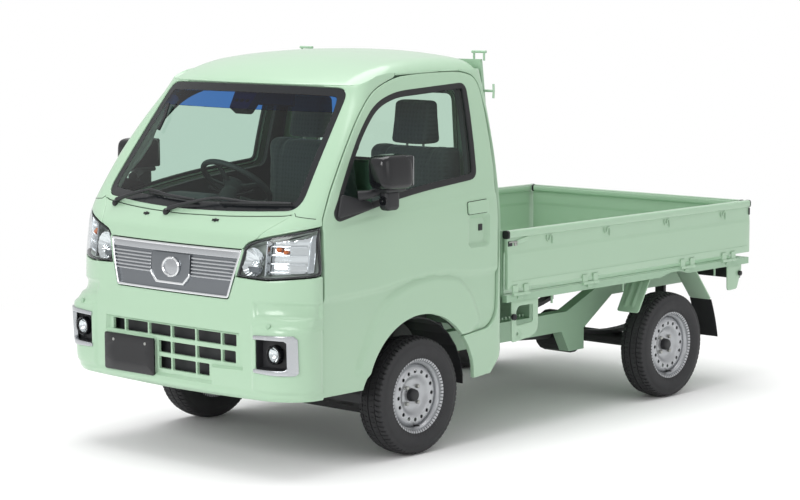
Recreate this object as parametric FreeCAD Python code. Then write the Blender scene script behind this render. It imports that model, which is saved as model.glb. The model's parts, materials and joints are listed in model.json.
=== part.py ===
import FreeCAD
import Part
import math
import os

# Small open-bed truck with a cab over the front axle.
# Millimetres. X points to the vehicle's left, Y to its rear, Z up.
# The origin is on the ground, under the middle of the truck.

# Overall sizes
LENGTH = 3395.0
WIDTH = 1475.0
ROOF_HEIGHT = 1776.0
FRONT_OVERHANG = 830.0
REAR_OVERHANG = 665.0
CAB_LENGTH = 1390.0
WHEELBASE = LENGTH - FRONT_OVERHANG - REAR_OVERHANG
FRONT_TRACK = WIDTH - 170.0
REAR_TRACK = WIDTH - 175.0

HALF_LENGTH = LENGTH / 2
HALF_WIDTH = WIDTH / 2
NOSE_Y = -HALF_LENGTH
CAB_REAR_Y = NOSE_Y + CAB_LENGTH
FRONT_AXLE_Y = NOSE_Y + FRONT_OVERHANG
REAR_AXLE_Y = FRONT_AXLE_Y + WHEELBASE
DRIVE_LENGTH = REAR_AXLE_Y - CAB_REAR_Y

# Working clearances
SEAT_GAP = 0.3
MOVE_GAP = 6.0
CUT_OVERRUN = 40.0
QUARTER_TURN = 90.0
SHALLOW_TURN = math.radians(24.0)
FLATNESS = 0.001

# Tyres and pressed steel wheels
TYRE_RADIUS = 264.0
TYRE_WIDTH = 145.0
TREAD_WIDTH = 108.0
SHOULDER_DROP = 15.0
SHOULDER_WIDTH = 132.0
BELLY_RADIUS = 205.0
BEAD_RADIUS = 160.0
BEAD_WIDTH = 112.0
RIM_FLANGE_RADIUS = 166.5
RIM_FLANGE_WIDTH = 118.0
RIM_WALL = 4.0
RIM_CAVITY_RADIUS = 142.0
WHEEL_SIDES = 28
DISC_BACK = 10.0
DISC_THICKNESS = 6.0
HUB_BORE_RADIUS = 30.0
HUB_FACE_RADIUS = 62.0
DISH_RADIUS = 90.0
CREST_RADIUS = 126.0
CREST_OFFSET = 38.0
CREST_OUTER_OFFSET = 30.0
VENT_COUNT = 16
VENT_RADIUS = 9.0
VENT_RING_RADIUS = 108.0
VENT_SIDES = 6

# Cab shell: each row is one level of the outer skin. The shares are of the
# roof height, the cab length and half the width: height, set-back of the
# middle, half-width and set-back of the front edge, half-width and set-back
# of the side. Below the cowl a height share is of LOWER_REFERENCE, so that
# the lower body keeps its shape when the roof height changes.
LOWER_REFERENCE = 1776.0
CAB_LEVEL_SHARES = (
    (0.4786, 0.0090, 0.563, 0.0220, 1.000, 0.1200),
    (0.5800, 0.0200, 0.584, 0.0390, 1.000, 0.1400),
    (0.6216, 0.0770, 0.839, 0.1240, 0.991, 0.1560),
    (0.7320, 0.1790, 0.814, 0.2250, 0.950, 0.2400),
    (0.8330, 0.2740, 0.786, 0.3200, 0.897, 0.3400),
    (0.9212, 0.3570, 0.761, 0.4030, 0.838, 0.4500),
    (1.0100, 0.4100, 0.720, 0.4600, 0.770, 0.5000),
)
BUMPER_LEVEL_SHARES = (
    (0.1790, 0.0090, 0.760, 0.0240, 0.990, 0.1060),
    (0.2170, 0.0040, 0.840, 0.0170, 1.000, 0.1000),
    (0.3600, 0.0020, 0.870, 0.0170, 1.000, 0.0860),
    (0.4000, 0.0060, 0.600, 0.0160, 1.000, 0.1200),
    (0.4786, 0.0090, 0.563, 0.0220, 1.000, 0.1200),
)
CORNER_SAG_SHARE = 0.12
NOSE_STEPS = 6
CORNER_STEPS = 4
ROOF_STEPS = 4
DOOR_THICKNESS = 50.0
SKIN_THICKNESS = 20.0
FRONT_WALL = 30.0
ROOF_WALL = 26.0
BACK_WALL = 25.0
ROOF_SIDE_SHARES = ((0.357, 0.9212), (0.450, 0.9650), (0.560, 0.9890), (0.760, 1.0000), (1.000, 0.9910))
ROOF_CROSS_SHARES = ((0.860, 0.920), (0.810, 0.962), (0.700, 0.981))
ROOF_FRONT_SHARE = 0.9212
ROOF_SPLIT_SHARES = ((0.400, 0.9212), (0.490, 0.9510))
FRONT_PANEL_SHARE = 0.4786
COWL_SHARE = 0.6216
FACE_CUT_SHARE = 0.1
SCREEN_CUT_SHARE = 0.5

# Door outline as shares of the cab length and the roof height
DOOR_SHARES = (
    (0.1565, 0.1880),
    (0.1565, 0.6120),
    (0.2004, 0.6768),
    (0.2730, 0.7590),
    (0.3615, 0.8423),
    (0.4600, 0.9077),
    (0.5730, 0.9390),
    (0.9400, 0.9465),
    (0.9665, 0.9050),
    (0.9665, 0.2950),
    (0.7800, 0.2850),
    (0.7400, 0.1880),
)
DOOR_CORNER_RADIUS = 50.0
DOOR_INNER_STEP = 16.0
WINDOW_SHARES = (
    (0.2100, 0.6150),
    (0.2440, 0.6730),
    (0.3060, 0.7480),
    (0.3700, 0.8136),
    (0.4550, 0.8740),
    (0.5580, 0.9000),
    (0.8940, 0.9130),
    (0.8715, 0.6830),
    (0.5360, 0.6600),
)
WINDOW_CORNER_RADIUS = 30.0
GLASS_DEPTH = 14.0
GLASS_THICKNESS = 5.0
ARCH_RADIUS = 358.0
ARCH_RISE = 8.0
ARCH_SIDES = 28
HINGE_INSET = 8.0
HINGE_PIN_RADIUS = 6.0
HINGE_RUNNING = 0.5
HINGE_HEIGHT = 56.0
HINGE_REACH = 30.0
HINGE_THROAT = 12.0
HINGE_LEVELS = (480.0, 800.0)

# Windscreen outline as shares of half the width and the roof height
SCREEN_SHARES = ((0.830, 0.6330), (0.770, 0.9150))
SCREEN_CORNER_RADIUS = 60.0
REAR_WINDOW_SHARES = ((0.640, 0.6900), (0.600, 0.8900))
REAR_WINDOW_RADIUS = 50.0

# Grille, lamps and plate
GRILLE_SHARES = ((0.484, 0.4220), (0.572, 0.5420))
GRILLE_DEPTH = 24.0
GRILLE_EDGE_SHARE = 0.022
GRILLE_RADIUS = 14.0
SLAT_COUNT = 6
SLAT_SLOT = 8.0
SLAT_SHARES = (0.190, 0.490)
SLAT_RANGE_SHARES = (0.4560, 0.5180)
LAMP_DEPTH = 60.0
LAMP_SHARES = ((0.584, 0.5530), (0.538, 0.4786), (1.020, 0.4850), (1.020, 0.5960))
LAMP_REAR_SHARE = 0.1500
FOG_SHARES = ((0.716, 0.3440), (0.718, 0.2620), (0.945, 0.2620), (0.950, 0.3480))
FOG_DEPTH = 50.0
FOG_RADIUS = 12.0
PLATE_LENGTH = 330.0
PLATE_HEIGHT = 165.0
PLATE_THICKNESS = 5.0
PLATE_X = -266.0
PLATE_Z = 450.0
PLATE_BOLT_SPACING = 210.0
PLATE_BOLT_DROP = 29.5
PLATE_BOLT_RADIUS = 3.5
INTAKE_SHARES = ((0.545, 0.3400), (0.560, 0.2700), (0.340, 0.2500), (0.330, 0.2180), (0.100, 0.2150))
INTAKE_BAR = 7.0
INTAKE_BARS = 4

# Frame
RAIL_X = HALF_WIDTH - 362.5
RAIL_WIDTH = 60.0
RAIL_BOTTOM_Z = 357.0
RAIL_HEIGHT = 97.0
RAIL_REAR_RISE = 146.0
RAIL_FRONT_SETBACK = 100.0
RAIL_REAR_SETBACK = 40.0
RAIL_KICK_START = 460.0
RAIL_KICK_END = 90.0
HANGER_LENGTH = 120.0
HANGER_DROP = 105.0
HANGER_SETBACK = 380.0
CROSS_DEPTH = 60.0
CROSS_HEIGHT = 54.0
CROSS_FRONT_SHARES = (0.01, 0.17, 0.58)
CROSS_REAR_SHARES = (0.22, 0.96)
RAIL_TOP_Z = RAIL_BOTTOM_Z + RAIL_HEIGHT

# Cab floor and interior
FLOOR_THICKNESS = 15.0
FOOTWELL_SETBACK = 118.0
TOE_BOARD_HALF = HALF_WIDTH * 0.5017
TOE_BOARD_TOP = 1000.0
RISER_SETBACK = 500.0
DECK_Z = 690.0
FLOOR_SIDE_GAP = 8.0
LINER_GAP = 20.0
LINER_THICKNESS = 5.0
LINER_INNER_X = HALF_WIDTH - 297.5
LINER_POST = 30.0
DASH_BRACE = 90.0
DASH_WIDTH_SHARE = 0.86
DASH_SHARES = (
    (0.150, 0.600), (0.150, 0.450), (0.270, 0.440), (0.374, 0.500), (0.385, 0.595), (0.230, 0.618),
)
SEAT_X = HALF_WIDTH * 0.4542
SEAT_WIDTH = HALF_WIDTH * 0.6508
CUSHION_SHARES = ((0.480, 0.000), (0.480, 0.055), (0.500, 0.078), (0.790, 0.062), (0.820, 0.000))
BACKREST_SHARES = (
    (0.826, 0.000), (0.806, 0.070), (0.835, 0.380), (0.870, 0.486), (0.925, 0.486), (0.965, 0.220),
    (0.965, 0.000),
)
HEADREST_SHARE = 0.62
HEADREST_Z_SHARE = 0.775
STEER_HUB_X = -SEAT_X
STEER_HUB_Y = NOSE_Y + 732.5
STEER_HUB_Z = 1155.0
STEER_RADIUS = 185.0
STEER_GRIP_RADIUS = 14.0
STEER_BOSS_RADIUS = 62.0
STEER_BOSS_DEPTH = 40.0
STEER_SPOKE_WIDTH = 34.0
STEER_SPOKE_DEPTH = 14.0
STEER_TILT = 52.0
STEER_SIDES = 24
GRIP_SIDES = 6
COLUMN_RADIUS = 42.0
COLUMN_LENGTH = 330.0

# Load bed
BED_GAP = 24.0
BED_FLOOR_Z = 655.0
BED_PLATE = 14.0
DECK_STEP = 3.0
GATE_TOP_Z = 949.0
GATE_BOTTOM_Z = 678.0
GATE_RAIL_HEIGHT = 37.0
GATE_RAIL_WIDTH = 36.0
GATE_PANEL_INSET = 8.0
GATE_PANEL_THICKNESS = 18.0
GATE_STEP_Z = 845.0
GATE_STEP = 12.0
GATE_FOOT = 16.0
GATE_PIN_OFFSET = 4.0
GATE_PIN_RADIUS = 6.0
GATE_PIN_Z = 652.0
GATE_END_GAP = 6.0
BARREL_SIDES = 8
KNUCKLE_LENGTH = 40.0
KNUCKLE_GAP = 0.6
HINGE_SHARES = (0.045, 0.310, 0.715, 0.900)
TAIL_HINGE_SHARES = (-0.78, 0.0, 0.78)
SILL_HEIGHT = 36.0
SILL_WIDTH = 26.0
SILL_INSET = 6.0
REAR_ARCH_RADIUS = 372.0
BEARER_SHARES = (0.10, 0.30, 0.56, 0.80, 0.985)
BEARER_DEPTH = 50.0
HEADBOARD_THICKNESS = 20.0
HOOK_SHARES = (0.155, 0.380, 0.625, 0.870)
HOOK_SIZE = (24.0, 7.0, 14.0)
GUARD_POST = 46.0
GUARD_DEPTH = 16.0
GUARD_TOP_Z = ROOF_HEIGHT - 48.0
GUARD_BASE_SHARE = 0.93
GUARD_TOP_SHARE = 0.77
GUARD_BAR = 38.0
GUARD_HOOK_HEIGHT = 34.0
GUARD_HOOK_RADIUS = 6.0
GUARD_LEG_RADIUS = 5.0
GUARD_HOOK_SPAN = 60.0
GUARD_HOOK_SHARE = 0.753
BRACKET_X = HALF_WIDTH - 25.5
BRACKET_THICKNESS = 4.0
BRACKET_SHARES = ((0.028, 0.0), (0.126, 0.0), (0.126, -0.150), (0.105, -0.176), (0.028, -0.196))
BRACKET_HOLE_SHARES = ((0.045, -0.028), (0.107, -0.028), (0.107, -0.112), (0.045, -0.112))
BED_HEIGHT_REFERENCE = 1000.0
PLATE_WIDTH = 135.0
FRONT_PLATE_TOP = 190.0
FRONT_PLATE_BOTTOM = 288.0
REAR_PLATE_TOP = 200.0
REAR_PLATE_BOTTOM = 336.0
PLATE_DROP = 160.0
FLAP_LENGTH = 200.0
FLAP_LEAN = 62.0
FLAP_THICKNESS = 5.0
CORNER_PLATE_LENGTH = 130.0
CORNER_PLATE_DROP = 130.0
CORNER_PLATE_FOOT = 40.0
TAIL_LAMP_LENGTH = 260.0
TAIL_LAMP_HEIGHT = 80.0
TAIL_LAMP_DEPTH = 45.0
TAIL_LAMP_X = HALF_WIDTH - 177.5

# Running gear
BAR_SIDES = 16
KINGPIN_X = FRONT_TRACK / 2 - 77.5
STRUT_X = FRONT_TRACK / 2 - 122.5
STRUT_RADIUS = 25.0
KNUCKLE_TOP = 86.0
KNUCKLE_DEPTH = 40.0
KNUCKLE_INNER = FRONT_TRACK / 2 - 147.5
KNUCKLE_OUTER = FRONT_TRACK / 2 - 54.5
DRUM_RADIUS = 112.0
DRUM_INNER = FRONT_TRACK / 2 - 49.5
DRUM_THICKNESS = 40.0
ARM_THICKNESS = 26.0
ARM_TIP = 18.0
ARM_TIP_HALF = 12.0
KINGPIN_RADIUS = 9.0
ARM_DEPTH = 60.0
AXLE_TUBE_RADIUS = 35.0
DIFF_RADIUS = 105.0
DIFF_LENGTH = 170.0
SPRING_WIDTH = 55.0
SPRING_THICKNESS = 20.0
SPRING_REACH = 380.0
SPRING_RISE = 60.0
SPRING_STEPS = 8
ENGINE_SIZE = (420.0, 480.0, 330.0)
ENGINE_Y = NOSE_Y + 997.5
ENGINE_Z = 480.0
GEARBOX_SIZE = (220.0, 320.0, 220.0)
SHAFT_RADIUS = 30.0
SHAFT_SETBACK = 0.6
SILENCER_RADIUS = 75.0
SILENCER_LENGTH = RAIL_X - 75.0
SILENCER_Y = CAB_REAR_Y + DRIVE_LENGTH * 0.416
SILENCER_Z = 270.0
PIPE_RADIUS = 20.0
TAIL_PIPE_LENGTH = DRIVE_LENGTH * 0.3134
STRAP_WIDTH = 20.0
TANK_SIZE = (220.0, DRIVE_LENGTH * 0.388, 210.0)
TANK_Y = CAB_REAR_Y + DRIVE_LENGTH * 0.4235
TANK_Z = 470.0

# Mirrors and wipers
MIRROR_X = HALF_WIDTH + 74.5
MIRROR_Y = NOSE_Y + 548.5
MIRROR_RISE = 133.4
MIRROR_SIZE = (116.0, 66.0, 160.0)
MIRROR_LOBE = (70.0, 56.0, 60.0)
MIRROR_RADIUS = 24.0
MIRROR_ARM = 26.0
MIRROR_BASE_SHARES = ((0.205, 0.6250), (0.235, 0.6700), (0.400, 0.6400), (0.330, 0.6150))
MIRROR_BASE_DEPTH = 14.0
MIRROR_ARM_SHARE = 0.6400
WIPER_PIVOT_SHARES = ((-0.664, 0.6180), (-0.129, 0.6125))
WIPER_ELBOW_SHARES = ((-0.366, 0.6520), (0.221, 0.6460))
WIPER_BLADE_SHARES = (((-0.366, 0.6475), (0.068, 0.6400)), ((0.271, 0.6385), (0.780, 0.6470)))
WIPER_WIDTH = 14.0
WIPER_STANDOFF = 16.0
WIPER_STEM_RADIUS = 11.0
WIPER_JOINT_SHARE = 0.30


def vec(x, y, z):
    return FreeCAD.Vector(x, y, z)


def box(x0, x1, y0, y1, z0, z1):
    return Part.makeBox(x1 - x0, y1 - y0, z1 - z0, vec(x0, y0, z0))


def centred_box(centre, size):
    x, y, z = centre
    lx, ly, lz = size
    return box(x - lx / 2, x + lx / 2, y - ly / 2, y + ly / 2, z - lz / 2, z + lz / 2)


def cylinder_y(x, y0, y1, z, radius):
    return Part.makeCylinder(radius, y1 - y0, vec(x, y0, z), vec(0, 1, 0))


def cylinder_z(x, y, z0, z1, radius):
    return Part.makeCylinder(radius, z1 - z0, vec(x, y, z0))


def rod(start, run, radius, sides):
    # Round bar laid out with flat sides, to keep its facets few
    axis = vec(run.x, run.y, run.z)
    axis.normalize()
    steep = abs(axis.z) > abs(axis.x) + abs(axis.y)
    first = axis.cross(vec(1, 0, 0) if steep else vec(0, 0, 1))
    first.normalize()
    second = axis.cross(first)
    reach = radius / math.cos(math.pi / sides)
    corners = []
    for index in range(sides):
        angle = math.pi * (2 * index + 1) / sides
        corners.append(start + first * (reach * math.cos(angle)) + second * (reach * math.sin(angle)))
    return plate(polygon(corners), run)


def rod_x(x0, x1, y, z, radius, sides):
    return rod(vec(x0, y, z), vec(x1 - x0, 0, 0), radius, sides)


def rod_y(x, y0, y1, z, radius, sides):
    return rod(vec(x, y0, z), vec(0, y1 - y0, 0), radius, sides)


def rod_z(x, y, z0, z1, radius, sides):
    return rod(vec(x, y, z0), vec(0, 0, z1 - z0), radius, sides)


def mirrored(shape):
    return shape.mirror(vec(0, 0, 0), vec(1, 0, 0))


def corner_points(before, corner, after, radius):
    # Start, middle and end of the arc that rounds one corner of an outline
    back = (before - corner)
    ahead = (after - corner)
    back_length = back.Length
    ahead_length = ahead.Length
    back.normalize()
    ahead.normalize()
    half_turn = back.getAngle(ahead) / 2
    reach = min(radius / math.tan(half_turn), back_length / 2, ahead_length / 2)
    arc_radius = reach * math.tan(half_turn)
    inward = back + ahead
    inward.normalize()
    centre = corner + inward * (arc_radius / math.sin(half_turn))
    return corner + back * reach, centre - inward * arc_radius, corner + ahead * reach


def outline(points, radius):
    # Closed wire through the points, with each corner rounded that turns enough to show
    count = len(points)
    edges = []
    corners = []
    for index in range(count):
        before = points[index - 1]
        corner = points[index]
        after = points[(index + 1) % count]
        if (corner - before).getAngle(after - corner) < SHALLOW_TURN:
            corners.append((corner, corner, corner))
        else:
            corners.append(corner_points(before, corner, after, radius))
    for index in range(count):
        start, middle, end = corners[index]
        following = corners[(index + 1) % count][0]
        if (end - start).Length > FLATNESS:
            edges.append(Part.Arc(start, middle, end).toShape())
        if (following - end).Length > SEAT_GAP:
            edges.append(Part.makeLine(end, following))
        else:
            corners[(index + 1) % count] = (end,) + corners[(index + 1) % count][1:]
    return Part.Wire(edges)


def flat_arc(start, middle, end, steps):
    # Points along an arc, for a side made of flat steps
    return Part.Arc(start, middle, end).toShape().discretize(steps + 1)


def polygon(points):
    return Part.makePolygon(list(points) + [points[0]])


def plate(wire, direction):
    return Part.Face(wire).extrude(direction)


def prism_x(points, x0, x1, radius=0):
    corners = [vec(x0, y, z) for y, z in points]
    wire = outline(corners, radius) if radius else polygon(corners)
    return plate(wire, vec(x1 - x0, 0, 0))


def prism_y(points, y0, y1, radius=0):
    corners = [vec(x, y0, z) for x, z in points]
    wire = outline(corners, radius) if radius else polygon(corners)
    return plate(wire, vec(0, y1 - y0, 0))


def prism_z(points, z0, z1):
    corners = [vec(x, y, z0) for x, y in points]
    return plate(polygon(corners), vec(0, 0, z1 - z0))


def cab_y(share):
    return NOSE_Y + share * CAB_LENGTH


def cab_z(share):
    cowl = COWL_SHARE * LOWER_REFERENCE
    if share <= COWL_SHARE:
        return share * LOWER_REFERENCE
    return cowl + (share - COWL_SHARE) / (1 - COWL_SHARE) * (ROOF_HEIGHT - cowl)


def side_points(shares):
    return [(cab_y(along), cab_z(up)) for along, up in shares]


def front_points(shares):
    return [(across * HALF_WIDTH, cab_z(up)) for across, up in shares]


def symmetric(points):
    # A half outline, given from its bottom up, closed by its mirror image
    return list(points) + [(-x, z) for x, z in reversed(points)]


def grown(points, step):
    # Moves each side of a closed outline out by the step
    corners = [vec(across, up, 0) for across, up in points]
    following = corners[1:] + corners[:1]
    turn = sum(first.cross(second).z for first, second in zip(corners, following))
    way = step if turn > 0 else -step
    normals = []
    for first, second in zip(corners, following):
        run = second - first
        run.normalize()
        normals.append(vec(run.y, -run.x, 0))
    moved = []
    for corner, before, after in zip(corners, normals[-1:] + normals[:-1], normals):
        place = corner + (before + after) * (way / (1 + before.dot(after)))
        moved.append((place.x, place.y))
    return moved


def cab_section(row, side, front, rear):
    # Corners of the cab's outline at one level, drawn in by the given walls
    up, middle, edge_half, edge_back, side_half, side_back = row
    z = cab_z(up)
    edge_x = edge_half * HALF_WIDTH - side / 2
    edge_y = cab_y(edge_back) + front
    side_x = side_half * HALF_WIDTH - side
    side_y = cab_y(side_back) + front
    rear_y = CAB_REAR_Y - rear
    chord = vec(side_x - edge_x, side_y - edge_y, 0)
    out = vec(chord.y, -chord.x, 0)
    bulge_x = (edge_x + side_x) / 2 + out.x * CORNER_SAG_SHARE
    bulge_y = (edge_y + side_y) / 2 + out.y * CORNER_SAG_SHARE
    nose = vec(0, cab_y(middle) + front, z)
    left_edge = vec(edge_x, edge_y, z)
    right_edge = vec(-edge_x, edge_y, z)
    bulge = vec(bulge_x, bulge_y, z)
    left_side = vec(side_x, side_y, z)
    nose_run = flat_arc(right_edge, nose, left_edge, NOSE_STEPS)
    left_run = flat_arc(left_edge, bulge, left_side, CORNER_STEPS)
    right_run = [vec(-point.x, point.y, z) for point in reversed(left_run)]
    rear_run = [vec(side_x, rear_y, z), vec(-side_x, rear_y, z)]
    return nose_run + left_run[1:] + rear_run + right_run[:-1]


def flat_patch(corners):
    # One flat face over four corners, or two flat halves where they are twisted
    first, second, third, fourth = corners
    normal = (second - first).cross(third - first)
    normal.normalize()
    if abs(normal.dot(fourth - first)) < FLATNESS:
        return [Part.Face(polygon(corners))]
    if (third - first).Length < (fourth - second).Length:
        halves = ((first, second, third), (first, third, fourth))
    else:
        halves = ((second, third, fourth), (second, fourth, first))
    return [Part.Face(polygon(half)) for half in halves]


def solid_of(faces):
    solid = Part.makeSolid(Part.makeShell(faces))
    if solid.Volume < 0:
        solid.reverse()
    return solid


def level_stack(rows, side, front, rear):
    # Flat-sided loft through the sections at all levels
    sections = [cab_section(row, side, front, rear) for row in rows]
    faces = [Part.Face(polygon(sections[0])), Part.Face(polygon(sections[-1]))]
    for low, high in zip(sections, sections[1:]):
        for index in range(len(low)):
            faces += flat_patch((low[index - 1], low[index], high[index], high[index - 1]))
    return solid_of(faces)


def roof_cap(top):
    # Everything below the roof's long profile and its cross profile
    front_z = cab_z(ROOF_FRONT_SHARE) - top
    points = [vec(0, cab_y(along), cab_z(up) - top) for along, up in ROOF_SIDE_SHARES]
    ahead = NOSE_Y - CUT_OVERRUN
    behind = CAB_REAR_Y + CUT_OVERRUN
    last_z = points[-1].z
    profile = [vec(0, ahead, -CUT_OVERRUN), vec(0, ahead, front_z)]
    profile += flat_arc(points[0], points[1], points[2], ROOF_STEPS)
    profile += flat_arc(points[2], points[3], points[4], ROOF_STEPS)[1:]
    profile += [vec(0, behind, last_z), vec(0, behind, -CUT_OVERRUN)]
    long_cap = plate(polygon(profile), vec(WIDTH, 0, 0))
    long_cap.translate(vec(-HALF_WIDTH, 0, 0))
    side, bend, crown = [vec(x - top / 2, ahead, z - top) for x, z in front_points(ROOF_CROSS_SHARES)]
    wide = HALF_WIDTH + CUT_OVERRUN
    top_middle = vec(0, ahead, ROOF_HEIGHT - top)
    left = [vec(wide, ahead, -CUT_OVERRUN), vec(wide, ahead, side.z)]
    left += flat_arc(side, bend, crown, ROOF_STEPS)
    right = [vec(-point.x, point.y, point.z) for point in reversed(left)]
    crest = flat_arc(crown, top_middle, right[0], ROOF_STEPS)[1:-1]
    cross_cap = plate(polygon(left + crest + right), vec(0, CAB_LENGTH + CUT_OVERRUN * 2, 0))
    return long_cap.common(cross_cap)


def cab_volume(side, front, rear, top):
    return level_stack(CAB_LEVEL_SHARES, side, front, rear).common(roof_cap(top))


def lower_volume(side, front, rear):
    return level_stack(BUMPER_LEVEL_SHARES, side, front, rear)


def cab_slice(shape, low, high):
    # The part of a shape between two heights
    wide = HALF_WIDTH + CUT_OVERRUN
    return shape.common(box(-wide, wide, NOSE_Y - CUT_OVERRUN, CAB_REAR_Y + CUT_OVERRUN, low, high))


def arch_cut(radius, reach_x):
    return rod_x(-reach_x, reach_x, FRONT_AXLE_Y, TYRE_RADIUS + ARCH_RISE, radius, ARCH_SIDES)


def door_opening(step):
    wide = HALF_WIDTH + CUT_OVERRUN
    points = side_points(DOOR_SHARES)
    return prism_x(grown(points, step), -wide, wide, DOOR_CORNER_RADIUS + step)


class Cab:
    # The closed shapes that the cab's panels, doors and glass are cut from
    def __init__(self):
        self.outer = cab_volume(0, 0, 0, 0)
        self.inner = cab_volume(DOOR_THICKNESS, FRONT_WALL, BACK_WALL, ROOF_WALL)
        self.skin_inner = cab_volume(SKIN_THICKNESS, FRONT_WALL, BACK_WALL, ROOF_WALL)
        self.glass_outer = cab_volume(GLASS_DEPTH, GLASS_DEPTH, GLASS_DEPTH, ROOF_WALL)
        deep = GLASS_DEPTH + GLASS_THICKNESS
        self.glass_inner = cab_volume(deep, deep, deep, ROOF_WALL)
        self.low_outer = lower_volume(0, 0, 0)
        self.low_inner = lower_volume(DOOR_THICKNESS, FRONT_WALL, BACK_WALL)
        self.low_skin_inner = lower_volume(SKIN_THICKNESS, FRONT_WALL, BACK_WALL)
        self.shell = self.outer.cut(self.inner).fuse(self.low_outer.cut(self.low_inner)).removeSplitter()


def write(name, solids):
    shape = solids[0] if len(solids) == 1 else Part.makeCompound(solids)
    shape.exportStep(os.path.join("parts", name + ".step"))
    volume = sum(solid.Volume for solid in shape.Solids)
    print(name, len(shape.Solids), shape.isValid(), round(volume))


def screen_prism(step):
    corners = symmetric(front_points(SCREEN_SHARES))
    corners = grown(corners, step)
    return prism_y(corners, NOSE_Y - CUT_OVERRUN, cab_y(SCREEN_CUT_SHARE), SCREEN_CORNER_RADIUS)


def rear_window_prism(step):
    corners = grown(symmetric(front_points(REAR_WINDOW_SHARES)), step)
    return prism_y(corners, CAB_REAR_Y - CUT_OVERRUN, CAB_REAR_Y + CUT_OVERRUN, REAR_WINDOW_RADIUS)


def grille_prism(step):
    corners = grown(symmetric(front_points(GRILLE_SHARES)), step)
    return prism_y(corners, NOSE_Y - CUT_OVERRUN, cab_y(FACE_CUT_SHARE), GRILLE_RADIUS)


def lamp_prism(shares, radius, rear_share, step):
    corners = grown(front_points(shares), step)
    return prism_y(corners, NOSE_Y - CUT_OVERRUN, cab_y(rear_share), radius)


def lamp_cuts():
    left = [
        lamp_prism(LAMP_SHARES, 0, LAMP_REAR_SHARE, SEAT_GAP),
        lamp_prism(FOG_SHARES, FOG_RADIUS, FACE_CUT_SHARE, SEAT_GAP),
    ]
    return left + [mirrored(shape) for shape in left]


def roof_region():
    ahead = NOSE_Y - CUT_OVERRUN
    behind = CAB_REAR_Y + CUT_OVERRUN
    above = ROOF_HEIGHT + CUT_OVERRUN
    front, split = side_points(ROOF_SPLIT_SHARES)
    points = [(ahead, front[1]), front, split, (behind, split[1]), (behind, above), (ahead, above)]
    return prism_x(points, -WIDTH, WIDTH)


def half_space_y(y0, y1):
    return box(-WIDTH, WIDTH, y0, y1, -CUT_OVERRUN, ROOF_HEIGHT + CUT_OVERRUN)


def cab_panels(cab):
    # The fixed skin, split where the real panels meet
    body = cab.shell.cut(door_opening(MOVE_GAP)).cut(arch_cut(ARCH_RADIUS, WIDTH))
    roof = body.common(roof_region())
    body = body.cut(roof_region())
    middle_y = FRONT_AXLE_Y
    back = body.common(half_space_y(middle_y, CAB_REAR_Y + CUT_OVERRUN))
    front = body.cut(half_space_y(middle_y, CAB_REAR_Y + CUT_OVERRUN))
    back = back.cut(rear_window_prism(0))
    under = HALF_WIDTH - DOOR_THICKNESS
    back = back.cut(box(-under, under, middle_y, CAB_REAR_Y + CUT_OVERRUN, 0, DECK_Z - FLOOR_THICKNESS))
    frame = cab_slice(front, cab_z(COWL_SHARE), ROOF_HEIGHT).cut(screen_prism(0))
    panel = cab_slice(front, cab_z(FRONT_PANEL_SHARE), cab_z(COWL_SHARE))
    bumper = cab_slice(front, -CUT_OVERRUN, cab_z(FRONT_PANEL_SHARE))
    for shape in lamp_cuts() + [grille_prism(SEAT_GAP)]:
        panel = panel.cut(shape)
        bumper = bumper.cut(shape)
    bumper = bumper.cut(intake_cut())
    bumper = bumper.cut(plate_box(SEAT_GAP, PLATE_THICKNESS))
    for leaf in hinge_leaves():
        bumper = bumper.fuse(leaf).fuse(mirrored(leaf))
    write("roof", [roof])
    write("cab_back", back.Solids)
    write("screen_frame", frame.Solids)
    write("front_panel", panel.Solids)
    write("bumper", bumper.Solids)


def intake_cut():
    corners = symmetric(front_points(INTAKE_SHARES))
    cut = prism_y(corners, NOSE_Y - CUT_OVERRUN, cab_y(FACE_CUT_SHARE))
    low = cab_z(INTAKE_SHARES[-1][1])
    high = cab_z(INTAKE_SHARES[0][1])
    step = (high - low) / INTAKE_BARS
    reach = WIDTH
    for index in range(1, INTAKE_BARS):
        z = low + step * index
        bar_box = box(-reach, reach, NOSE_Y, cab_y(FACE_CUT_SHARE), z - INTAKE_BAR, z + INTAKE_BAR)
        cut = cut.cut(bar_box)
    return cut


def plate_box(step, depth):
    half = PLATE_LENGTH / 2 + step
    rise = PLATE_HEIGHT / 2 + step
    face = NOSE_Y + depth
    return box(PLATE_X - half, PLATE_X + half, NOSE_Y, face, PLATE_Z - rise, PLATE_Z + rise)


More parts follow.
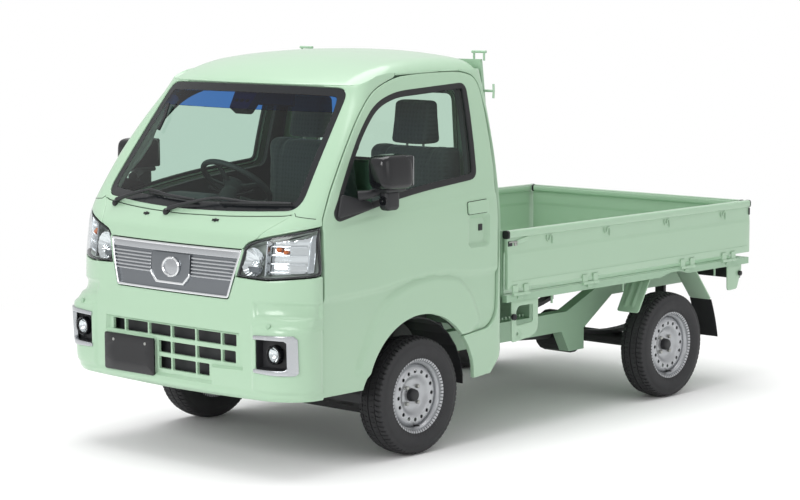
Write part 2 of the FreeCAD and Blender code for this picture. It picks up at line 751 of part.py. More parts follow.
def front_details(cab):
    blank = plate_box(0, PLATE_THICKNESS - SEAT_GAP)
    bolt_z = PLATE_Z + PLATE_HEIGHT / 2 - PLATE_BOLT_DROP
    ahead = NOSE_Y - CUT_OVERRUN
    for side in (-1, 1):
        bolt_x = PLATE_X + side * PLATE_BOLT_SPACING / 2
        blank = blank.cut(cylinder_y(bolt_x, ahead, NOSE_Y + CUT_OVERRUN, bolt_z, PLATE_BOLT_RADIUS))
    write("number_plate", [blank])
    bars = cab.shell.common(grille_prism(0))
    back = half_space_y(cab_y(GRILLE_EDGE_SHARE) + GRILLE_DEPTH, cab_y(SCREEN_CUT_SHARE))
    grille = bars.cut(back)
    low, high = SLAT_RANGE_SHARES
    inner, outer = SLAT_SHARES
    pitch = (cab_z(high) - cab_z(low)) / SLAT_COUNT
    for index in range(SLAT_COUNT):
        z = cab_z(low) + pitch * index + pitch / 2
        slot = box(inner * HALF_WIDTH, outer * HALF_WIDTH, NOSE_Y, cab_y(FACE_CUT_SHARE), z - SLAT_SLOT / 2,
                   z + SLAT_SLOT / 2)
        grille = grille.cut(slot).cut(mirrored(slot))
    write("grille", grille.Solids)
    lens_inner = cab_volume(LAMP_DEPTH, LAMP_DEPTH, 0, 0)
    lamp = cab.outer.cut(lens_inner).common(lamp_prism(LAMP_SHARES, 0, LAMP_REAR_SHARE, 0))
    fog_inner = lower_volume(FOG_DEPTH, FOG_DEPTH, 0)
    fog = cab.low_outer.cut(fog_inner).common(lamp_prism(FOG_SHARES, FOG_RADIUS, FACE_CUT_SHARE, 0))
    solids = lamp.Solids + fog.Solids
    write("front_lamps", solids + [mirrored(solid) for solid in solids])


def windows(cab):
    pane = cab.glass_outer.cut(cab.glass_inner)
    screen = pane.common(screen_prism(-SEAT_GAP))
    rear = pane.common(rear_window_prism(-SEAT_GAP))
    write("cab_glass", screen.Solids + rear.Solids)
    points = side_points(WINDOW_SHARES)
    side = pane.common(prism_x(grown(points, -SEAT_GAP), 0, WIDTH, WINDOW_CORNER_RADIUS))
    write("door_glass_left", side.Solids)
    write("door_glass_right", [mirrored(solid) for solid in side.Solids])


def doors(cab):
    reach = HALF_WIDTH + CUT_OVERRUN
    points = side_points(DOOR_SHARES)
    skin_cut = prism_x(points, 0, reach, DOOR_CORNER_RADIUS)
    inner_cut = prism_x(grown(points, -DOOR_INNER_STEP), 0, reach, DOOR_CORNER_RADIUS)
    arch = arch_cut(ARCH_RADIUS, WIDTH)
    window = prism_x(side_points(WINDOW_SHARES), 0, reach, WINDOW_CORNER_RADIUS)
    solid_outer = cab.outer.fuse(cab.low_outer)
    skin = solid_outer.cut(cab.skin_inner).cut(cab.low_skin_inner).common(skin_cut)
    inner = solid_outer.cut(cab.inner).cut(cab.low_inner).common(inner_cut)
    door = skin.fuse(inner).cut(arch).cut(window)
    door = door.cut(door_edge_round())
    for pocket in hinge_pockets():
        door = door.cut(pocket)
    door = door.removeSplitter()
    write("door_left", door.Solids)
    write("door_right", [mirrored(solid) for solid in door.Solids])


def hinge_axis():
    # The door's vertical hinge line, just inside its front outer corner
    return HALF_WIDTH - HINGE_INSET, cab_y(DOOR_SHARES[0][0]) + HINGE_INSET


def hinge_leaves():
    # Fixed leaves that stand out of the body's door edge and hold the pins
    x, y = hinge_axis()
    body_y = y - HINGE_INSET - MOVE_GAP
    leaves = []
    for middle in HINGE_LEVELS:
        low = middle - HINGE_HEIGHT / 2
        high = middle + HINGE_HEIGHT / 2
        pin = cylinder_z(x, y, low, high, HINGE_PIN_RADIUS)
        half_neck = HINGE_PIN_RADIUS / 2
        root = box(x - HINGE_REACH, x - HINGE_THROAT, body_y - HINGE_INSET, y + half_neck, low, high)
        neck = box(x - HINGE_REACH, x, y - half_neck, y + half_neck, low, high)
        leaves.append(pin.fuse(root).fuse(neck))
    return leaves


def hinge_pockets():
    # Room in the door's edge for the fixed leaves, over the whole swing
    x, y = hinge_axis()
    room = HINGE_PIN_RADIUS + HINGE_RUNNING
    pockets = []
    for middle in HINGE_LEVELS:
        low = middle - HINGE_HEIGHT / 2 - HINGE_RUNNING
        high = middle + HINGE_HEIGHT / 2 + HINGE_RUNNING
        bore = cylinder_z(x, y, low, high, room)
        mouth = box(x - DOOR_THICKNESS, x + HINGE_RUNNING, y - HINGE_THROAT, y + room, low, high)
        pockets.append(bore.fuse(mouth))
    return pockets


def door_edge_round():
    # Trims the front outer corner of the door to a round about its hinge line
    front_y = cab_y(DOOR_SHARES[0][0])
    radius = HINGE_INSET
    outer_x = HALF_WIDTH
    block = box(outer_x - radius, outer_x + radius, front_y - radius, front_y + radius, 0, ROOF_HEIGHT)
    return block.cut(cylinder_z(outer_x - radius, front_y + radius, 0, ROOF_HEIGHT, radius))


def cab_floor():
    inner_front = cab_y(0) + FOOTWELL_SETBACK
    riser_y = cab_y(0) + RISER_SETBACK
    back_y = CAB_REAR_Y - BACK_WALL
    low = RAIL_TOP_Z
    high = DECK_Z
    thick = FLOOR_THICKNESS
    points = [
        (inner_front, low), (riser_y, low), (riser_y, high - thick), (back_y, high - thick),
        (back_y, high), (riser_y - thick, high), (riser_y - thick, low + thick), (inner_front, low + thick),
    ]
    inset = DOOR_THICKNESS + FLOOR_SIDE_GAP
    half = HALF_WIDTH - inset
    toe_board = box(-TOE_BOARD_HALF, TOE_BOARD_HALF, inner_front, inner_front + thick, low, TOE_BOARD_TOP)
    pan = prism_x(points, -half, half).common(lower_volume(inset, inset, BACK_WALL))
    write("cab_floor", [pan.fuse(toe_board)])
    radius = ARCH_RADIUS - LINER_GAP
    outer_x = half
    centre_z = TYRE_RADIUS + ARCH_RISE
    ring = rod_x(LINER_INNER_X, outer_x, FRONT_AXLE_Y, centre_z, radius, ARCH_SIDES)
    bore = radius - LINER_THICKNESS
    ring = ring.cut(rod_x(LINER_INNER_X, outer_x, FRONT_AXLE_Y, centre_z, bore, ARCH_SIDES))
    ring = ring.common(box(0, WIDTH, -LENGTH, 0, centre_z, ROOF_HEIGHT))
    top = centre_z + radius
    post_y = FRONT_AXLE_Y - LINER_POST / 2
    post = box(LINER_INNER_X, LINER_INNER_X + LINER_POST, post_y, post_y + LINER_POST, top - LINER_THICKNESS,
               high - thick - SEAT_GAP)
    strut_room = STRUT_RADIUS + LINER_THICKNESS
    ring = ring.fuse(post).cut(rod_z(STRUT_X, FRONT_AXLE_Y, 0, high, strut_room, BAR_SIDES))
    write("arch_liners", [ring, mirrored(ring)])


def grip_profile():
    # Section of the steering wheel's ring, along its axis and out from it
    middle = STEER_RADIUS - STEER_GRIP_RADIUS
    points = []
    for index in range(GRIP_SIDES):
        angle = 2 * math.pi * index / GRIP_SIDES
        points.append((STEER_GRIP_RADIUS * math.cos(angle), middle + STEER_GRIP_RADIUS * math.sin(angle)))
    return points


def interior():
    half = DASH_WIDTH_SHARE * HALF_WIDTH
    dash = prism_x(side_points(DASH_SHARES), -half, half)
    board_y = NOSE_Y + FOOTWELL_SETBACK + FLOOR_THICKNESS + SEAT_GAP
    brace_top = TOE_BOARD_TOP
    brace_y = cab_y(DASH_SHARES[2][0])
    brace = box(-TOE_BOARD_HALF, TOE_BOARD_HALF, board_y, brace_y, brace_top - DASH_BRACE, brace_top)
    dash = dash.fuse(brace)
    axis = vec(0, math.cos(math.radians(STEER_TILT)), math.sin(math.radians(STEER_TILT)))
    hub = vec(STEER_HUB_X, STEER_HUB_Y, STEER_HUB_Z)
    column_top = hub - axis * (STEER_BOSS_DEPTH + SEAT_GAP)
    column_start = column_top - axis * COLUMN_LENGTH
    column = rod(column_start, axis * COLUMN_LENGTH, COLUMN_RADIUS, BAR_SIDES)
    write("dashboard", [dash.fuse(column)])
    ring = turned(grip_profile(), STEER_SIDES, 0, 0)
    ring.rotate(vec(0, 0, 0), vec(0, 0, 1), QUARTER_TURN)
    ring.rotate(vec(0, 0, 0), vec(1, 0, 0), STEER_TILT)
    ring.translate(hub)
    boss = rod(hub - axis * STEER_BOSS_DEPTH, axis * STEER_BOSS_DEPTH, STEER_BOSS_RADIUS, BAR_SIDES)
    spoke_reach = STEER_RADIUS - STEER_GRIP_RADIUS
    half_spoke = STEER_SPOKE_WIDTH / 2
    half_depth = STEER_SPOKE_DEPTH / 2
    spoke = box(-spoke_reach, spoke_reach, -half_spoke, half_spoke, -half_depth, half_depth)
    spoke.rotate(vec(0, 0, 0), vec(1, 0, 0), STEER_TILT - QUARTER_TURN)
    spoke.translate(hub)
    write("steering_wheel", [ring.fuse(boss.fuse(spoke))])
    half = SEAT_WIDTH / 2
    seat_z = DECK_Z + SEAT_GAP

    def seat_points(shares):
        return [(cab_y(along), seat_z + up * ROOF_HEIGHT) for along, up in shares]

    cushion = prism_x(seat_points(CUSHION_SHARES), SEAT_X - half, SEAT_X + half)
    back = prism_x(seat_points(BACKREST_SHARES), SEAT_X - half, SEAT_X + half)
    head_half = half * HEADREST_SHARE
    head_z = cab_z(HEADREST_Z_SHARE)
    for side in (-1, 1):
        trim = box(head_half, WIDTH, -LENGTH, LENGTH, head_z, ROOF_HEIGHT)
        if side < 0:
            trim = mirrored(trim)
        trim.translate(vec(SEAT_X, 0, 0))
        back = back.cut(trim)
    seat = [cushion, back]
    write("seats", seat + [mirrored(solid) for solid in seat])


def tyre_profile(x0):
    half = [
        (TREAD_WIDTH / 2, TYRE_RADIUS),
        (SHOULDER_WIDTH / 2, TYRE_RADIUS - SHOULDER_DROP),
        (TYRE_WIDTH / 2, BELLY_RADIUS),
        (BEAD_WIDTH / 2, BEAD_RADIUS),
    ]
    points = half + [(-x, r) for x, r in reversed(half)]
    return [(x0 + x, r) for x, r in points]


def turned(points, sides, y, z):
    # A turned ring laid out with flat sides, to keep its facets few
    rings = []
    for x, r in points:
        reach = r / math.cos(math.pi / sides)
        ring = []
        for index in range(sides):
            angle = math.pi * (2 * index + 1) / sides
            ring.append(vec(x, y + reach * math.sin(angle), z - reach * math.cos(angle)))
        rings.append(ring)
    faces = []
    for first, second in zip(rings, rings[1:] + rings[:1]):
        for index in range(sides):
            after = (index + 1) % sides
            faces.append(Part.Face(polygon([first[index], first[after], second[after], second[index]])))
    return solid_of(faces)


def rim_profile():
    flange = RIM_FLANGE_WIDTH / 2
    seat = BEAD_WIDTH / 2
    bead = BEAD_RADIUS - SEAT_GAP
    disc_front = DISC_BACK + DISC_THICKNESS
    return [
        (flange, RIM_FLANGE_RADIUS), (seat, bead), (-seat, bead), (-flange, RIM_FLANGE_RADIUS),
        (-flange, RIM_CAVITY_RADIUS), (DISC_BACK, RIM_CAVITY_RADIUS), (DISC_BACK, HUB_BORE_RADIUS),
        (disc_front, HUB_BORE_RADIUS), (disc_front, HUB_FACE_RADIUS), (CREST_OFFSET, DISH_RADIUS),
        (CREST_OUTER_OFFSET, CREST_RADIUS), (CREST_OUTER_OFFSET, RIM_CAVITY_RADIUS),
        (seat, RIM_FLANGE_RADIUS - RIM_WALL - RIM_WALL),
    ]


def rim(x0, y):
    points = [(x0 + x, r) for x, r in rim_profile()]
    solid = turned(points, WHEEL_SIDES, y, TYRE_RADIUS)
    for index in range(VENT_COUNT):
        angle = 2 * math.pi * index / VENT_COUNT
        cy = y + VENT_RING_RADIUS * math.sin(angle)
        cz = TYRE_RADIUS + VENT_RING_RADIUS * math.cos(angle)
        corners = []
        for side in range(VENT_SIDES):
            turn = 2 * math.pi * side / VENT_SIDES
            corners.append((cy + VENT_RADIUS * math.cos(turn), cz + VENT_RADIUS * math.sin(turn)))
        solid = solid.cut(prism_x(corners, x0, x0 + RIM_FLANGE_WIDTH))
    return solid


def wheels():
    for end, y, track in (("front", FRONT_AXLE_Y, FRONT_TRACK), ("rear", REAR_AXLE_Y, REAR_TRACK)):
        tyre = turned(tyre_profile(track / 2), WHEEL_SIDES, y, TYRE_RADIUS)
        rim_solid = rim(track / 2, y)
        for side in ("left", "right"):
            if side == "right":
                tyre = mirrored(tyre)
                rim_solid = mirrored(rim_solid)
            write("tyre_" + end + "_" + side, [tyre])
            write("rim_" + end + "_" + side, [rim_solid])


def frame():
    front = NOSE_Y + RAIL_FRONT_SETBACK
    rear = HALF_LENGTH - RAIL_REAR_SETBACK
    low = RAIL_BOTTOM_Z
    high = RAIL_TOP_Z
    kick_start = REAR_AXLE_Y - RAIL_KICK_START
    kick_end = REAR_AXLE_Y - RAIL_KICK_END
    hanger = REAR_AXLE_Y - HANGER_SETBACK
    points = [
        (front, low), (hanger - HANGER_LENGTH, low), (hanger - HANGER_LENGTH / 2, low - HANGER_DROP),
        (hanger + HANGER_LENGTH / 2, low - HANGER_DROP), (hanger + HANGER_LENGTH / 2, low),
        (kick_end, low + RAIL_REAR_RISE), (rear, low + RAIL_REAR_RISE), (rear, high + RAIL_REAR_RISE),
        (kick_end, high + RAIL_REAR_RISE), (kick_start, high), (front, high),
    ]
    rail = prism_x(points, RAIL_X - RAIL_WIDTH / 2, RAIL_X + RAIL_WIDTH / 2)
    write("frame_rails", [rail, mirrored(rail)])
    inner = RAIL_X - RAIL_WIDTH / 2
    bars = []
    for share in CROSS_FRONT_SHARES:
        y = front + share * (rear - front)
        bars.append(box(-inner, inner, y, y + CROSS_DEPTH, high - CROSS_HEIGHT, high))
    for share in CROSS_REAR_SHARES:
        y = kick_end + share * (rear - kick_end)
        top = high + RAIL_REAR_RISE
        bars.append(box(-inner, inner, y - CROSS_DEPTH, y, top - CROSS_HEIGHT, top))
    write("cross_members", bars)


def gate_profile(outer, inward):
    # Section of a gate, across its thickness and up: outer is the outer face
    # and inward is the direction of the load
    outer_panel = outer + inward * GATE_PANEL_INSET
    rail_in = outer + inward * GATE_RAIL_WIDTH
    panel_in = outer_panel + inward * GATE_PANEL_THICKNESS
    lower = outer + inward * GATE_PIN_OFFSET
    lower_in = lower + inward * GATE_PANEL_THICKNESS
    rail_low = GATE_TOP_Z - GATE_RAIL_HEIGHT
    return [
        (lower, GATE_BOTTOM_Z), (lower, GATE_STEP_Z - GATE_STEP), (outer_panel, GATE_STEP_Z),
        (outer_panel, rail_low), (outer, rail_low), (outer, GATE_TOP_Z), (rail_in, GATE_TOP_Z),
        (rail_in, rail_low), (panel_in, rail_low), (panel_in, GATE_STEP_Z),
        (lower_in, GATE_STEP_Z - GATE_STEP), (lower_in, GATE_BOTTOM_Z),
    ]


def bed():
    front = CAB_REAR_Y + BED_GAP
    gate_face = HALF_LENGTH - GATE_PIN_RADIUS - GATE_PIN_OFFSET / 2
    rear_inner = gate_face - GATE_RAIL_WIDTH
    gate_front = front + GATE_END_GAP
    gate_length = gate_face - gate_front
    side_x = HALF_WIDTH
    pin_x = side_x + GATE_PIN_OFFSET / 2
    section = gate_profile(side_x, -1)
    gate = prism_y(section, gate_front, gate_face)
    sill_outer = side_x - SILL_INSET
    sill_inner = sill_outer - SILL_WIDTH
    floor_y1 = gate_face - SILL_INSET
    base_z = BED_FLOOR_Z - DECK_STEP
    sill = box(sill_inner, sill_outer, front, floor_y1, BED_FLOOR_Z - SILL_HEIGHT, base_z)
    sill = sill.cut(rod_x(sill_inner, sill_outer, REAR_AXLE_Y, TYRE_RADIUS, REAR_ARCH_RADIUS, ARCH_SIDES))
    fixed = []
    for share in HINGE_SHARES:
        y = gate_front + share * gate_length
        for step, moving in ((-1, True), (0, False), (1, True)):
            start = y + step * (KNUCKLE_LENGTH + KNUCKLE_GAP) - KNUCKLE_LENGTH / 2
            barrel = rod_y(pin_x, start, start + KNUCKLE_LENGTH, GATE_PIN_Z, GATE_PIN_RADIUS, BARREL_SIDES)
            if moving:
                leaf = box(side_x - GATE_PIN_OFFSET, pin_x, start, start + KNUCKLE_LENGTH, GATE_PIN_Z,
                           GATE_BOTTOM_Z + GATE_FOOT)
                gate = gate.fuse(barrel).fuse(leaf)
            else:
                end = start + KNUCKLE_LENGTH
                leaf = box(sill_outer, pin_x, start, end, GATE_PIN_Z - GATE_FOOT, GATE_PIN_Z)
                fixed.append(barrel.fuse(leaf))
    for share in HOOK_SHARES:
        y = gate_front + share * gate_length
        hook_z = GATE_TOP_Z - GATE_RAIL_HEIGHT - HOOK_SIZE[2]
        depth = GATE_PANEL_INSET
        gate = gate.fuse(box(side_x - depth, side_x, y, y + HOOK_SIZE[0], hook_z - HOOK_SIZE[2], hook_z))
    gate = gate.removeSplitter()
    write("gate_left", gate.Solids)
    write("gate_right", [mirrored(solid) for solid in gate.Solids])
    tail_half = side_x - GATE_RAIL_WIDTH - GATE_END_GAP
    tail_section = [(y, z) for y, z in gate_profile(gate_face, -1)]
    tail = prism_x(tail_section, -tail_half, tail_half)
    pin_y = gate_face + GATE_PIN_OFFSET / 2
    tail_fixed = []
    for share in TAIL_HINGE_SHARES:
        x = share * tail_half
        for step, moving in ((-1, True), (0, False), (1, True)):
            start = x + step * (KNUCKLE_LENGTH + KNUCKLE_GAP) - KNUCKLE_LENGTH / 2
            barrel = rod_x(start, start + KNUCKLE_LENGTH, pin_y, GATE_PIN_Z, GATE_PIN_RADIUS, BARREL_SIDES)
            if moving:
                leaf = box(start, start + KNUCKLE_LENGTH, gate_face - GATE_PIN_OFFSET, pin_y, GATE_PIN_Z,
                           GATE_BOTTOM_Z + GATE_FOOT)
                tail = tail.fuse(barrel).fuse(leaf)
            else:
                leaf = box(start, start + KNUCKLE_LENGTH, floor_y1, pin_y, GATE_PIN_Z - GATE_FOOT, GATE_PIN_Z)
                tail_fixed.append(barrel.fuse(leaf))
    write("tailgate", tail.removeSplitter().Solids)
    floor = box(-sill_outer, sill_outer, front, floor_y1, BED_FLOOR_Z - BED_PLATE, base_z)
    deck_y0 = front + HEADBOARD_THICKNESS + DECK_STEP
    deck = box(-tail_half, tail_half, deck_y0, rear_inner - GATE_END_GAP, base_z, BED_FLOOR_Z)
    floor = floor.fuse(deck).fuse(sill).fuse(mirrored(sill))
    sill_low = BED_FLOOR_Z - SILL_HEIGHT
    floor = floor.fuse(box(-sill_outer, sill_outer, floor_y1 - SILL_WIDTH, floor_y1, sill_low, base_z))
    for shape in fixed:
        floor = floor.fuse(shape).fuse(mirrored(shape))
    for shape in tail_fixed:
        floor = floor.fuse(shape)
    rail_out = RAIL_X + RAIL_WIDTH / 2
    kick_start = REAR_AXLE_Y - RAIL_KICK_START
    kick_end = REAR_AXLE_Y - RAIL_KICK_END
    for share in BEARER_SHARES:
        y = front + share * (floor_y1 - front) - BEARER_DEPTH / 2
        if y + BEARER_DEPTH > kick_start and y < kick_end:
            continue
        low = RAIL_TOP_Z if y < kick_start else RAIL_TOP_Z + RAIL_REAR_RISE
        bearer = box(-rail_out, rail_out, y, y + BEARER_DEPTH, low, BED_FLOOR_Z - BED_PLATE)
        floor = floor.fuse(bearer)
    write("bed_floor", floor.removeSplitter().Solids)
    board_half = side_x - GATE_RAIL_WIDTH - GATE_END_GAP
    board = box(-board_half, board_half, front, front + HEADBOARD_THICKNESS, base_z, GATE_TOP_Z)
    top_half = GUARD_TOP_SHARE * HALF_WIDTH
    base_half = GUARD_BASE_SHARE * HALF_WIDTH
    corners = [(base_half - GUARD_POST, base_z), (base_half, base_z), (top_half, GUARD_TOP_Z),
               (top_half - GUARD_POST, GUARD_TOP_Z)]
    post = prism_y(corners, front, front + GUARD_DEPTH)
    bar = box(-top_half, top_half, front, front + GUARD_DEPTH, GUARD_TOP_Z - GUARD_BAR, GUARD_TOP_Z)
    guard = board.fuse(post).fuse(mirrored(post)).fuse(bar)
    hook_x = GUARD_HOOK_SHARE * HALF_WIDTH
    radius = GUARD_HOOK_RADIUS
    middle_y = front + GUARD_DEPTH / 2
    for offset in (-GUARD_HOOK_SPAN / 2, GUARD_HOOK_SPAN / 2):
        post_x = hook_x + offset
        leg = rod_z(post_x, middle_y, GUARD_TOP_Z - radius, GUARD_TOP_Z + GUARD_HOOK_HEIGHT, GUARD_LEG_RADIUS,
                    BARREL_SIDES)
        guard = guard.fuse(leg).fuse(mirrored(leg))
    top_z = GUARD_TOP_Z + GUARD_HOOK_HEIGHT
    loop_reach = GUARD_HOOK_SPAN / 2 + radius * 2
    loop = rod_x(hook_x - loop_reach, hook_x + loop_reach, middle_y, top_z, radius, BARREL_SIDES)
    guard = guard.fuse(loop).fuse(mirrored(loop))
    write("guard_frame", guard.Solids)
    return front, floor_y1


def brackets(front, rear):
    top = BED_FLOOR_Z - SILL_HEIGHT - SEAT_GAP
    x0 = BRACKET_X
    x1 = BRACKET_X + BRACKET_THICKNESS
    bed_length = rear - front

    def place(shares):
        return [(front + along * bed_length, top + up * BED_HEIGHT_REFERENCE) for along, up in shares]

    side = prism_x(place(BRACKET_SHARES), x0, x1).cut(prism_x(place(BRACKET_HOLE_SHARES), x0, x1))
    plate_outer = x1
    plate_inner = x1 - PLATE_WIDTH
    fore = REAR_AXLE_Y - FRONT_PLATE_TOP
    fore_low = REAR_AXLE_Y - FRONT_PLATE_BOTTOM
    aft = REAR_AXLE_Y + REAR_PLATE_TOP
    aft_low = REAR_AXLE_Y + REAR_PLATE_BOTTOM
    thick = BRACKET_THICKNESS
    low = top - PLATE_DROP
    front_plate = prism_x([(fore, top), (fore_low, low), (fore_low - thick, low), (fore - thick, top)],
                          plate_inner, plate_outer)
    rear_plate = prism_x([(aft, top), (aft_low, low), (aft_low + thick, low), (aft + thick, top)],
                         plate_inner, plate_outer)
    corner_rear = rear - CORNER_PLATE_FOOT
    corner_front = corner_rear - CORNER_PLATE_LENGTH
    corner_low = top - CORNER_PLATE_DROP
    corner = prism_x([(corner_front, top), (corner_rear, top), (corner_rear, top - thick),
                      (corner_rear - CORNER_PLATE_LENGTH / 2, corner_low),
                      (corner_front + thick, corner_low)], x0, x1)
    pieces = [side, front_plate, rear_plate, corner]
    write("bed_brackets", pieces + [mirrored(piece) for piece in pieces])
    flap_top = low - SEAT_GAP
    flap_low = low - FLAP_LENGTH
    flap = prism_x([(aft_low, flap_top), (aft_low + FLAP_LEAN, flap_low),
                    (aft_low + FLAP_LEAN + FLAP_THICKNESS, flap_low), (aft_low + FLAP_THICKNESS, flap_top)],
                   plate_inner, plate_outer)
    write("mud_flaps", [flap, mirrored(flap)])
    lamp_x = TAIL_LAMP_X - TAIL_LAMP_LENGTH / 2
    lamp = box(lamp_x, lamp_x + TAIL_LAMP_LENGTH, rear - TAIL_LAMP_DEPTH, rear, top - TAIL_LAMP_HEIGHT, top)
    write("rear_lamps", [lamp, mirrored(lamp)])


def running_gear():
    y = FRONT_AXLE_Y
    z = TYRE_RADIUS
    spindle = HUB_BORE_RADIUS - SEAT_GAP
    reach = FRONT_TRACK / 2 + DISC_BACK + DISC_THICKNESS
    block = box(KNUCKLE_INNER, KNUCKLE_OUTER, y - KNUCKLE_DEPTH, y + KNUCKLE_DEPTH, z - KNUCKLE_TOP,
                z + KNUCKLE_TOP)
    drum = rod_x(DRUM_INNER, DRUM_INNER + DRUM_THICKNESS, y, z, DRUM_RADIUS, BAR_SIDES)
    axle = rod_x(KNUCKLE_OUTER - DRUM_THICKNESS, reach, y, z, spindle, WHEEL_SIDES)
    pin = cylinder_z(KINGPIN_X, y, z - KNUCKLE_TOP - ARM_THICKNESS, z, KINGPIN_RADIUS)
    knuckle_left = block.fuse(drum).fuse(axle).fuse(pin)
    write("knuckle_left", [knuckle_left])
    write("knuckle_right", [mirrored(knuckle_left)])
    strut_z = z + KNUCKLE_TOP + SEAT_GAP
    strut = rod_z(STRUT_X, y, strut_z, DECK_Z - FLOOR_THICKNESS - SEAT_GAP, STRUT_RADIUS, BAR_SIDES)
    arm_top = z - KNUCKLE_TOP - SEAT_GAP
    arm_half = ARM_DEPTH / 2
    tip_x = KINGPIN_X + ARM_TIP
    arm = prism_z([(RAIL_X, y - arm_half), (KINGPIN_X - ARM_TIP, y - arm_half), (tip_x, y - ARM_TIP_HALF),
                   (tip_x, y + ARM_TIP_HALF), (KINGPIN_X - ARM_TIP, y + arm_half), (RAIL_X, y + arm_half)],
                  arm_top - ARM_THICKNESS, arm_top)
    arm = arm.cut(cylinder_z(KINGPIN_X, y, 0, z, KINGPIN_RADIUS + SEAT_GAP))
    post = box(RAIL_X - RAIL_WIDTH / 2, RAIL_X + RAIL_WIDTH / 2, y - ARM_DEPTH / 2, y + ARM_DEPTH / 2,
               arm_top - ARM_THICKNESS, RAIL_BOTTOM_Z)
    lower = arm.fuse(post)
    beam_half = RAIL_X - RAIL_WIDTH / 2
    beam = box(-beam_half, beam_half, y - ARM_DEPTH / 2, y + ARM_DEPTH / 2, arm_top - ARM_THICKNESS, arm_top)
    gear = lower.fuse(mirrored(lower)).fuse(beam)
    write("front_suspension", [gear, strut, mirrored(strut)])
    y = REAR_AXLE_Y
    stub_end = REAR_TRACK / 2 + DISC_BACK + DISC_THICKNESS
    stub = rod_x(-stub_end, stub_end, y, z, spindle, WHEEL_SIDES)
    drum_x = REAR_TRACK / 2 + DRUM_INNER - FRONT_TRACK / 2
    hub_drum = rod_x(drum_x, drum_x + DRUM_THICKNESS, y, z, DRUM_RADIUS, BAR_SIDES)
    diff = rod_x(-DIFF_LENGTH / 2, DIFF_LENGTH / 2, y, z, DIFF_RADIUS, BAR_SIDES)
    tube_end = drum_x + DRUM_THICKNESS / 2
    tube = rod_x(-tube_end, tube_end, y, z, AXLE_TUBE_RADIUS, BAR_SIDES)
    axle = tube.fuse(stub).fuse(diff).fuse(hub_drum).fuse(mirrored(hub_drum))
    spring = leaf_spring(y, z + AXLE_TUBE_RADIUS + SEAT_GAP)
    write("rear_axle", [axle])
    write("leaf_springs", [spring, mirrored(spring)])


def leaf_spring(y, seat_z):
    # Bowed strip from the hanger, over the axle, to the shackle under the rail
    x = RAIL_X - SPRING_WIDTH / 2
    reach = SPRING_REACH
    front_y = y - HANGER_SETBACK + HANGER_LENGTH / 2 + SEAT_GAP
    start_z = seat_z + SPRING_RISE / 2
    low = [vec(x, front_y, start_z), vec(x, y, seat_z), vec(x, y + reach, seat_z + SPRING_RISE)]
    high = [point + vec(0, 0, SPRING_THICKNESS) for point in low]
    bow = flat_arc(low[0], low[1], low[2], SPRING_STEPS)
    bow += flat_arc(high[2], high[1], high[0], SPRING_STEPS)
    strip = plate(polygon(bow), vec(SPRING_WIDTH, 0, 0))
    end_y = y + reach
    rail_low = RAIL_BOTTOM_Z + RAIL_REAR_RISE - SEAT_GAP
    shackle = box(x, x + SPRING_WIDTH, end_y - SPRING_THICKNESS, end_y, low[2].z, rail_low)
    return strip.fuse(shackle)


def power_unit():
    engine = centred_box((0, ENGINE_Y, ENGINE_Z), ENGINE_SIZE)
    gear_y = ENGINE_Y + ENGINE_SIZE[1] / 2 + GEARBOX_SIZE[1] / 2
    low_z = ENGINE_Z - ENGINE_SIZE[2] / 2
    gear_z = low_z + GEARBOX_SIZE[2] / 2
    gearbox = centred_box((0, gear_y, gear_z), GEARBOX_SIZE)
    shaft_y0 = gear_y + GEARBOX_SIZE[1] / 2
    shaft_y1 = REAR_AXLE_Y - DIFF_RADIUS / math.cos(math.pi / BAR_SIDES) - SHAFT_SETBACK
    start = vec(0, shaft_y0, low_z + SHAFT_RADIUS)
    end = vec(0, shaft_y1, TYRE_RADIUS)
    run = end - start
    shaft = rod(start, run, SHAFT_RADIUS, BAR_SIDES)
    write("power_unit", [engine.fuse(gearbox).fuse(shaft)])
    silencer_x = -RAIL_X + RAIL_WIDTH / 2
    silencer_end = silencer_x - RAIL_WIDTH / 2
    silencer = rod_x(silencer_end, silencer_end + SILENCER_LENGTH, SILENCER_Y, SILENCER_Z, SILENCER_RADIUS,
                     BAR_SIDES)
    strap = box(silencer_x - RAIL_WIDTH / 2, silencer_x - STRAP_WIDTH / 2, SILENCER_Y - STRAP_WIDTH / 2,
                SILENCER_Y + STRAP_WIDTH / 2, SILENCER_Z, RAIL_BOTTOM_Z - SEAT_GAP)
    pipe_z = SILENCER_Z + SILENCER_RADIUS - PIPE_RADIUS
    engine_rear = ENGINE_Y + ENGINE_SIZE[1] / 2 + SEAT_GAP
    pipe_x = -ENGINE_SIZE[0] / 2 + PIPE_RADIUS * 2
    tail_x = silencer_x + PIPE_RADIUS * 2
    tail_y = SILENCER_Y + TAIL_PIPE_LENGTH
    front_pipe = rod_y(pipe_x, engine_rear, SILENCER_Y, pipe_z, PIPE_RADIUS, BARREL_SIDES)
    tail_pipe = rod_y(tail_x, SILENCER_Y, tail_y, SILENCER_Z, PIPE_RADIUS, BARREL_SIDES)
    write("exhaust", [silencer.fuse(strap).fuse(front_pipe).fuse(tail_pipe)])
    tank_x = -RAIL_X - RAIL_WIDTH / 2 - TANK_SIZE[0] / 2
    write("fuel_tank", [centred_box((tank_x, TANK_Y, TANK_Z), TANK_SIZE)])


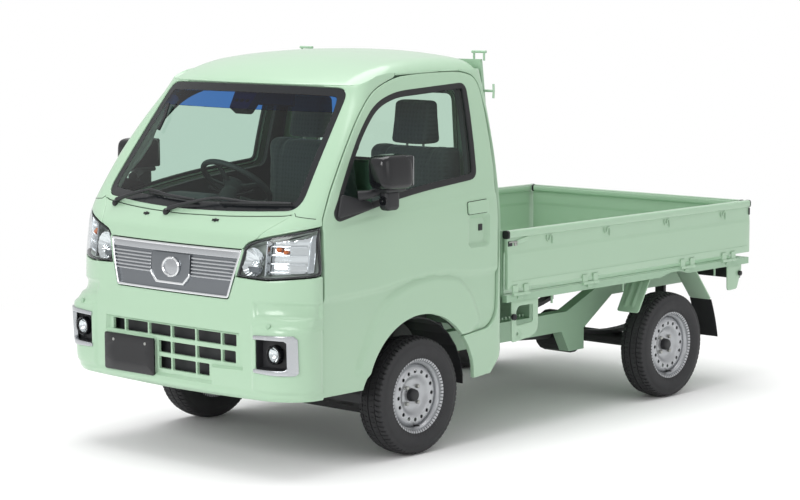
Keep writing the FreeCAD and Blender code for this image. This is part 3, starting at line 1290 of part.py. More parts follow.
def mirrors():
    sx, sy, sz = MIRROR_SIZE
    arm_low = cab_z(MIRROR_ARM_SHARE)
    middle_z = arm_low + MIRROR_RISE
    centre = (MIRROR_X, MIRROR_Y, middle_z)
    housing = centred_box(centre, MIRROR_SIZE)
    upright = [edge for edge in housing.Edges if edge.BoundBox.ZLength > sz - MIRROR_RADIUS]
    housing = housing.makeFillet(MIRROR_RADIUS, upright)
    lobe_z = middle_z - sz / 2 - MIRROR_LOBE[2] / 2 + MIRROR_RADIUS
    lobe = centred_box((MIRROR_X, MIRROR_Y, lobe_z), MIRROR_LOBE)
    points = side_points(MIRROR_BASE_SHARES)
    outer_x = HALF_WIDTH + MIRROR_BASE_DEPTH
    base = prism_x(points, 0, outer_x)
    grown_skin = cab_volume(-SEAT_GAP, 0, 0, 0)
    base = base.cut(grown_skin)
    arm_y = MIRROR_Y - MIRROR_ARM
    arm = box(outer_x - MIRROR_BASE_DEPTH, MIRROR_X, arm_y - MIRROR_ARM / 2, arm_y + MIRROR_ARM / 2,
              arm_low, arm_low + MIRROR_ARM)
    mirror = housing.fuse(lobe).fuse(base).fuse(arm)
    write("mirror_left", mirror.Solids)
    write("mirror_right", [mirrored(solid) for solid in mirror.Solids])


def screen_point(across, up, proud):
    # A point at the given standoff in front of the windscreen or the cowl
    rows = CAB_LEVEL_SHARES
    below = max(row for row in rows if row[0] <= up)
    above = min(row for row in rows if row[0] > up)
    blend = (up - below[0]) / (above[0] - below[0])
    middle, edge_half, edge_back = [low + (high - low) * blend for low, high in zip(below[1:4], above[1:4])]
    bow = (across / edge_half) ** 2
    share = middle + (edge_back - middle) * bow
    return vec(across * HALF_WIDTH, cab_y(share) - proud, cab_z(up))


def bar(start, end, width):
    # Square bar from one point to another, with its section set square to the run
    run = end - start
    across = run.cross(vec(0, -1, 0))
    across.normalize()
    normal = run.cross(across)
    normal.normalize()
    half = width / 2
    corners = [start + across * half + normal * half, start - across * half + normal * half,
               start - across * half - normal * half, start + across * half - normal * half]
    return plate(polygon(corners), run)


def wipers():
    solids = []
    skin = cab_volume(-SEAT_GAP, -SEAT_GAP, 0, -SEAT_GAP)
    for pivot, elbow, blade in zip(WIPER_PIVOT_SHARES, WIPER_ELBOW_SHARES, WIPER_BLADE_SHARES):
        stem_end = screen_point(pivot[0], pivot[1], WIPER_STANDOFF)
        stem_start = screen_point(pivot[0], pivot[1], -WIPER_STEM_RADIUS)
        stem_run = vec(0, -WIPER_STANDOFF - WIPER_WIDTH - WIPER_STEM_RADIUS, 0)
        stem = rod(stem_start, stem_run, WIPER_STEM_RADIUS, BARREL_SIDES)
        elbow_point = screen_point(elbow[0], elbow[1], WIPER_STANDOFF)
        arm = bar(stem_end, elbow_point, WIPER_WIDTH)
        tips = [screen_point(tip[0], tip[1], WIPER_STANDOFF) for tip in blade]
        blade_bar = bar(tips[0], tips[1], WIPER_WIDTH)
        joint = bar(elbow_point, tips[0] + (tips[1] - tips[0]) * WIPER_JOINT_SHARE, WIPER_WIDTH)
        wiper = stem.fuse(arm).fuse(blade_bar).fuse(joint).cut(skin)
        solids += wiper.Solids
    write("wipers", solids)


os.makedirs("parts", exist_ok=True)
cab = Cab()
cab_panels(cab)
front_details(cab)
windows(cab)
doors(cab)
cab_floor()
interior()
wheels()
frame()
bed_front, bed_rear = bed()
brackets(bed_front, bed_rear)
running_gear()
power_unit()
mirrors()
wipers()
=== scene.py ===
import functools
import json
import logging
import math
from dataclasses import dataclass
from enum import Enum
from typing import Callable, Iterable, Protocol, Sequence

import bpy
import numpy as np
from mathutils import Matrix, Vector
from mathutils.geometry import delaunay_2d_cdt

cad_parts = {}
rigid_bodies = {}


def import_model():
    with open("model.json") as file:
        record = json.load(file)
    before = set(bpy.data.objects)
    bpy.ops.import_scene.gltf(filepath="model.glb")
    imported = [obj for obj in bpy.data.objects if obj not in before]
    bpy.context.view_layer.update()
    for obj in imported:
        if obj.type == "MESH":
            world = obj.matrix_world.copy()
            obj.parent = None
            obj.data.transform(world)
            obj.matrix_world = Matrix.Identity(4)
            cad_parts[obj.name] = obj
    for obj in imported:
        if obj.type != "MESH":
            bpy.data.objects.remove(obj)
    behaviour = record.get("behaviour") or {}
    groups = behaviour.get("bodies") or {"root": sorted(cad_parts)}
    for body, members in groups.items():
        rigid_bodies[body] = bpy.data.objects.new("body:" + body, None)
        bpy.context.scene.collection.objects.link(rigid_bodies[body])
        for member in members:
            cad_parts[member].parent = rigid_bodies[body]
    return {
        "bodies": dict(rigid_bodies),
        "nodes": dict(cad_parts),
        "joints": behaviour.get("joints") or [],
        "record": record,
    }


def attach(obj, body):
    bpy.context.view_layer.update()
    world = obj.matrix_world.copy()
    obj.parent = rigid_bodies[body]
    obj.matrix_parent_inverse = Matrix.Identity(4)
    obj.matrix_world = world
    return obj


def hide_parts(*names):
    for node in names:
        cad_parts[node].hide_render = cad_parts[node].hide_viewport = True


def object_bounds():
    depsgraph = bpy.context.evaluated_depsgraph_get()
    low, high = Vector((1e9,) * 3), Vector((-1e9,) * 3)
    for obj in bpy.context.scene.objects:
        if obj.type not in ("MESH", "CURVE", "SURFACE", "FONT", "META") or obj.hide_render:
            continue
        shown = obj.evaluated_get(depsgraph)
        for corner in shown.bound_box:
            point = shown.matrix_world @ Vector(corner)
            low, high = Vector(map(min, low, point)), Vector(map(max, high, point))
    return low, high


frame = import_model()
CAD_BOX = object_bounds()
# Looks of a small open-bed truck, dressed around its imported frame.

Array = np.ndarray
LOG = logging.getLogger("truck")

# Driving sizes in metres: X to the vehicle's left, Y to its rear, Z up.
HALF_WIDTH = float(CAD_BOX[1].x) - 0.1325
NOSE_Y = float(CAD_BOX[0].y)
TAIL_Y = float(CAD_BOX[1].y)
ROOF_Z = 1.776
CAB_LENGTH = 1.390
CAB_REAR_Y = NOSE_Y + CAB_LENGTH
AXLE_Z = 0.264
FRONT_AXLE_Y = NOSE_Y + 0.830
REAR_AXLE_Y = FRONT_AXLE_Y + 1.900
ARCH_RADIUS = 0.358


class Body(Enum):
    """Moving bodies of the frame that pieces ride on."""

    CHASSIS = "chassis"
    STEERING = "steering_wheel"
    DOOR_LEFT = "door_left"
    DOOR_RIGHT = "door_right"
    GATE_LEFT = "gate_left"
    GATE_RIGHT = "gate_right"
    TAILGATE = "tailgate"


class Side(Enum):
    """The two sides of the truck, as the sign of X."""

    LEFT = 1
    RIGHT = -1


# Finishes


def linear(colour: str) -> tuple[float, float, float, float]:
    """Turns an sRGB hex colour to linear light.

    Args:
        colour: Six hex digits after a hash.

    Returns:
        Red, green, blue and full alpha, as a shader socket takes them.
    """
    parts = [int(colour[i : i + 2], 16) / 255 for i in (1, 3, 5)]
    curve = [c / 12.92 if c <= 0.04045 else ((c + 0.055) / 1.055) ** 2.4 for c in parts]
    return (*curve, 1.0)


def add(tree: bpy.types.NodeTree, kind: str, inputs: dict, **settings) -> bpy.types.Node:
    """Adds one node with its settings, values and links.

    Args:
        tree: The node tree that takes it.
        kind: The node's type name.
        inputs: Socket name or number to a value or to an output socket.
        **settings: Attributes of the node.

    Returns:
        The new node.
    """
    node = tree.nodes.new(kind)
    for name, value in settings.items():
        setattr(node, name, value)
    for name, value in inputs.items():
        if isinstance(value, bpy.types.NodeSocket):
            tree.links.new(value, node.inputs[name])
        else:
            node.inputs[name].default_value = value
    return node


def object_space(tree: bpy.types.NodeTree) -> bpy.types.NodeSocket:
    """Object coordinates, in metres."""
    return add(tree, "ShaderNodeTexCoord", {}).outputs["Object"]


@dataclass(frozen=True)
class Surface:
    """What all finishes share: a name, a colour, and a material that is made once."""

    name: str
    colour: str

    def material(self) -> bpy.types.Material:
        """The node material, built when it is first asked for."""
        found = bpy.data.materials.get(self.name)
        if found:
            return found
        material = bpy.data.materials.new(self.name)
        material.use_nodes = True
        tree = material.node_tree
        tree.nodes.clear()
        add(tree, "ShaderNodeOutputMaterial", {"Surface": self.shader(tree).outputs[0]})
        return material

    def shader(self, tree: bpy.types.NodeTree) -> bpy.types.Node:
        """Adds the finish's nodes and gives the last one."""
        raise NotImplementedError

    def shaded(self, share: float) -> tuple[float, float, float, float]:
        """The colour in linear light, times a share, at most 1."""
        return tuple(min(1.0, c * share) for c in linear(self.colour)[:3]) + (1.0,)


@dataclass(frozen=True)
class Finish(Surface):
    """A solid finish: colour with slow drift, fine grain in the relief, and gloss.

    The colour drifts by noise of drift_mm, the relief is noise of grain_mm and
    grain_um high, and the gloss drifts with the same slow noise.
    """

    roughness: float = 0.4
    metallic: float = 0.0
    drift: float = 0.04
    drift_mm: float = 300.0
    grain_mm: float = 1.5
    grain_um: float = 20.0
    coat: float = 0.0

    def shader(self, tree: bpy.types.NodeTree) -> bpy.types.Node:
        """Adds noise for colour, gloss and relief to one shader."""
        place = object_space(tree)
        slow = add(tree, "ShaderNodeTexNoise", {"Vector": place, "Scale": 1000 / self.drift_mm,
                                                "Detail": 3.0})
        fine = add(tree, "ShaderNodeTexNoise", {"Vector": place, "Scale": 1000 / self.grain_mm,
                                                "Detail": 2.0})
        tint = add(tree, "ShaderNodeMix", {0: slow.outputs["Fac"], 6: self.shaded(1 - self.drift),
                                           7: self.shaded(1 + self.drift)}, data_type="RGBA")
        gloss = add(tree, "ShaderNodeMapRange", {0: slow.outputs["Fac"], 3: self.roughness * 0.85,
                                                 4: self.roughness * 1.15})
        relief = add(tree, "ShaderNodeBump", {"Height": fine.outputs["Fac"], "Strength": 1.0,
                                              "Distance": self.grain_um * 1e-6})
        return add(tree, "ShaderNodeBsdfPrincipled", {
            "Base Color": tint.outputs[2], "Roughness": gloss.outputs[0], "Metallic": self.metallic,
            "Coat Weight": self.coat, "Coat Roughness": 0.04, "Specular IOR Level": 0.5,
            "Normal": relief.outputs["Normal"]})


@dataclass(frozen=True)
class Glass(Surface):
    """Sheet glass or clear moulding: what passes is tinted, what glances off is bright."""

    roughness: float = 0.015

    def shader(self, tree: bpy.types.NodeTree) -> bpy.types.Node:
        """Mixes a tinted clear part with a glossy one over a faint ripple.

        The share of gloss is 0.04 + 0.96 (1 - cos a)^5, the same from both sides
        of the sheet, as for a pane with two faces.

        Args:
            tree: The material's node tree.

        Returns:
            The mixing node.
        """
        ripple = add(tree, "ShaderNodeTexNoise", {"Vector": object_space(tree), "Scale": 9.0, "Detail": 1.0})
        relief = add(tree, "ShaderNodeBump", {"Height": ripple.outputs["Fac"], "Strength": 0.15,
                                              "Distance": 0.0004})
        clear = add(tree, "ShaderNodeBsdfTransparent", {"Color": linear(self.colour)})
        gloss = add(tree, "ShaderNodeBsdfGlossy", {"Roughness": self.roughness,
                                                   "Normal": relief.outputs["Normal"]})
        facing = add(tree, "ShaderNodeLayerWeight", {"Blend": 0.5})
        raised = add(tree, "ShaderNodeMath", {0: facing.outputs["Facing"], 1: 5.0}, operation="POWER")
        glance = add(tree, "ShaderNodeMath", {0: raised.outputs[0], 1: 0.96, 2: 0.04},
                     operation="MULTIPLY_ADD")
        return add(tree, "ShaderNodeMixShader", {0: glance.outputs[0], 1: clear.outputs[0],
                                                 2: gloss.outputs[0]})


@dataclass(frozen=True)
class Weave(Surface):
    """Woven seat cloth: warp and weft threads as two crossed wave patterns."""

    thread_mm: float = 3.0

    def shader(self, tree: bpy.types.NodeTree) -> bpy.types.Node:
        """Adds the two waves' sum to the colour and relief of a dull cloth."""
        waves = [add(tree, "ShaderNodeTexWave", {"Vector": object_space(tree), "Scale": 50 / self.thread_mm,
                                                 "Distortion": 0.4}, bands_direction=axis).outputs["Fac"]
                 for axis in "XZ"]
        cloth = add(tree, "ShaderNodeMath", {0: waves[0], 1: waves[1]}, operation="ADD")
        tint = add(tree, "ShaderNodeMix", {0: cloth.outputs[0], 6: self.shaded(0.75), 7: self.shaded(1.0)},
                   data_type="RGBA")
        relief = add(tree, "ShaderNodeBump", {"Height": cloth.outputs[0], "Strength": 0.6,
                                              "Distance": 0.0006})
        return add(tree, "ShaderNodeBsdfPrincipled", {"Base Color": tint.outputs[2], "Roughness": 0.9,
                                                      "Sheen Weight": 0.3, "Normal": relief.outputs["Normal"]})


# Stove enamel on pressed steel: level film under gloss, faint orange peel.
ENAMEL = Finish("stove_enamel_green", "#A1BFA4", 0.30, 0.0, 0.015, 500.0, 6.0, 6.0, 0.4)
# The same enamel, duller and a little darker: the darker tone is painted shade inside folds and on the frame.
DULL_SHADED_ENAMEL = Finish("frame_enamel_green", "#96B59A", 0.45, 0.0, 0.05, 160.0, 3.0, 20.0, 0.1)
# Black butyl rubber, extruded: soft dull sheen.
RUBBER = Finish("extruded_rubber", "#17181A", 0.62, 0.0, 0.08, 60.0, 0.8, 25.0)
# Tread rubber, moulded and brushed: a grey bloom that drifts at random.
TREAD = Finish("tyre_rubber", "#2A2A2C", 0.72, 0.0, 0.12, 40.0, 2.0, 60.0)
# ABS moulded with a fine spark grain.
MATT_BLACK = Finish("moulded_black_abs", "#1C1D20", 0.50, 0.0, 0.05, 90.0, 0.7, 30.0)
# ABS off a polished tool.
GLOSS_BLACK = Finish("polished_black_abs", "#101114", 0.16, 0.0, 0.03, 90.0, 3.0, 4.0)
# Ceramic frit baked on the glass edge.
FRIT = Finish("ceramic_frit", "#14171A", 0.25, 0.0, 0.03, 80.0, 1.0, 4.0)
# Gap shade: what is seen in a shut line.
SHADE = Finish("seam_shade", "#0B0C0C", 0.85, 0.0, 0.02, 80.0, 1.0, 4.0)
# Chrome plate on ABS, bright.
CHROME = Finish("bright_chrome_plate", "#E4E6E8", 0.07, 1.0, 0.01, 90.0, 4.0, 3.0)
# Satin chrome plate, from a blasted tool.
SATIN = Finish("satin_chrome_plate", "#B9BCBF", 0.26, 1.0, 0.03, 120.0, 1.2, 6.0)
# Darker satin field behind the bars.
SMOKE = Finish("smoked_satin_plate", "#7C8084", 0.34, 1.0, 0.03, 120.0, 1.2, 8.0)
# Silver wheel paint: metal flake under thin clear coat.
WHEEL_SILVER = Finish("silver_wheel_paint", "#AEB0B3", 0.34, 0.65, 0.04, 70.0, 0.8, 12.0, 0.2)
# Zinc plated fasteners, slightly yellow.
ZINC = Finish("zinc_plate", "#A9AAA6", 0.38, 0.9, 0.08, 12.0, 1.0, 20.0)
# Polished reflector bowl, vacuum metallised.
REFLECTOR = Finish("metallised_reflector", "#EDEFF0", 0.10, 1.0, 0.02, 40.0, 2.0, 5.0)
# Grained polypropylene of the cabin.
CABIN = Finish("grained_cabin_plastic", "#3B4041", 0.62, 0.0, 0.05, 90.0, 1.2, 60.0)
# Paler grained polypropylene of shelves and pillar trims.
CABIN_PALE = Finish("pale_cabin_plastic", "#BAC3BB", 0.60, 0.0, 0.04, 90.0, 1.2, 50.0)
# Chassis black over cast and forged steel.
CHASSIS_BLACK = Finish("chassis_black", "#1E1F20", 0.55, 0.0, 0.15, 50.0, 4.0, 120.0)
# Cast iron and alloy of the engine, as cast.
CASTING = Finish("sand_cast_metal", "#5A5B5B", 0.62, 0.6, 0.12, 40.0, 2.5, 150.0)
# Rolled exhaust steel, heat dulled.
EXHAUST = Finish("heat_dulled_steel", "#6E6259", 0.50, 0.8, 0.18, 50.0, 1.5, 40.0)
# Lacquer on the indicator bulbs.
AMBER = Finish("amber_bulb_lacquer", "#D06A1E", 0.20, 0.0, 0.02, 20.0, 2.0, 3.0, 0.4)
# Red moulded lens of the tail lamps.
RED_LENS = Finish("red_acrylic", "#8E1014", 0.14, 0.0, 0.04, 30.0, 2.0, 6.0, 0.5)
# Plain woven seat cover.
SEAT_CLOTH = Weave("woven_seat_cloth", "#4A5052", 3.2)
# Float glass with an iron-green body tint.
WINDOW = Glass("green_float_glass", "#D8E8DE")
SCREEN = Glass("laminated_screen_glass", "#D4E6DE")
# Shade band dyed in the interlayer.
SHADE_BAND = Glass("blue_shade_band", "#3F78C8")
# Polycarbonate lamp cover, hard coated.
LENS = Glass("hard_coated_polycarbonate", "#F2F5F6", 0.01)

SLOT_FINISHES = {
    "body_paint": DULL_SHADED_ENAMEL, "black_plastic": MATT_BLACK, "cabin_plastic": CABIN, "flap_rubber": RUBBER,
    "tyre": TREAD, "wheel_paint": WHEEL_SILVER, "running_gear": CHASSIS_BLACK, "engine_metal": CASTING,
    "exhaust_steel": EXHAUST, "tank_paint": CHASSIS_BLACK, "plate_blank": GLOSS_BLACK, "plated_trim": SATIN,
    "rear_lens": RED_LENS, "lamp_lens": LENS, "window_glass": WINDOW, "seat_fabric": SEAT_CLOTH,
}


# Outlines


def rounded(points: Sequence, radius: float | Sequence[float], steps: int = 7) -> Array:
    """Rounds the corners of a closed outline.

    Each corner C is replaced by the curve (1-t)^2 A + 2t(1-t) C + t^2 B, with A
    and B on the two sides, one radius from C but not past half of a side.

    Args:
        points: Corners of the outline, two numbers each.
        radius: One reach for all corners, or one for each.
        steps: Points on each rounded corner.

    Returns:
        The rounded outline's points.
    """
    corner = np.asarray(points, float)
    before, after = np.roll(corner, 1, 0) - corner, np.roll(corner, -1, 0) - corner
    long_before, long_after = np.linalg.norm(before, axis=1), np.linalg.norm(after, axis=1)
    reach = np.minimum(np.minimum(long_before, long_after) / 2, radius)[:, None]
    start, end = corner + before / long_before[:, None] * reach, corner + after / long_after[:, None] * reach
    t = np.linspace(0, 1, steps)[None, :, None]
    curve = (1 - t) ** 2 * start[:, None] + 2 * t * (1 - t) * corner[:, None] + t**2 * end[:, None]
    return curve.reshape(-1, 2)


def dense(points: Sequence, spacing: float, closed: bool = True) -> Array:
    """Divides each side of an outline into equal steps no longer than the spacing.

    Args:
        points: The outline's points.
        spacing: Longest step, in metres.
        closed: Whether the last point joins the first.

    Returns:
        Points P + (Q - P) k / n along each side.
    """
    start = np.asarray(points, float)
    end = np.roll(start, -1, 0)
    if not closed:
        start, end = start[:-1], end[:-1]
    length = np.linalg.norm(end - start, axis=1)
    start, end, length = start[length > 1e-7], end[length > 1e-7], length[length > 1e-7]
    count = np.maximum(1, np.ceil(length / spacing)).astype(int)
    index = np.repeat(np.arange(len(start)), count)
    first = np.repeat(np.cumsum(count) - count, count)
    share = ((np.arange(count.sum()) - first) / np.repeat(count, count))[:, None]
    made = start[index] + (end - start)[index] * share
    return made if closed else np.vstack([made, end[-1:]])


def area(loop: Array) -> float:
    """Signed area of a closed loop, half the sum of the cross products of its sides."""
    following = np.roll(loop, -1, 0)
    return float((loop[:, 0] * following[:, 1] - loop[:, 1] * following[:, 0]).sum() / 2)


def inset(loop: Array, distance: float) -> Array:
    """Moves a closed loop inwards, each point along the mitre of its two sides.

    Args:
        loop: The loop's points.
        distance: How far in, or out where it is below zero.

    Returns:
        The moved loop.
    """
    ahead = np.roll(loop, -1, 0) - loop
    ahead /= np.maximum(np.linalg.norm(ahead, axis=1), 1e-9)[:, None]
    normal = np.stack([-ahead[:, 1], ahead[:, 0]], 1) * (1 if area(loop) > 0 else -1)
    behind = np.roll(normal, 1, 0)
    mean = normal + behind
    scale = np.maximum(1 + (normal * behind).sum(1), 0.5)[:, None]
    return loop + mean / scale * distance


def distance_in(points: Array, loop: Array) -> Array:
    """Distance to a closed loop, positive inside and negative outside.

    The distance is the least over the loop's sides of the length from the point
    to the side. A point is inside where a level line from it crosses an odd
    number of sides.

    Args:
        points: Points, two numbers each.
        loop: The closed loop.

    Returns:
        One signed distance for each point.
    """
    start, end = loop, np.roll(loop, -1, 0)
    run = end - start
    squared = np.maximum((run**2).sum(1), 1e-14)
    found = []
    for block in np.array_split(points, max(1, len(points) * len(loop) // 2_000_000 + 1)):
        offset = block[:, None] - start[None]
        share = np.clip((offset * run).sum(2) / squared, 0, 1)
        nearest = np.sqrt(((offset - share[..., None] * run) ** 2).sum(2)).min(1)
        level = (start[None, :, 1] > block[:, None, 1]) != (end[None, :, 1] > block[:, None, 1])
        rise = np.where(np.abs(run[:, 1]) < 1e-12, 1e-12, run[:, 1])
        crossing = start[None, :, 0] + run[None, :, 0] * (block[:, None, 1] - start[None, :, 1]) / rise
        inside = (level & (block[:, None, 0] < crossing)).sum(1) % 2 == 1
        found.append(np.where(inside, nearest, -nearest))
    return np.concatenate(found)


def smooth_step(value: Array, low: float, high: float) -> Array:
    """The curve 3t^2 - 2t^3 of t, which goes from 0 at low to 1 at high."""
    t = np.clip((value - low) / (high - low), 0, 1)
    return t * t * (3 - 2 * t)


def anticlockwise(loop: Array) -> Array:
    """The loop, turned round if it runs clockwise."""
    return loop if area(loop) > 0 else loop[::-1]


def apart(loop: Array, least: float = 1e-3) -> Array:
    """The loop without the points that lie closer than least to the next."""
    return loop[np.linalg.norm(np.roll(loop, -1, 0) - loop, axis=1) > least]


def circle(count: int, radius: float | Sequence[float] = 1.0) -> Array:
    """Points even round a circle, or an ellipse of two radii, about the origin."""
    angle = np.linspace(0, 2 * np.pi, count, endpoint=False)
    return np.stack([np.cos(angle), np.sin(angle)], 1) * radius


def smoothed(line: Array, width: int) -> Array:
    """The line with each point the mean of the width points about it."""
    weight = np.ones(width) / width
    return np.stack([np.convolve(np.pad(row, width // 2, "edge"), weight, "valid") for row in line.T], 1)


def ribbing(pitch: float, height: float, axis: int = 1) -> Callable[[Array, Array], Array]:
    """Relief of height times the cosine of 2 pi w / pitch, w being u or v.

    Args:
        pitch: Distance between two ribs.
        height: Their height about the middle.
        axis: 0 for u and 1 for v.

    Returns:
        The depth as a function of u and v.
    """

    def relief(u: Array, v: Array) -> Array:
        """The depth at each point."""
        return height * np.cos((u, v)[axis] / pitch * 2 * np.pi)

    return relief


def mirrored_outline(half: Sequence) -> Array:
    """An outline from its half with x at or above 0, closed by its mirror image."""
    points = np.asarray(half, float)
    return np.vstack([points, points[::-1] * [-1, 1]])


# Shells


@dataclass
class Shell:
    """Points and faces of a surface, before it is a mesh."""

    points: Array
    faces: list[Array]

    def moved(self, offset: Sequence[float]) -> "Shell":
        """The shell shifted by an offset."""
        return Shell(self.points + np.asarray(offset, float), self.faces)

    def flipped(self, side: Side = Side.RIGHT) -> "Shell":
        """The shell on the other side of the truck, with its faces turned back out."""
        if side is Side.LEFT:
            return self
        return Shell(self.points * [-1, 1, 1], [face[:, ::-1] for face in self.faces])

    def turned_over(self) -> "Shell":
        """The shell with its faces the other way round."""
        return Shell(self.points, [face[:, ::-1] for face in self.faces])


def joined(shells: Iterable[Shell]) -> Shell:
    """Puts several shells into one.

    Args:
        shells: The shells to join.

    Returns:
        One shell with all points and faces.
    """
    points, faces, start = [], [], 0
    for shell in shells:
        points.append(shell.points)
        faces += [face + start for face in shell.faces]
        start += len(shell.points)
    return Shell(np.vstack(points), faces)


def grid(points: Array, closed_u: bool = False, closed_v: bool = False) -> Shell:
    """Faces over a grid of points.

    Face (i, j) joins points (i, j), (i, j+1), (i+1, j+1) and (i+1, j).

    Args:
        points: Rows by columns by 3.
        closed_u: Whether the last row joins the first.
        closed_v: Whether the last column joins the first.

    Returns:
        The surface.
    """
    rows, columns = points.shape[:2]
    index = np.arange(rows * columns).reshape(rows, columns)
    if closed_u:
        index = np.vstack([index, index[:1]])
    if closed_v:
        index = np.hstack([index, index[:, :1]])
    quads = np.stack([index[:-1, :-1], index[:-1, 1:], index[1:, 1:], index[1:, :-1]], -1).reshape(-1, 4)
    return Shell(points.reshape(-1, 3), [quads])


def fan(loop: Array, outwards: bool = True) -> Shell:
    """Closes a loop of points with a fan about their middle."""
    count = len(loop)
    index = np.arange(count)
    faces = np.stack([index, np.roll(index, -1), np.full(count, count)], 1)
    shell = Shell(np.vstack([loop, loop.mean(0)]), [faces])
    return shell if outwards else shell.turned_over()


def tube(path: Array, radius: float | Array, sides: int = 12, closed: bool = False) -> Shell:
    """Round bar along a path.

    Each ring is path + radius (cos a, sin a) in the plane square to the run, the
    two directions carried from one level reference, and the ends are closed.

    Args:
        path: Points of the middle line.
        radius: One radius, or one for each point.
        sides: Sides of the ring.
        closed: Whether the path joins itself.

    Returns:
        The tube.
    """
    path = np.asarray(path, float)
    run = np.roll(path, -1, 0) - np.roll(path, 1, 0) if closed else np.gradient(path, axis=0)
    run /= np.linalg.norm(run, axis=1)[:, None]
    guide = np.array([0.13, 0.21, 0.97]) if abs(run[:, 2]).max() < 0.9 else np.array([0.97, 0.21, 0.13])
    first = np.cross(run, guide)
    first /= np.linalg.norm(first, axis=1)[:, None]
    second = np.cross(run, first)
    angle = np.linspace(0, 2 * np.pi, sides, endpoint=False)
    reach = np.broadcast_to(np.asarray(radius, float), (len(path),))[:, None, None]
    ring = first[:, None] * np.cos(angle)[None, :, None] + second[:, None] * np.sin(angle)[None, :, None]
    points = path[:, None] + ring * reach
    side = grid(points, closed_u=closed, closed_v=True).turned_over()
    if closed:
        return side
    return joined([side, fan(points[0], True), fan(points[-1], False)])


def swept(section: Sequence, places: Array, across: Array, upwards: Array,
          closed_section: bool = True) -> Shell:
    """A flat section carried along a path and closed at both ends.

    Point (i, j) is places[i] + across[i] * section[j, 0] + upwards[i] * section[j, 1].

    Args:
        section: Points of the section, two numbers each, anticlockwise.
        places: Points of the path.
        across: Direction of the section's first number at each point.
        upwards: Direction of its second number.
        closed_section: Whether the section is a closed loop.

    Returns:
        The swept shell.
    """
    flat = np.asarray(section, float)
    places = np.asarray(places, float)
    across = np.broadcast_to(np.asarray(across, float), places.shape)
    upwards = np.broadcast_to(np.asarray(upwards, float), places.shape)
    points = places[:, None] + across[:, None] * flat[None, :, :1] + upwards[:, None] * flat[None, :, 1:]
    side = grid(points, closed_v=closed_section)
    if not closed_section:
        return side
    return joined([side, fan(points[0], False), fan(points[-1], True)])


def turned(profile: Sequence, sides: int, axis: str = "x") -> Shell:
    """A profile of (along, radius) points turned about an axis through the origin.

    Point (i, j) is (a_j, r_j sin t_i, r_j cos t_i), with t_i even round the circle.

    Args:
        profile: Pairs of length along the axis and radius.
        sides: Steps round the circle.
        axis: x, y or z.

    Returns:
        The turned surface, open where the profile is open.
    """
    flat = np.asarray(profile, float)
    angle = np.linspace(0, 2 * np.pi, sides, endpoint=False)[:, None]
    along = np.broadcast_to(flat[None, :, 0], (sides, len(flat)))
    first, second = flat[None, :, 1] * np.sin(angle), flat[None, :, 1] * np.cos(angle)
    order = {"x": (along, first, second), "y": (first, along, second), "z": (second, first, along)}[axis]
    return grid(np.stack(order, -1), closed_u=True)


def block(low: Sequence[float], high: Sequence[float], radius: float) -> Shell:
    """A box with rounded edges.

    Each face's grid point P, clamped to the inner box that is one radius
    smaller, is C, and the surface is C + radius (P - C) / |P - C|.

    Args:
        low: Lowest corner.
        high: Highest corner.
        radius: Radius of all its edges.

    Returns:
        The closed shell.
    """
    low, high = np.asarray(low, float), np.asarray(high, float)
    radius = min(radius, float((high - low).min()) / 2 * 0.999)
    share = np.array([0.0, 0.25, 0.5, 0.75, 1.0])
    shells = []
    steps = [np.concatenate([low[k] + radius * share, high[k] - radius * share[::-1]]) for k in range(3)]
    for k in range(3):
        a, b = (k + 1) % 3, (k + 2) % 3
        u, v = np.meshgrid(steps[a], steps[b], indexing="ij")
        for value, outwards in ((low[k], False), (high[k], True)):
            point = np.zeros(u.shape + (3,))
            point[..., a], point[..., b], point[..., k] = u, v, value
            core = np.clip(point, low + radius, high - radius)
            away = point - core
            point = core + away / np.maximum(np.linalg.norm(away, axis=-1), 1e-12)[..., None] * radius
            shell = grid(point)
            shells.append(shell.turned_over() if outwards else shell)
    return joined(shells)


class Chart(Protocol):
    """Carries flat coordinates onto a surface."""

    def place(self, u: Array, v: Array, depth: Array) -> Array:
        """Points at (u, v), sunk by depth below the surface."""


@dataclass(frozen=True)
class Plane:
    """A flat chart: corner + u * across + v * up - depth * (across x up)."""

    corner: tuple[float, float, float]
    across: tuple[float, float, float]
    up: tuple[float, float, float]

    def place(self, u: Array, v: Array, depth: Array) -> Array:
        """Points at (u, v), sunk by depth below the plane."""
        across, up = np.array(self.across, float), np.array(self.up, float)
        return (np.array(self.corner) + np.outer(u, across) + np.outer(v, up)
                - np.outer(np.broadcast_to(depth, np.shape(u)), np.cross(across, up)))


@dataclass(frozen=True)
class Border:
    """Turned-in border of a pressed sheet: a rounded edge, then a flange inwards."""

    radius: float = 0.003
    depth: float = 0.016
    rows: int = 3


@dataclass(frozen=True)
class Press:
    """An area pushed in, or out where depth is below zero, with sloping walls."""

    loop: Array
    depth: float
    slope: float
    soft: bool = False

    def sunk(self, u: Array, v: Array) -> Array:
        """Depth at (u, v): depth * t, t rising from 0 to 1 across the wall.

        Args:
            u: First coordinates.
            v: Second coordinates.

        Returns:
            The depths.
        """
        inside = distance_in(np.stack([u, v], 1), self.loop)
        if self.soft:
            return self.depth * smooth_step(inside, -self.slope / 2, self.slope / 2)
        return self.depth * np.clip(inside / self.slope + 0.5, 0, 1)

    def lines(self) -> list[Array]:
        """The wall's two edges and its middle, as constraint lines."""
        return [inset(self.loop, self.slope * share) for share in (-0.5, 0.0, 0.5)]


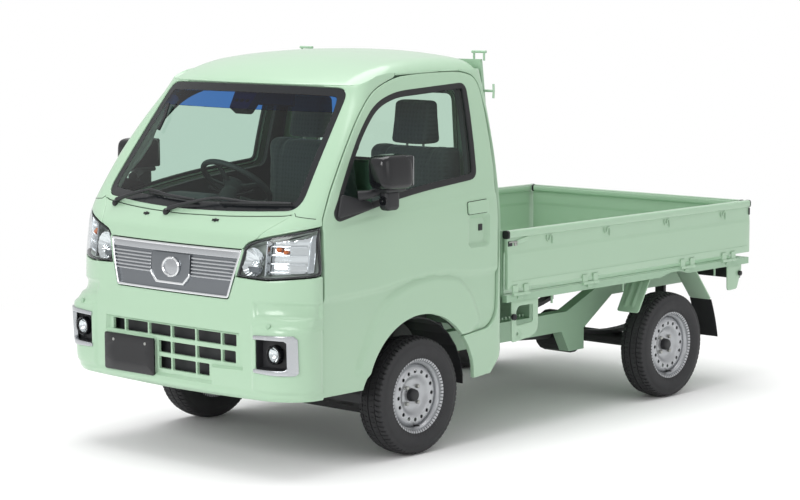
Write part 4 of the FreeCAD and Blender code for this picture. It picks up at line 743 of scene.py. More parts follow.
def triangulated(loops: list[Array], lines: list[Array], spacing: float) -> tuple[Array, Array]:
    """Fills an outline with holes by even triangles that keep to its lines.

    Args:
        loops: The outer loop first, then the holes.
        lines: Closed or open lines that edges must follow, inside the outline.
        spacing: Step of the triangular grid.

    Returns:
        Points and triangles.
    """
    outer = loops[0] if area(loops[0]) > 0 else loops[0][::-1]
    low, high = outer.min(0), outer.max(0)
    rows = np.arange(low[1], high[1], spacing * 0.87)
    columns = np.arange(low[0], high[0], spacing)
    u, v = np.meshgrid(columns, rows)
    u = u + (np.arange(len(rows)) % 2)[:, None] * spacing / 2
    inner = np.stack([u.ravel(), v.ravel()], 1)
    inner = inner[distance_in(inner, outer) > spacing * 0.55]
    for hole in loops[1:]:
        inner = inner[distance_in(inner, hole) < -spacing * 0.55]
    fixed, edges, start = [outer], [], 0
    for loop in loops[1:] + lines:
        fixed.append(loop)
    for line in lines:
        inner = inner[np.abs(distance_in(inner, line)) > spacing * 0.42]
    for loop in fixed:
        index = np.arange(len(loop)) + start
        edges.append(np.stack([index, np.roll(index, -1)], 1))
        start += len(loop)
    points = np.vstack(fixed + [inner])
    made = delaunay_2d_cdt([Vector(p) for p in points.tolist()], np.vstack(edges).tolist(),
                           [list(range(len(outer)))], 1, 1e-6, False)
    flat, triangles = np.array(made[0], float), np.array(made[2], int)
    middle = flat[triangles].mean(1)
    keep = distance_in(middle, outer) > 0
    triangles, middle = triangles[keep], middle[keep]
    for hole in loops[1:]:
        keep = distance_in(middle, hole) < 0
        triangles, middle = triangles[keep], middle[keep]
    used, triangles = np.unique(triangles, return_inverse=True)
    return flat[used], triangles.reshape(-1, 3)


def pressed(chart: Chart, outline: Array, holes: Sequence[Array] = (), presses: Sequence[Press] = (),
            spacing: float = 0.010, border: Border = Border(), extra: Callable | None = None,
            lines: Sequence[Array] = (), sink: float = 0.0) -> Shell:
    """A pressed sheet cut to an outline on a chart, with turned-in borders.

    The outline is filled by triangles, each point is sunk by the sum of the
    presses, and every free edge gets rings at radius * sin a outwards and
    radius * (1 - cos a) inwards, then a flange.

    Args:
        chart: The surface it lies on.
        outline: Outer outline in the chart's coordinates.
        holes: Outlines of its openings.
        presses: Areas pushed in or out.
        spacing: Size of the triangles.
        border: The turned-in border.
        extra: A further depth as a function of u and v.
        lines: More closed lines that edges follow.
        sink: An even depth of the whole sheet.

    Returns:
        The sheet.
    """
    loops = [inset(dense(outline, spacing), border.radius)]
    loops += [inset(dense(hole, spacing), -border.radius) for hole in holes]
    kept = [dense(line, spacing) for press in presses for line in press.lines()]
    kept += [dense(line, spacing) for line in lines]
    kept = [clipped for line in kept for clipped in [line[distance_in(line, loops[0]) > spacing * 0.3]]
            if len(clipped) > 2]
    flat, triangles = triangulated(loops, kept, spacing)

    def depth_at(u: Array, v: Array) -> Array:
        """Sum of the presses and the extra depth."""
        total = np.full(len(u), sink)
        for press in presses:
            total += press.sunk(u, v)
        return total + extra(u, v) if extra else total

    depth = depth_at(flat[:, 0], flat[:, 1])
    points = [chart.place(flat[:, 0], flat[:, 1], depth)]
    half = np.vstack([triangles[:, [0, 1]], triangles[:, [1, 2]], triangles[:, [2, 0]]])
    count = len(flat)
    key, opposite = half[:, 0] * count + half[:, 1], half[:, 1] * count + half[:, 0]
    free = half[~np.isin(key, opposite)]
    run = flat[free[:, 1]] - flat[free[:, 0]]
    run /= np.maximum(np.linalg.norm(run, axis=1), 1e-12)[:, None]
    outward = np.stack([run[:, 1], -run[:, 0]], 1)
    normal = np.zeros((count, 2))
    np.add.at(normal, free[:, 0], outward)
    np.add.at(normal, free[:, 1], outward)
    rim = np.unique(free)
    normal = normal[rim] / np.maximum(np.linalg.norm(normal[rim], axis=1), 1e-9)[:, None]
    place_in_rim = np.zeros(count, int)
    place_in_rim[rim] = np.arange(len(rim))
    faces = [triangles]
    last, start = rim, count
    turns = [(math.sin(a), 1 - math.cos(a), 0.0) for a in np.linspace(0, math.pi / 2, border.rows + 1)[1:]]
    for out, sink, more in turns + [(1.0, 1.0, border.depth)]:
        at = flat[rim] + normal * border.radius * out
        points.append(chart.place(at[:, 0], at[:, 1], depth[rim] + border.radius * sink + more))
        index = start + np.arange(len(rim))
        first, second = place_in_rim[free[:, 0]], place_in_rim[free[:, 1]]
        faces.append(np.stack([last[first], index[first], index[second], last[second]], 1))
        last, start = index, start + len(rim)
    return Shell(np.vstack(points), faces)


def bead(chart: Chart, line: Array, radius: float, sink: float = 0.0, closed: bool = True) -> Shell:
    """A round cord or a dark seam laid along a line on a chart."""
    places = chart.place(line[:, 0], line[:, 1], np.full(len(line), sink))
    return tube(places, radius, 8, closed=closed)


# Objects


def show(name: str, parts: Sequence[tuple[Shell, Surface]], body: Body | str, slot: str,
         replaces: Sequence[str] = (), sharp: float = 38.0, side: Side = Side.LEFT) -> bpy.types.Object:
    """Makes one piece of the truck from shells and their finishes.

    Args:
        name: The piece's name.
        parts: Shells, each with its finish.
        body: The body that it rides on.
        slot: The record's material slot; not used.
        replaces: CAD nodes that it stands for.
        sharp: Angle in degrees past which an edge stays sharp.
        side: The side it is on, where its shells are those of the left side.

    Returns:
        The object.
    """
    parts = [(shell.flipped(side), finish) for shell, finish in parts]
    points = np.vstack([shell.points for shell, _ in parts])
    loops, totals, marks, start = [], [], [], 0
    finishes = list(dict.fromkeys(finish for _, finish in parts))
    for shell, finish in parts:
        for face in shell.faces:
            loops.append((face + start).ravel())
            totals.append(np.full(len(face), face.shape[1]))
            marks.append(np.full(len(face), finishes.index(finish)))
        start += len(shell.points)
    corner, total, mark = np.concatenate(loops), np.concatenate(totals), np.concatenate(marks)
    mesh = bpy.data.meshes.new(name)
    mesh.vertices.add(len(points))
    mesh.vertices.foreach_set("co", points.astype(np.float32).ravel())
    mesh.loops.add(len(corner))
    mesh.loops.foreach_set("vertex_index", corner.astype(np.int32))
    mesh.polygons.add(len(total))
    mesh.polygons.foreach_set("loop_start", (np.cumsum(total) - total).astype(np.int32))
    mesh.polygons.foreach_set("loop_total", total.astype(np.int32))
    mesh.polygons.foreach_set("material_index", mark.astype(np.int32))
    for finish in finishes:
        mesh.materials.append(finish.material())
    mesh.update(calc_edges=True)
    mesh.validate()
    mesh.shade_smooth()
    mesh.set_sharp_from_angle(angle=math.radians(sharp))
    piece = bpy.data.objects.new(name, mesh)
    bpy.context.scene.collection.objects.link(piece)
    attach(piece, body.value if isinstance(body, Body) else body)
    if replaces:
        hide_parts(*replaces)
    LOG.info("%s: %d faces on %s", name, len(total), body)
    return piece


# Cab form


def sampled(table: Array, row: Array, column: Array) -> Array:
    """Reads a table between its entries, by the bilinear mean of the four around.

    Args:
        table: Rows by columns, and any further numbers.
        row: Row positions.
        column: Column positions.

    Returns:
        The values there.
    """
    row = np.clip(row, 0, table.shape[0] - 1.001)
    column = np.clip(column, 0, table.shape[1] - 1.001)
    i, j = row.astype(int), column.astype(int)
    a, b = row - i, column - j
    if table.ndim == 3:
        a, b = a[:, None], b[:, None]
    return ((table[i, j] * (1 - b) + table[i, j + 1] * b) * (1 - a)
            + (table[i + 1, j] * (1 - b) + table[i + 1, j + 1] * b) * a)


@dataclass(frozen=True)
class CabForm:
    """The cab's outer wall as one surface of height and girth.

    Each height has a half section: a nose y = m + (e - m)(x / w)^2, a corner
    that bulges 0.12 of its chord, a straight side, a rear corner of one radius
    and a straight back. The section is divided evenly, and a triangular mean
    over 50 mm rounds where its runs meet. Its numbers go in straight lines
    between the levels, averaged over a height that grows from 15 to 70 mm.
    """

    levels: tuple = (
        (0.318, 0.0090, 0.760, 0.0240, 0.990, 0.1060), (0.385, 0.0040, 0.840, 0.0170, 1.000, 0.1000),
        (0.639, 0.0020, 0.870, 0.0170, 1.000, 0.0860), (0.710, 0.0060, 0.600, 0.0160, 1.000, 0.1200),
        (0.850, 0.0090, 0.563, 0.0220, 1.000, 0.1200), (1.030, 0.0200, 0.584, 0.0390, 1.000, 0.1400),
        (1.104, 0.0770, 0.839, 0.1240, 0.991, 0.1560), (1.300, 0.1790, 0.814, 0.2250, 0.950, 0.2400),
        (1.479, 0.2740, 0.786, 0.3200, 0.897, 0.3400), (1.636, 0.3570, 0.761, 0.4030, 0.838, 0.4500),
        (1.794, 0.4100, 0.720, 0.4600, 0.770, 0.5000))
    low: float = 0.28
    high: float = 1.80
    rise: float = 0.01
    columns: int = 600
    rear_radius: float = 0.035

    @functools.cached_property
    def heights(self) -> Array:
        """Heights of the table's rows."""
        return np.arange(self.low, self.high + self.rise / 2, self.rise)

    @functools.cached_property
    def numbers(self) -> Array:
        """The five section numbers at each height, smoothed up and down."""
        rows = np.array(self.levels)
        reach = np.interp(self.heights, [1.00, 1.15], [0.015, 0.070])
        spread = np.linspace(-1, 1, 9)[:, None] * reach + self.heights
        return np.stack([np.interp(spread, rows[:, 0], rows[:, k]).mean(0) for k in range(1, 6)], 1)

    @functools.cached_property
    def section(self) -> Array:
        """Points of the half section at each height, rows by columns by 2."""
        middle, edge, back, side, start = (self.numbers[:, k, None] for k in range(5))
        middle, back, start = (NOSE_Y + share * CAB_LENGTH for share in (middle, back, start))
        edge, side = edge * HALF_WIDTH, side * HALF_WIDTH
        t = np.linspace(0, 1, 61)[None, 1:]
        nose = np.stack([edge * np.append(0, t), middle + (back - middle) * np.append(0, t) ** 2], -1)
        run_x, run_y = side - edge, start - back
        bulge = 4 * t * (1 - t) * 0.12
        corner = np.stack([edge + run_x * t + bulge * run_y, back + run_y * t - bulge * run_x], -1)
        end = CAB_REAR_Y - self.rear_radius
        flank = np.stack([side + 0 * t, start + (end - start) * t], -1)
        turn = t * np.pi / 2
        bend = np.stack([side - self.rear_radius * (1 - np.cos(turn)), end + self.rear_radius * np.sin(turn)
                         + 0 * side], -1)
        rear = np.stack([(side - self.rear_radius) * (1 - t), CAB_REAR_Y + 0 * t + 0 * side], -1)
        rough = np.concatenate([nose, corner, flank, bend, rear], 1)
        length = np.cumsum(np.linalg.norm(np.diff(rough, axis=1, prepend=rough[:, :1]), axis=2), axis=1)
        even = np.linspace(0, 1, self.columns + 1)
        made = np.stack([np.stack([np.interp(even * l[-1], l, r[:, k]) for k in (0, 1)], 1)
                         for l, r in zip(length, rough)])
        weight = np.convolve(np.ones(11) / 11, np.ones(11) / 11)
        reach = len(weight) // 2
        mirror = np.array([-1, 1])
        ends = made[:, reach:0:-1] * mirror, made[:, -2 : -reach - 2 : -1] * mirror
        padded = np.concatenate([ends[0], made, ends[1]], 1)
        return sum(w * padded[:, k : k + self.columns + 1] for k, w in enumerate(weight))

    @functools.cached_property
    def girth(self) -> Array:
        """Length of the half section at each height."""
        return np.linalg.norm(np.diff(self.section, axis=1), axis=2).sum(1)

    @functools.cached_property
    def surface(self) -> Array:
        """Position and outward normal at each entry, rows by columns by 6."""
        flat = self.section
        height = np.broadcast_to(self.heights[:, None, None], flat.shape[:2] + (1,))
        points = np.concatenate([flat, height], 2)
        along, upwards = np.gradient(points, axis=1), np.gradient(points, axis=0)
        normal = np.cross(along, upwards)
        normal /= np.linalg.norm(normal, axis=2)[..., None]
        return np.concatenate([points, normal], 2)

    def row(self, z: Array) -> Array:
        """Row position of a height."""
        return (np.asarray(z, float) - self.low) / self.rise

    def half_girth(self, z: Array) -> Array:
        """Length of the half section at any height."""
        return np.interp(z, self.heights, self.girth)

    def place(self, u: Array, v: Array, depth: Array) -> Array:
        """Points at girth u from the nose and height v, sunk by depth."""
        u, v = np.asarray(u, float), np.asarray(v, float)
        sign = np.where(u < 0, -1.0, 1.0)
        found = sampled(self.surface, self.row(v), np.abs(u) / self.half_girth(v) * self.columns)
        made = found[:, :3] - found[:, 3:] * np.broadcast_to(depth, u.shape)[:, None]
        return made * np.stack([sign, np.ones_like(sign), np.ones_like(sign)], 1)

    def by_x(self, points: Sequence) -> Array:
        """Turns (x, z) points of the front into (girth, z) points.

        Args:
            points: Pairs of x and height on the nose or screen.

        Returns:
            Pairs of girth and height, found by interpolation of x in each row.
        """
        flat = np.asarray(points, float)
        across = np.linspace(0, HALF_WIDTH * 0.985, 160)
        even = np.arange(self.columns + 1) / self.columns
        rows = [np.interp(across, s[: self.columns // 3, 0], even[: self.columns // 3] * g)
                for s, g in zip(self.section, self.girth)]
        found = sampled(np.array(rows), self.row(flat[:, 1]), np.abs(flat[:, 0]) / across[1])
        return np.stack([found * np.where(flat[:, 0] < 0, -1, 1), flat[:, 1]], 1)

    def by_y(self, points: Sequence) -> Array:
        """Turns (y, z) points of the left side into (girth, z) points.

        Args:
            points: Pairs of y and height on the side.

        Returns:
            Pairs of girth and height, found by interpolation of y in each row.
        """
        flat = np.asarray(points, float)
        along = np.linspace(NOSE_Y + 0.02, CAB_REAR_Y - 0.001, 300)
        even = np.arange(self.columns + 1) / self.columns
        rows = [np.interp(along, s[:, 1], even * g) for s, g in zip(self.section, self.girth)]
        found = sampled(np.array(rows), self.row(flat[:, 1]), (flat[:, 0] - along[0]) / (along[1] - along[0]))
        return np.stack([found, flat[:, 1]], 1)


CAB = CabForm()


@dataclass(frozen=True)
class CabSide:
    """Chart of the left side of the cab by y and height."""

    form: CabForm = CAB

    def place(self, u: Array, v: Array, depth: Array) -> Array:
        """Points of the side at y = u and z = v, sunk by depth square to it."""
        flat = self.form.by_y(np.stack([u, v], 1))
        return self.form.place(flat[:, 0], flat[:, 1], depth)


@dataclass(frozen=True)
class CabRear:
    """Chart of the rear of the cab by girth from the middle of the back, and height."""

    form: CabForm = CAB

    def place(self, u: Array, v: Array, depth: Array) -> Array:
        """Points at girth u past the middle of the back, towards the right side."""
        half = self.form.half_girth(v)
        return self.form.place(np.where(u < 0, half + u, u - half), v, depth)

    def by_y(self, points: Sequence) -> Array:
        """Turns (y, z) points of the left side into this chart's points."""
        flat = self.form.by_y(points)
        return np.stack([flat[:, 0] - self.form.half_girth(flat[:, 1]), flat[:, 1]], 1)


SIDE = CabSide()
REAR = CabRear()


@dataclass(frozen=True)
class RoofForm:
    """Chart of the roof by the slopes of lines from a point inside the cab.

    The point at (u, v) is where the line from the centre along (u, v, 1) meets
    the surface F = 0. F is the smooth greatest of three: |x| minus the side's
    half width, y minus the rear, and z minus the crown, whose height is a long
    profile less 45 mm (x / 0.6)^2. It is found by halving the line 30 times.
    """

    centre: tuple[float, float, float] = (0.0, -0.72, 1.30)
    profile: tuple = ((-1.240, 1.582), (-1.201, 1.637), (-1.150, 1.674), (-1.072, 1.711), (-0.990, 1.738),
                      (-0.900, 1.757), (-0.780, 1.7700), (-0.641, 1.7750), (-0.480, 1.7730), (-0.300, 1.7640))

    @functools.cached_property
    def crown_line(self) -> tuple[Array, Array]:
        """The long profile, evenly divided and averaged over 90 mm."""
        known = np.array(self.profile)
        y = np.linspace(-1.30, -0.25, 211)
        slope = (known[1, 1] - known[0, 1]) / (known[1, 0] - known[0, 0])
        z = np.interp(y, known[:, 0], known[:, 1])
        z = np.where(y < known[0, 0], known[0, 1] + slope * (y - known[0, 0]), z)
        weight = np.ones(13) / 13
        padded = np.concatenate([z[0] - slope * 0.005 * np.arange(6, 0, -1), z, np.full(6, z[-1])])
        return y, np.convolve(padded, weight, "valid")

    def outside(self, points: Array) -> Array:
        """F at the points, below zero inside."""
        x, y, z = np.abs(points[:, 0]), points[:, 1], points[:, 2]
        half = np.interp(z, CAB.heights, CAB.section[:, CAB.columns // 2, 0])
        line_y, line_z = self.crown_line
        crown = z - (np.interp(y, line_y, line_z) - 0.045 * (x / 0.6) ** 2)
        side, rear = (x - half) * 0.97, y - CAB_REAR_Y

        def greatest(a: Array, b: Array, width: float) -> Array:
            """Smooth greatest of two numbers."""
            near = np.maximum(width - np.abs(a - b), 0) / width
            return np.maximum(a, b) + near**2 * width / 4

        return greatest(greatest(side, rear, 0.06), crown, 0.085)

    def found(self, u: Array, v: Array) -> Array:
        """Points of the surface at (u, v)."""
        ray = np.stack([u, v, np.ones_like(u)], 1)
        near, far = np.zeros(len(u)), np.full(len(u), 0.9)
        for _ in range(30):
            middle = (near + far) / 2
            beyond = self.outside(np.array(self.centre) + ray * middle[:, None]) > 0
            near, far = np.where(beyond, near, middle), np.where(beyond, middle, far)
        return np.array(self.centre) + ray * near[:, None]

    def place(self, u: Array, v: Array, depth: Array) -> Array:
        """Points of the roof, sunk by depth square to it."""
        u, v = np.asarray(u, float), np.asarray(v, float)
        points = self.found(u, v)
        step = 0.002
        slope = np.stack([self.outside(points + shift) - self.outside(points - shift)
                          for shift in np.eye(3) * step], 1)
        slope /= np.linalg.norm(slope, axis=1)[:, None]
        return points - slope * np.broadcast_to(depth, u.shape)[:, None]

    def flat(self, points: Array) -> Array:
        """Turns points in space into this chart's points."""
        away = np.asarray(points, float) - np.array(self.centre)
        return away[:, :2] / away[:, 2:]


ROOF = RoofForm()


# Cab skin

DOOR_EDGE = ((-1.480, 0.334), (-1.480, 1.074), (-1.477, 1.095), (-1.419, 1.202), (-1.318, 1.348),
             (-1.195, 1.496), (-1.105, 1.580), (-1.040, 1.622), (-0.901, 1.669), (-0.714, 1.680),
             (-0.467, 1.680), (-0.377, 1.656), (-0.354, 1.590), (-0.354, 0.700), (-0.360, 0.585),
             (-0.409, 0.525), (-0.582, 0.510))
DOOR_REACH = (0.02, 0.08, 0.05, 0.1, 0.1, 0.1, 0.06, 0.08, 0.1, 0.1, 0.07, 0.06, 0.05, 0.08, 0.05, 0.04, 0.03)
SCREEN_EDGE = ((0.000, 1.107), (0.300, 1.112), (0.619, 1.130), (0.561, 1.627), (0.300, 1.633), (0.000, 1.634))
SCREEN_REACH = (0.0001, 0.2, 0.065, 0.055, 0.2, 0.0001)


def arch(radius: float, start: float, end: float, count: int = 40) -> Array:
    """Points of the front wheel arch by angle from the rear, anticlockwise, in y and z."""
    angle = np.radians(np.linspace(start, end, count))
    return np.stack([FRONT_AXLE_Y + radius * np.cos(angle), 0.272 + radius * np.sin(angle)], 1)


def door_outline(gap: float) -> Array:
    """The door's outline in y and z, anticlockwise, moved out by a gap."""
    corners = np.array(DOOR_EDGE)
    first = rounded(corners, DOOR_REACH, 6)
    angles = np.degrees(np.arcsin(np.clip(np.array([0.510 - 0.272, 0.334 - 0.272]) / ARCH_RADIUS, -1, 1)))
    wheel = arch(ARCH_RADIUS, angles[0], 180 - angles[1], 48)
    body = first[6:-6]
    loop = np.vstack([body, [[-0.582, 0.510]], wheel, [[-1.480, 0.334]]])
    keep = np.linalg.norm(np.roll(loop, -1, 0) - loop, axis=1) > 1e-4
    return inset(loop[keep][::-1], -gap)


@dataclass
class CabSkin:
    """Roof, screen surround, bonnet, rear wall and glass of the cab."""

    seam: float = 0.0025
    spacing: float = 0.011
    screen_depth: float = 0.004
    frit_width: float = 0.034
    rear_window: tuple = ((-0.45, 1.235), (0.45, 1.235), (0.43, 1.58), (-0.43, 1.58))

    def screen_loop(self) -> Array:
        """The windscreen's outline in girth and height, anticlockwise."""
        half = CAB.by_x(dense(rounded(SCREEN_EDGE, SCREEN_REACH, 8), 0.02, closed=False))
        return rounded(mirrored_outline(half[half[:, 0] > 0.004]), 0.02, 3)

    def lamp_loop(self, grow: float = 0.0) -> Array:
        """The left headlamp's outline in girth and height, anticlockwise.

        Args:
            grow: How far out the outline moves.

        Returns:
            The outline.
        """
        inner = CAB.by_x([(0.397, 0.848), (0.431, 0.984), (0.497, 1.006), (0.560, 1.024)])
        outer = CAB.by_y([(-1.487, 1.066), (-1.489, 0.862)])
        low = CAB.by_x([(0.560, 0.842)])
        loop = rounded(np.vstack([inner, outer, low])[::-1],
                       (0.006, 0.03, 0.016, 0.012, 0.05, 0.05, 0.012), 5)
        return inset(loop, -grow)

    def surround(self) -> Shell:
        """Screen surround: header, pillars and the side of the bonnet.

        The outer edge runs along the header, the roof's side, the door's front
        edge, the lamp and the bonnet's side seam.
        """
        header = CAB.by_x(dense([(0.0, 1.640), (0.561, 1.636)], 0.02, closed=False))
        side = np.array([(-1.120, 1.642), (-1.080, 1.656), (-1.020, 1.676), (-0.950, 1.687), (-0.900, 1.688),
                         (-0.900, 1.676)])
        door = door_outline(0.004)
        front = door[(door[:, 0] < -0.905) & (door[:, 1] > 1.072)]
        front = front[np.argsort(-front[:, 1])]
        lamp = self.lamp_loop(0.004)
        x_seam = CAB.by_x([(0.497, 1.010), (0.510, 1.030), (0.522, 1.045), (0.575, 1.090), (0.600, 1.112)])
        outer = lamp[13:25]
        top = outer[outer[:, 0] > x_seam[0, 0] + 0.004]
        foot = CAB.by_y([(-1.485, top[0, 1] + 0.002)])
        half = np.vstack([header, CAB.by_y(side), CAB.by_y(front), foot, top, x_seam])
        screen = self.screen_loop()
        under = inset(screen, -0.020)
        under = under[(under[:, 0] > 0) & (under[:, 0] < half[-1, 0] - 0.012) & (under[:, 1] < 1.13)]
        under = under[np.argsort(-under[:, 0])]
        half = np.vstack([half, under])
        return pressed(CAB, apart(mirrored_outline(half)[::-1]), holes=[inset(screen, -0.002)],
                       spacing=self.spacing, border=Border(0.0025, 0.020))

    def bonnet(self) -> Shell:
        """Bonnet between the lamps, below the screen, cut out for the grille."""
        screen = inset(self.screen_loop(), -0.0235)
        under = screen[(screen[:, 0] > 0) & (screen[:, 0] < CAB.by_x([(0.588, 1.10)])[0, 0])
                       & (screen[:, 1] < 1.12)]
        under = under[np.argsort(under[:, 0])]
        seam = CAB.by_x([(0.597, 1.108), (0.572, 1.088), (0.519, 1.043), (0.507, 1.028), (0.494, 1.012)])
        lamp = self.lamp_loop(0.004)
        inner = lamp[(lamp[:, 0] < seam[-1, 0] - 0.004) & (lamp[:, 1] > 0.853)]
        inner = inner[np.argsort(-inner[:, 1])]
        grille = inset(GRILLE_LOOP, -0.003)
        grille = grille[(grille[:, 0] > 0) & (grille[:, 1] > 0.853)]
        grille = grille[np.argsort(-grille[:, 0] + grille[:, 1] * 3)]
        half = np.vstack([under, seam, inner, grille])
        return pressed(CAB, apart(mirrored_outline(half)[::-1]), spacing=self.spacing,
                       border=Border(0.0025, 0.018))

    def back(self) -> Shell:
        """Rear wall and door pillars, from one front wheel arch round to the other."""
        angles = np.degrees(np.arcsin(np.array([0.500 - 0.272, 0.300 - 0.272]) / ARCH_RADIUS))
        wheel = arch(ARCH_RADIUS, angles[1], angles[0], 12)
        under = np.array([(-0.395, 0.309), (-0.339, 0.380), (-0.316, 0.441), (-0.312, 0.50)])
        door = door_outline(0.005)
        pillar = door[door[:, 0] > -0.60]
        pillar = pillar[np.argsort(np.arctan2(pillar[:, 1] - 1.0, pillar[:, 0] + 0.9))]
        pillar = pillar[pillar[:, 1] > 0.49]
        over = np.array([(-0.900, 1.676), (-0.900, 1.688)])
        left, low = REAR.by_y(np.vstack([wheel[:1], wheel, pillar, over])), REAR.by_y(under)[::-1]
        bottom = np.array([[0.0, 0.62], [low[0, 0] + 0.02, 0.62]])
        loop = anticlockwise(apart(mirrored_outline(np.vstack([bottom, low, left]))))
        return pressed(REAR, loop, holes=[rounded(self.rear_window, 0.05)], spacing=0.014,
                       border=Border(0.0025, 0.018))

    def roof(self) -> Shell:
        """The roof panel, from the header over the crown to the back."""
        header = CAB.place(*CAB.by_x(dense([(0.0, 1.642), (0.561, 1.638)], 0.02, closed=False)).T, 0.0)
        side = np.array([(-1.120, 1.645), (-1.080, 1.659), (-1.020, 1.679), (-0.950, 1.690), (-0.900, 1.691),
                         (-0.36, 1.691)])
        flank = CAB.place(*CAB.by_y(dense(side, 0.02, closed=False)).T, 0.0)
        rear = REAR.place(np.array([-0.62, -0.56, -0.3, -0.001]), np.full(4, 1.691), 0.0)
        loop = apart(mirrored_outline(ROOF.flat(np.vstack([header, flank, rear]))))
        return pressed(ROOF, anticlockwise(loop), spacing=0.030, border=Border(0.006, 0.020))

    def windscreen(self) -> list[tuple[Shell, Surface]]:
        """The windscreen: clear glass, shade band and frit in one sheet of regions.

        Returns:
            Shells with their finishes.
        """
        outer = self.screen_loop()
        low, high = outer[:, 1].min(), outer[:, 1].max()
        inner = inset(outer, self.frit_width)
        side = np.interp(inner[:, 1], [low, low + 0.1, high - 0.1, high], [0.0, 0.0, 0.0, 0.010])
        inner = inner - np.sign(inner[:, :1]) * side[:, None] * [1, 0]
        line = np.full(len(inner), high - 0.105)
        band = np.column_stack([inner[:, 0], np.maximum(inner[:, 1], line)])
        clear = np.column_stack([inner[:, 0], np.minimum(inner[:, 1], line)])
        edge = Border(0.0008, 0.004, 1)
        return [
            (pressed(CAB, outer, holes=[inner], spacing=0.014, border=edge, sink=self.screen_depth), FRIT),
            (pressed(CAB, apart(band, 1e-4), spacing=0.02, border=edge, sink=self.screen_depth), SHADE_BAND),
            (pressed(CAB, apart(clear, 1e-4), spacing=0.02, border=edge, sink=self.screen_depth), SCREEN)]

    def build(self) -> None:
        """Makes the pieces."""
        show("roof_skin", [(self.roof(), ENAMEL)], Body.CHASSIS, "body_paint", ["roof"])
        show("screen_surround", [(self.surround(), ENAMEL)], Body.CHASSIS, "body_paint", ["screen_frame"])
        show("bonnet", [(self.bonnet(), ENAMEL)], Body.CHASSIS, "body_paint", ["front_panel"])
        show("cab_rear_skin", [(self.back(), ENAMEL)], Body.CHASSIS, "body_paint", ["cab_back"])
        show("windscreen", self.windscreen(), Body.CHASSIS, "window_glass", ["cab_glass"])


GRILLE_LOOP = rounded(np.vstack([CAB.by_x(dense([(-0.357, 0.749), (0.357, 0.749)], 0.05, False)),
                                 CAB.by_x(dense([(0.423, 0.961), (-0.423, 0.961)], 0.05, False))]), 0.012, 5)


# Doors


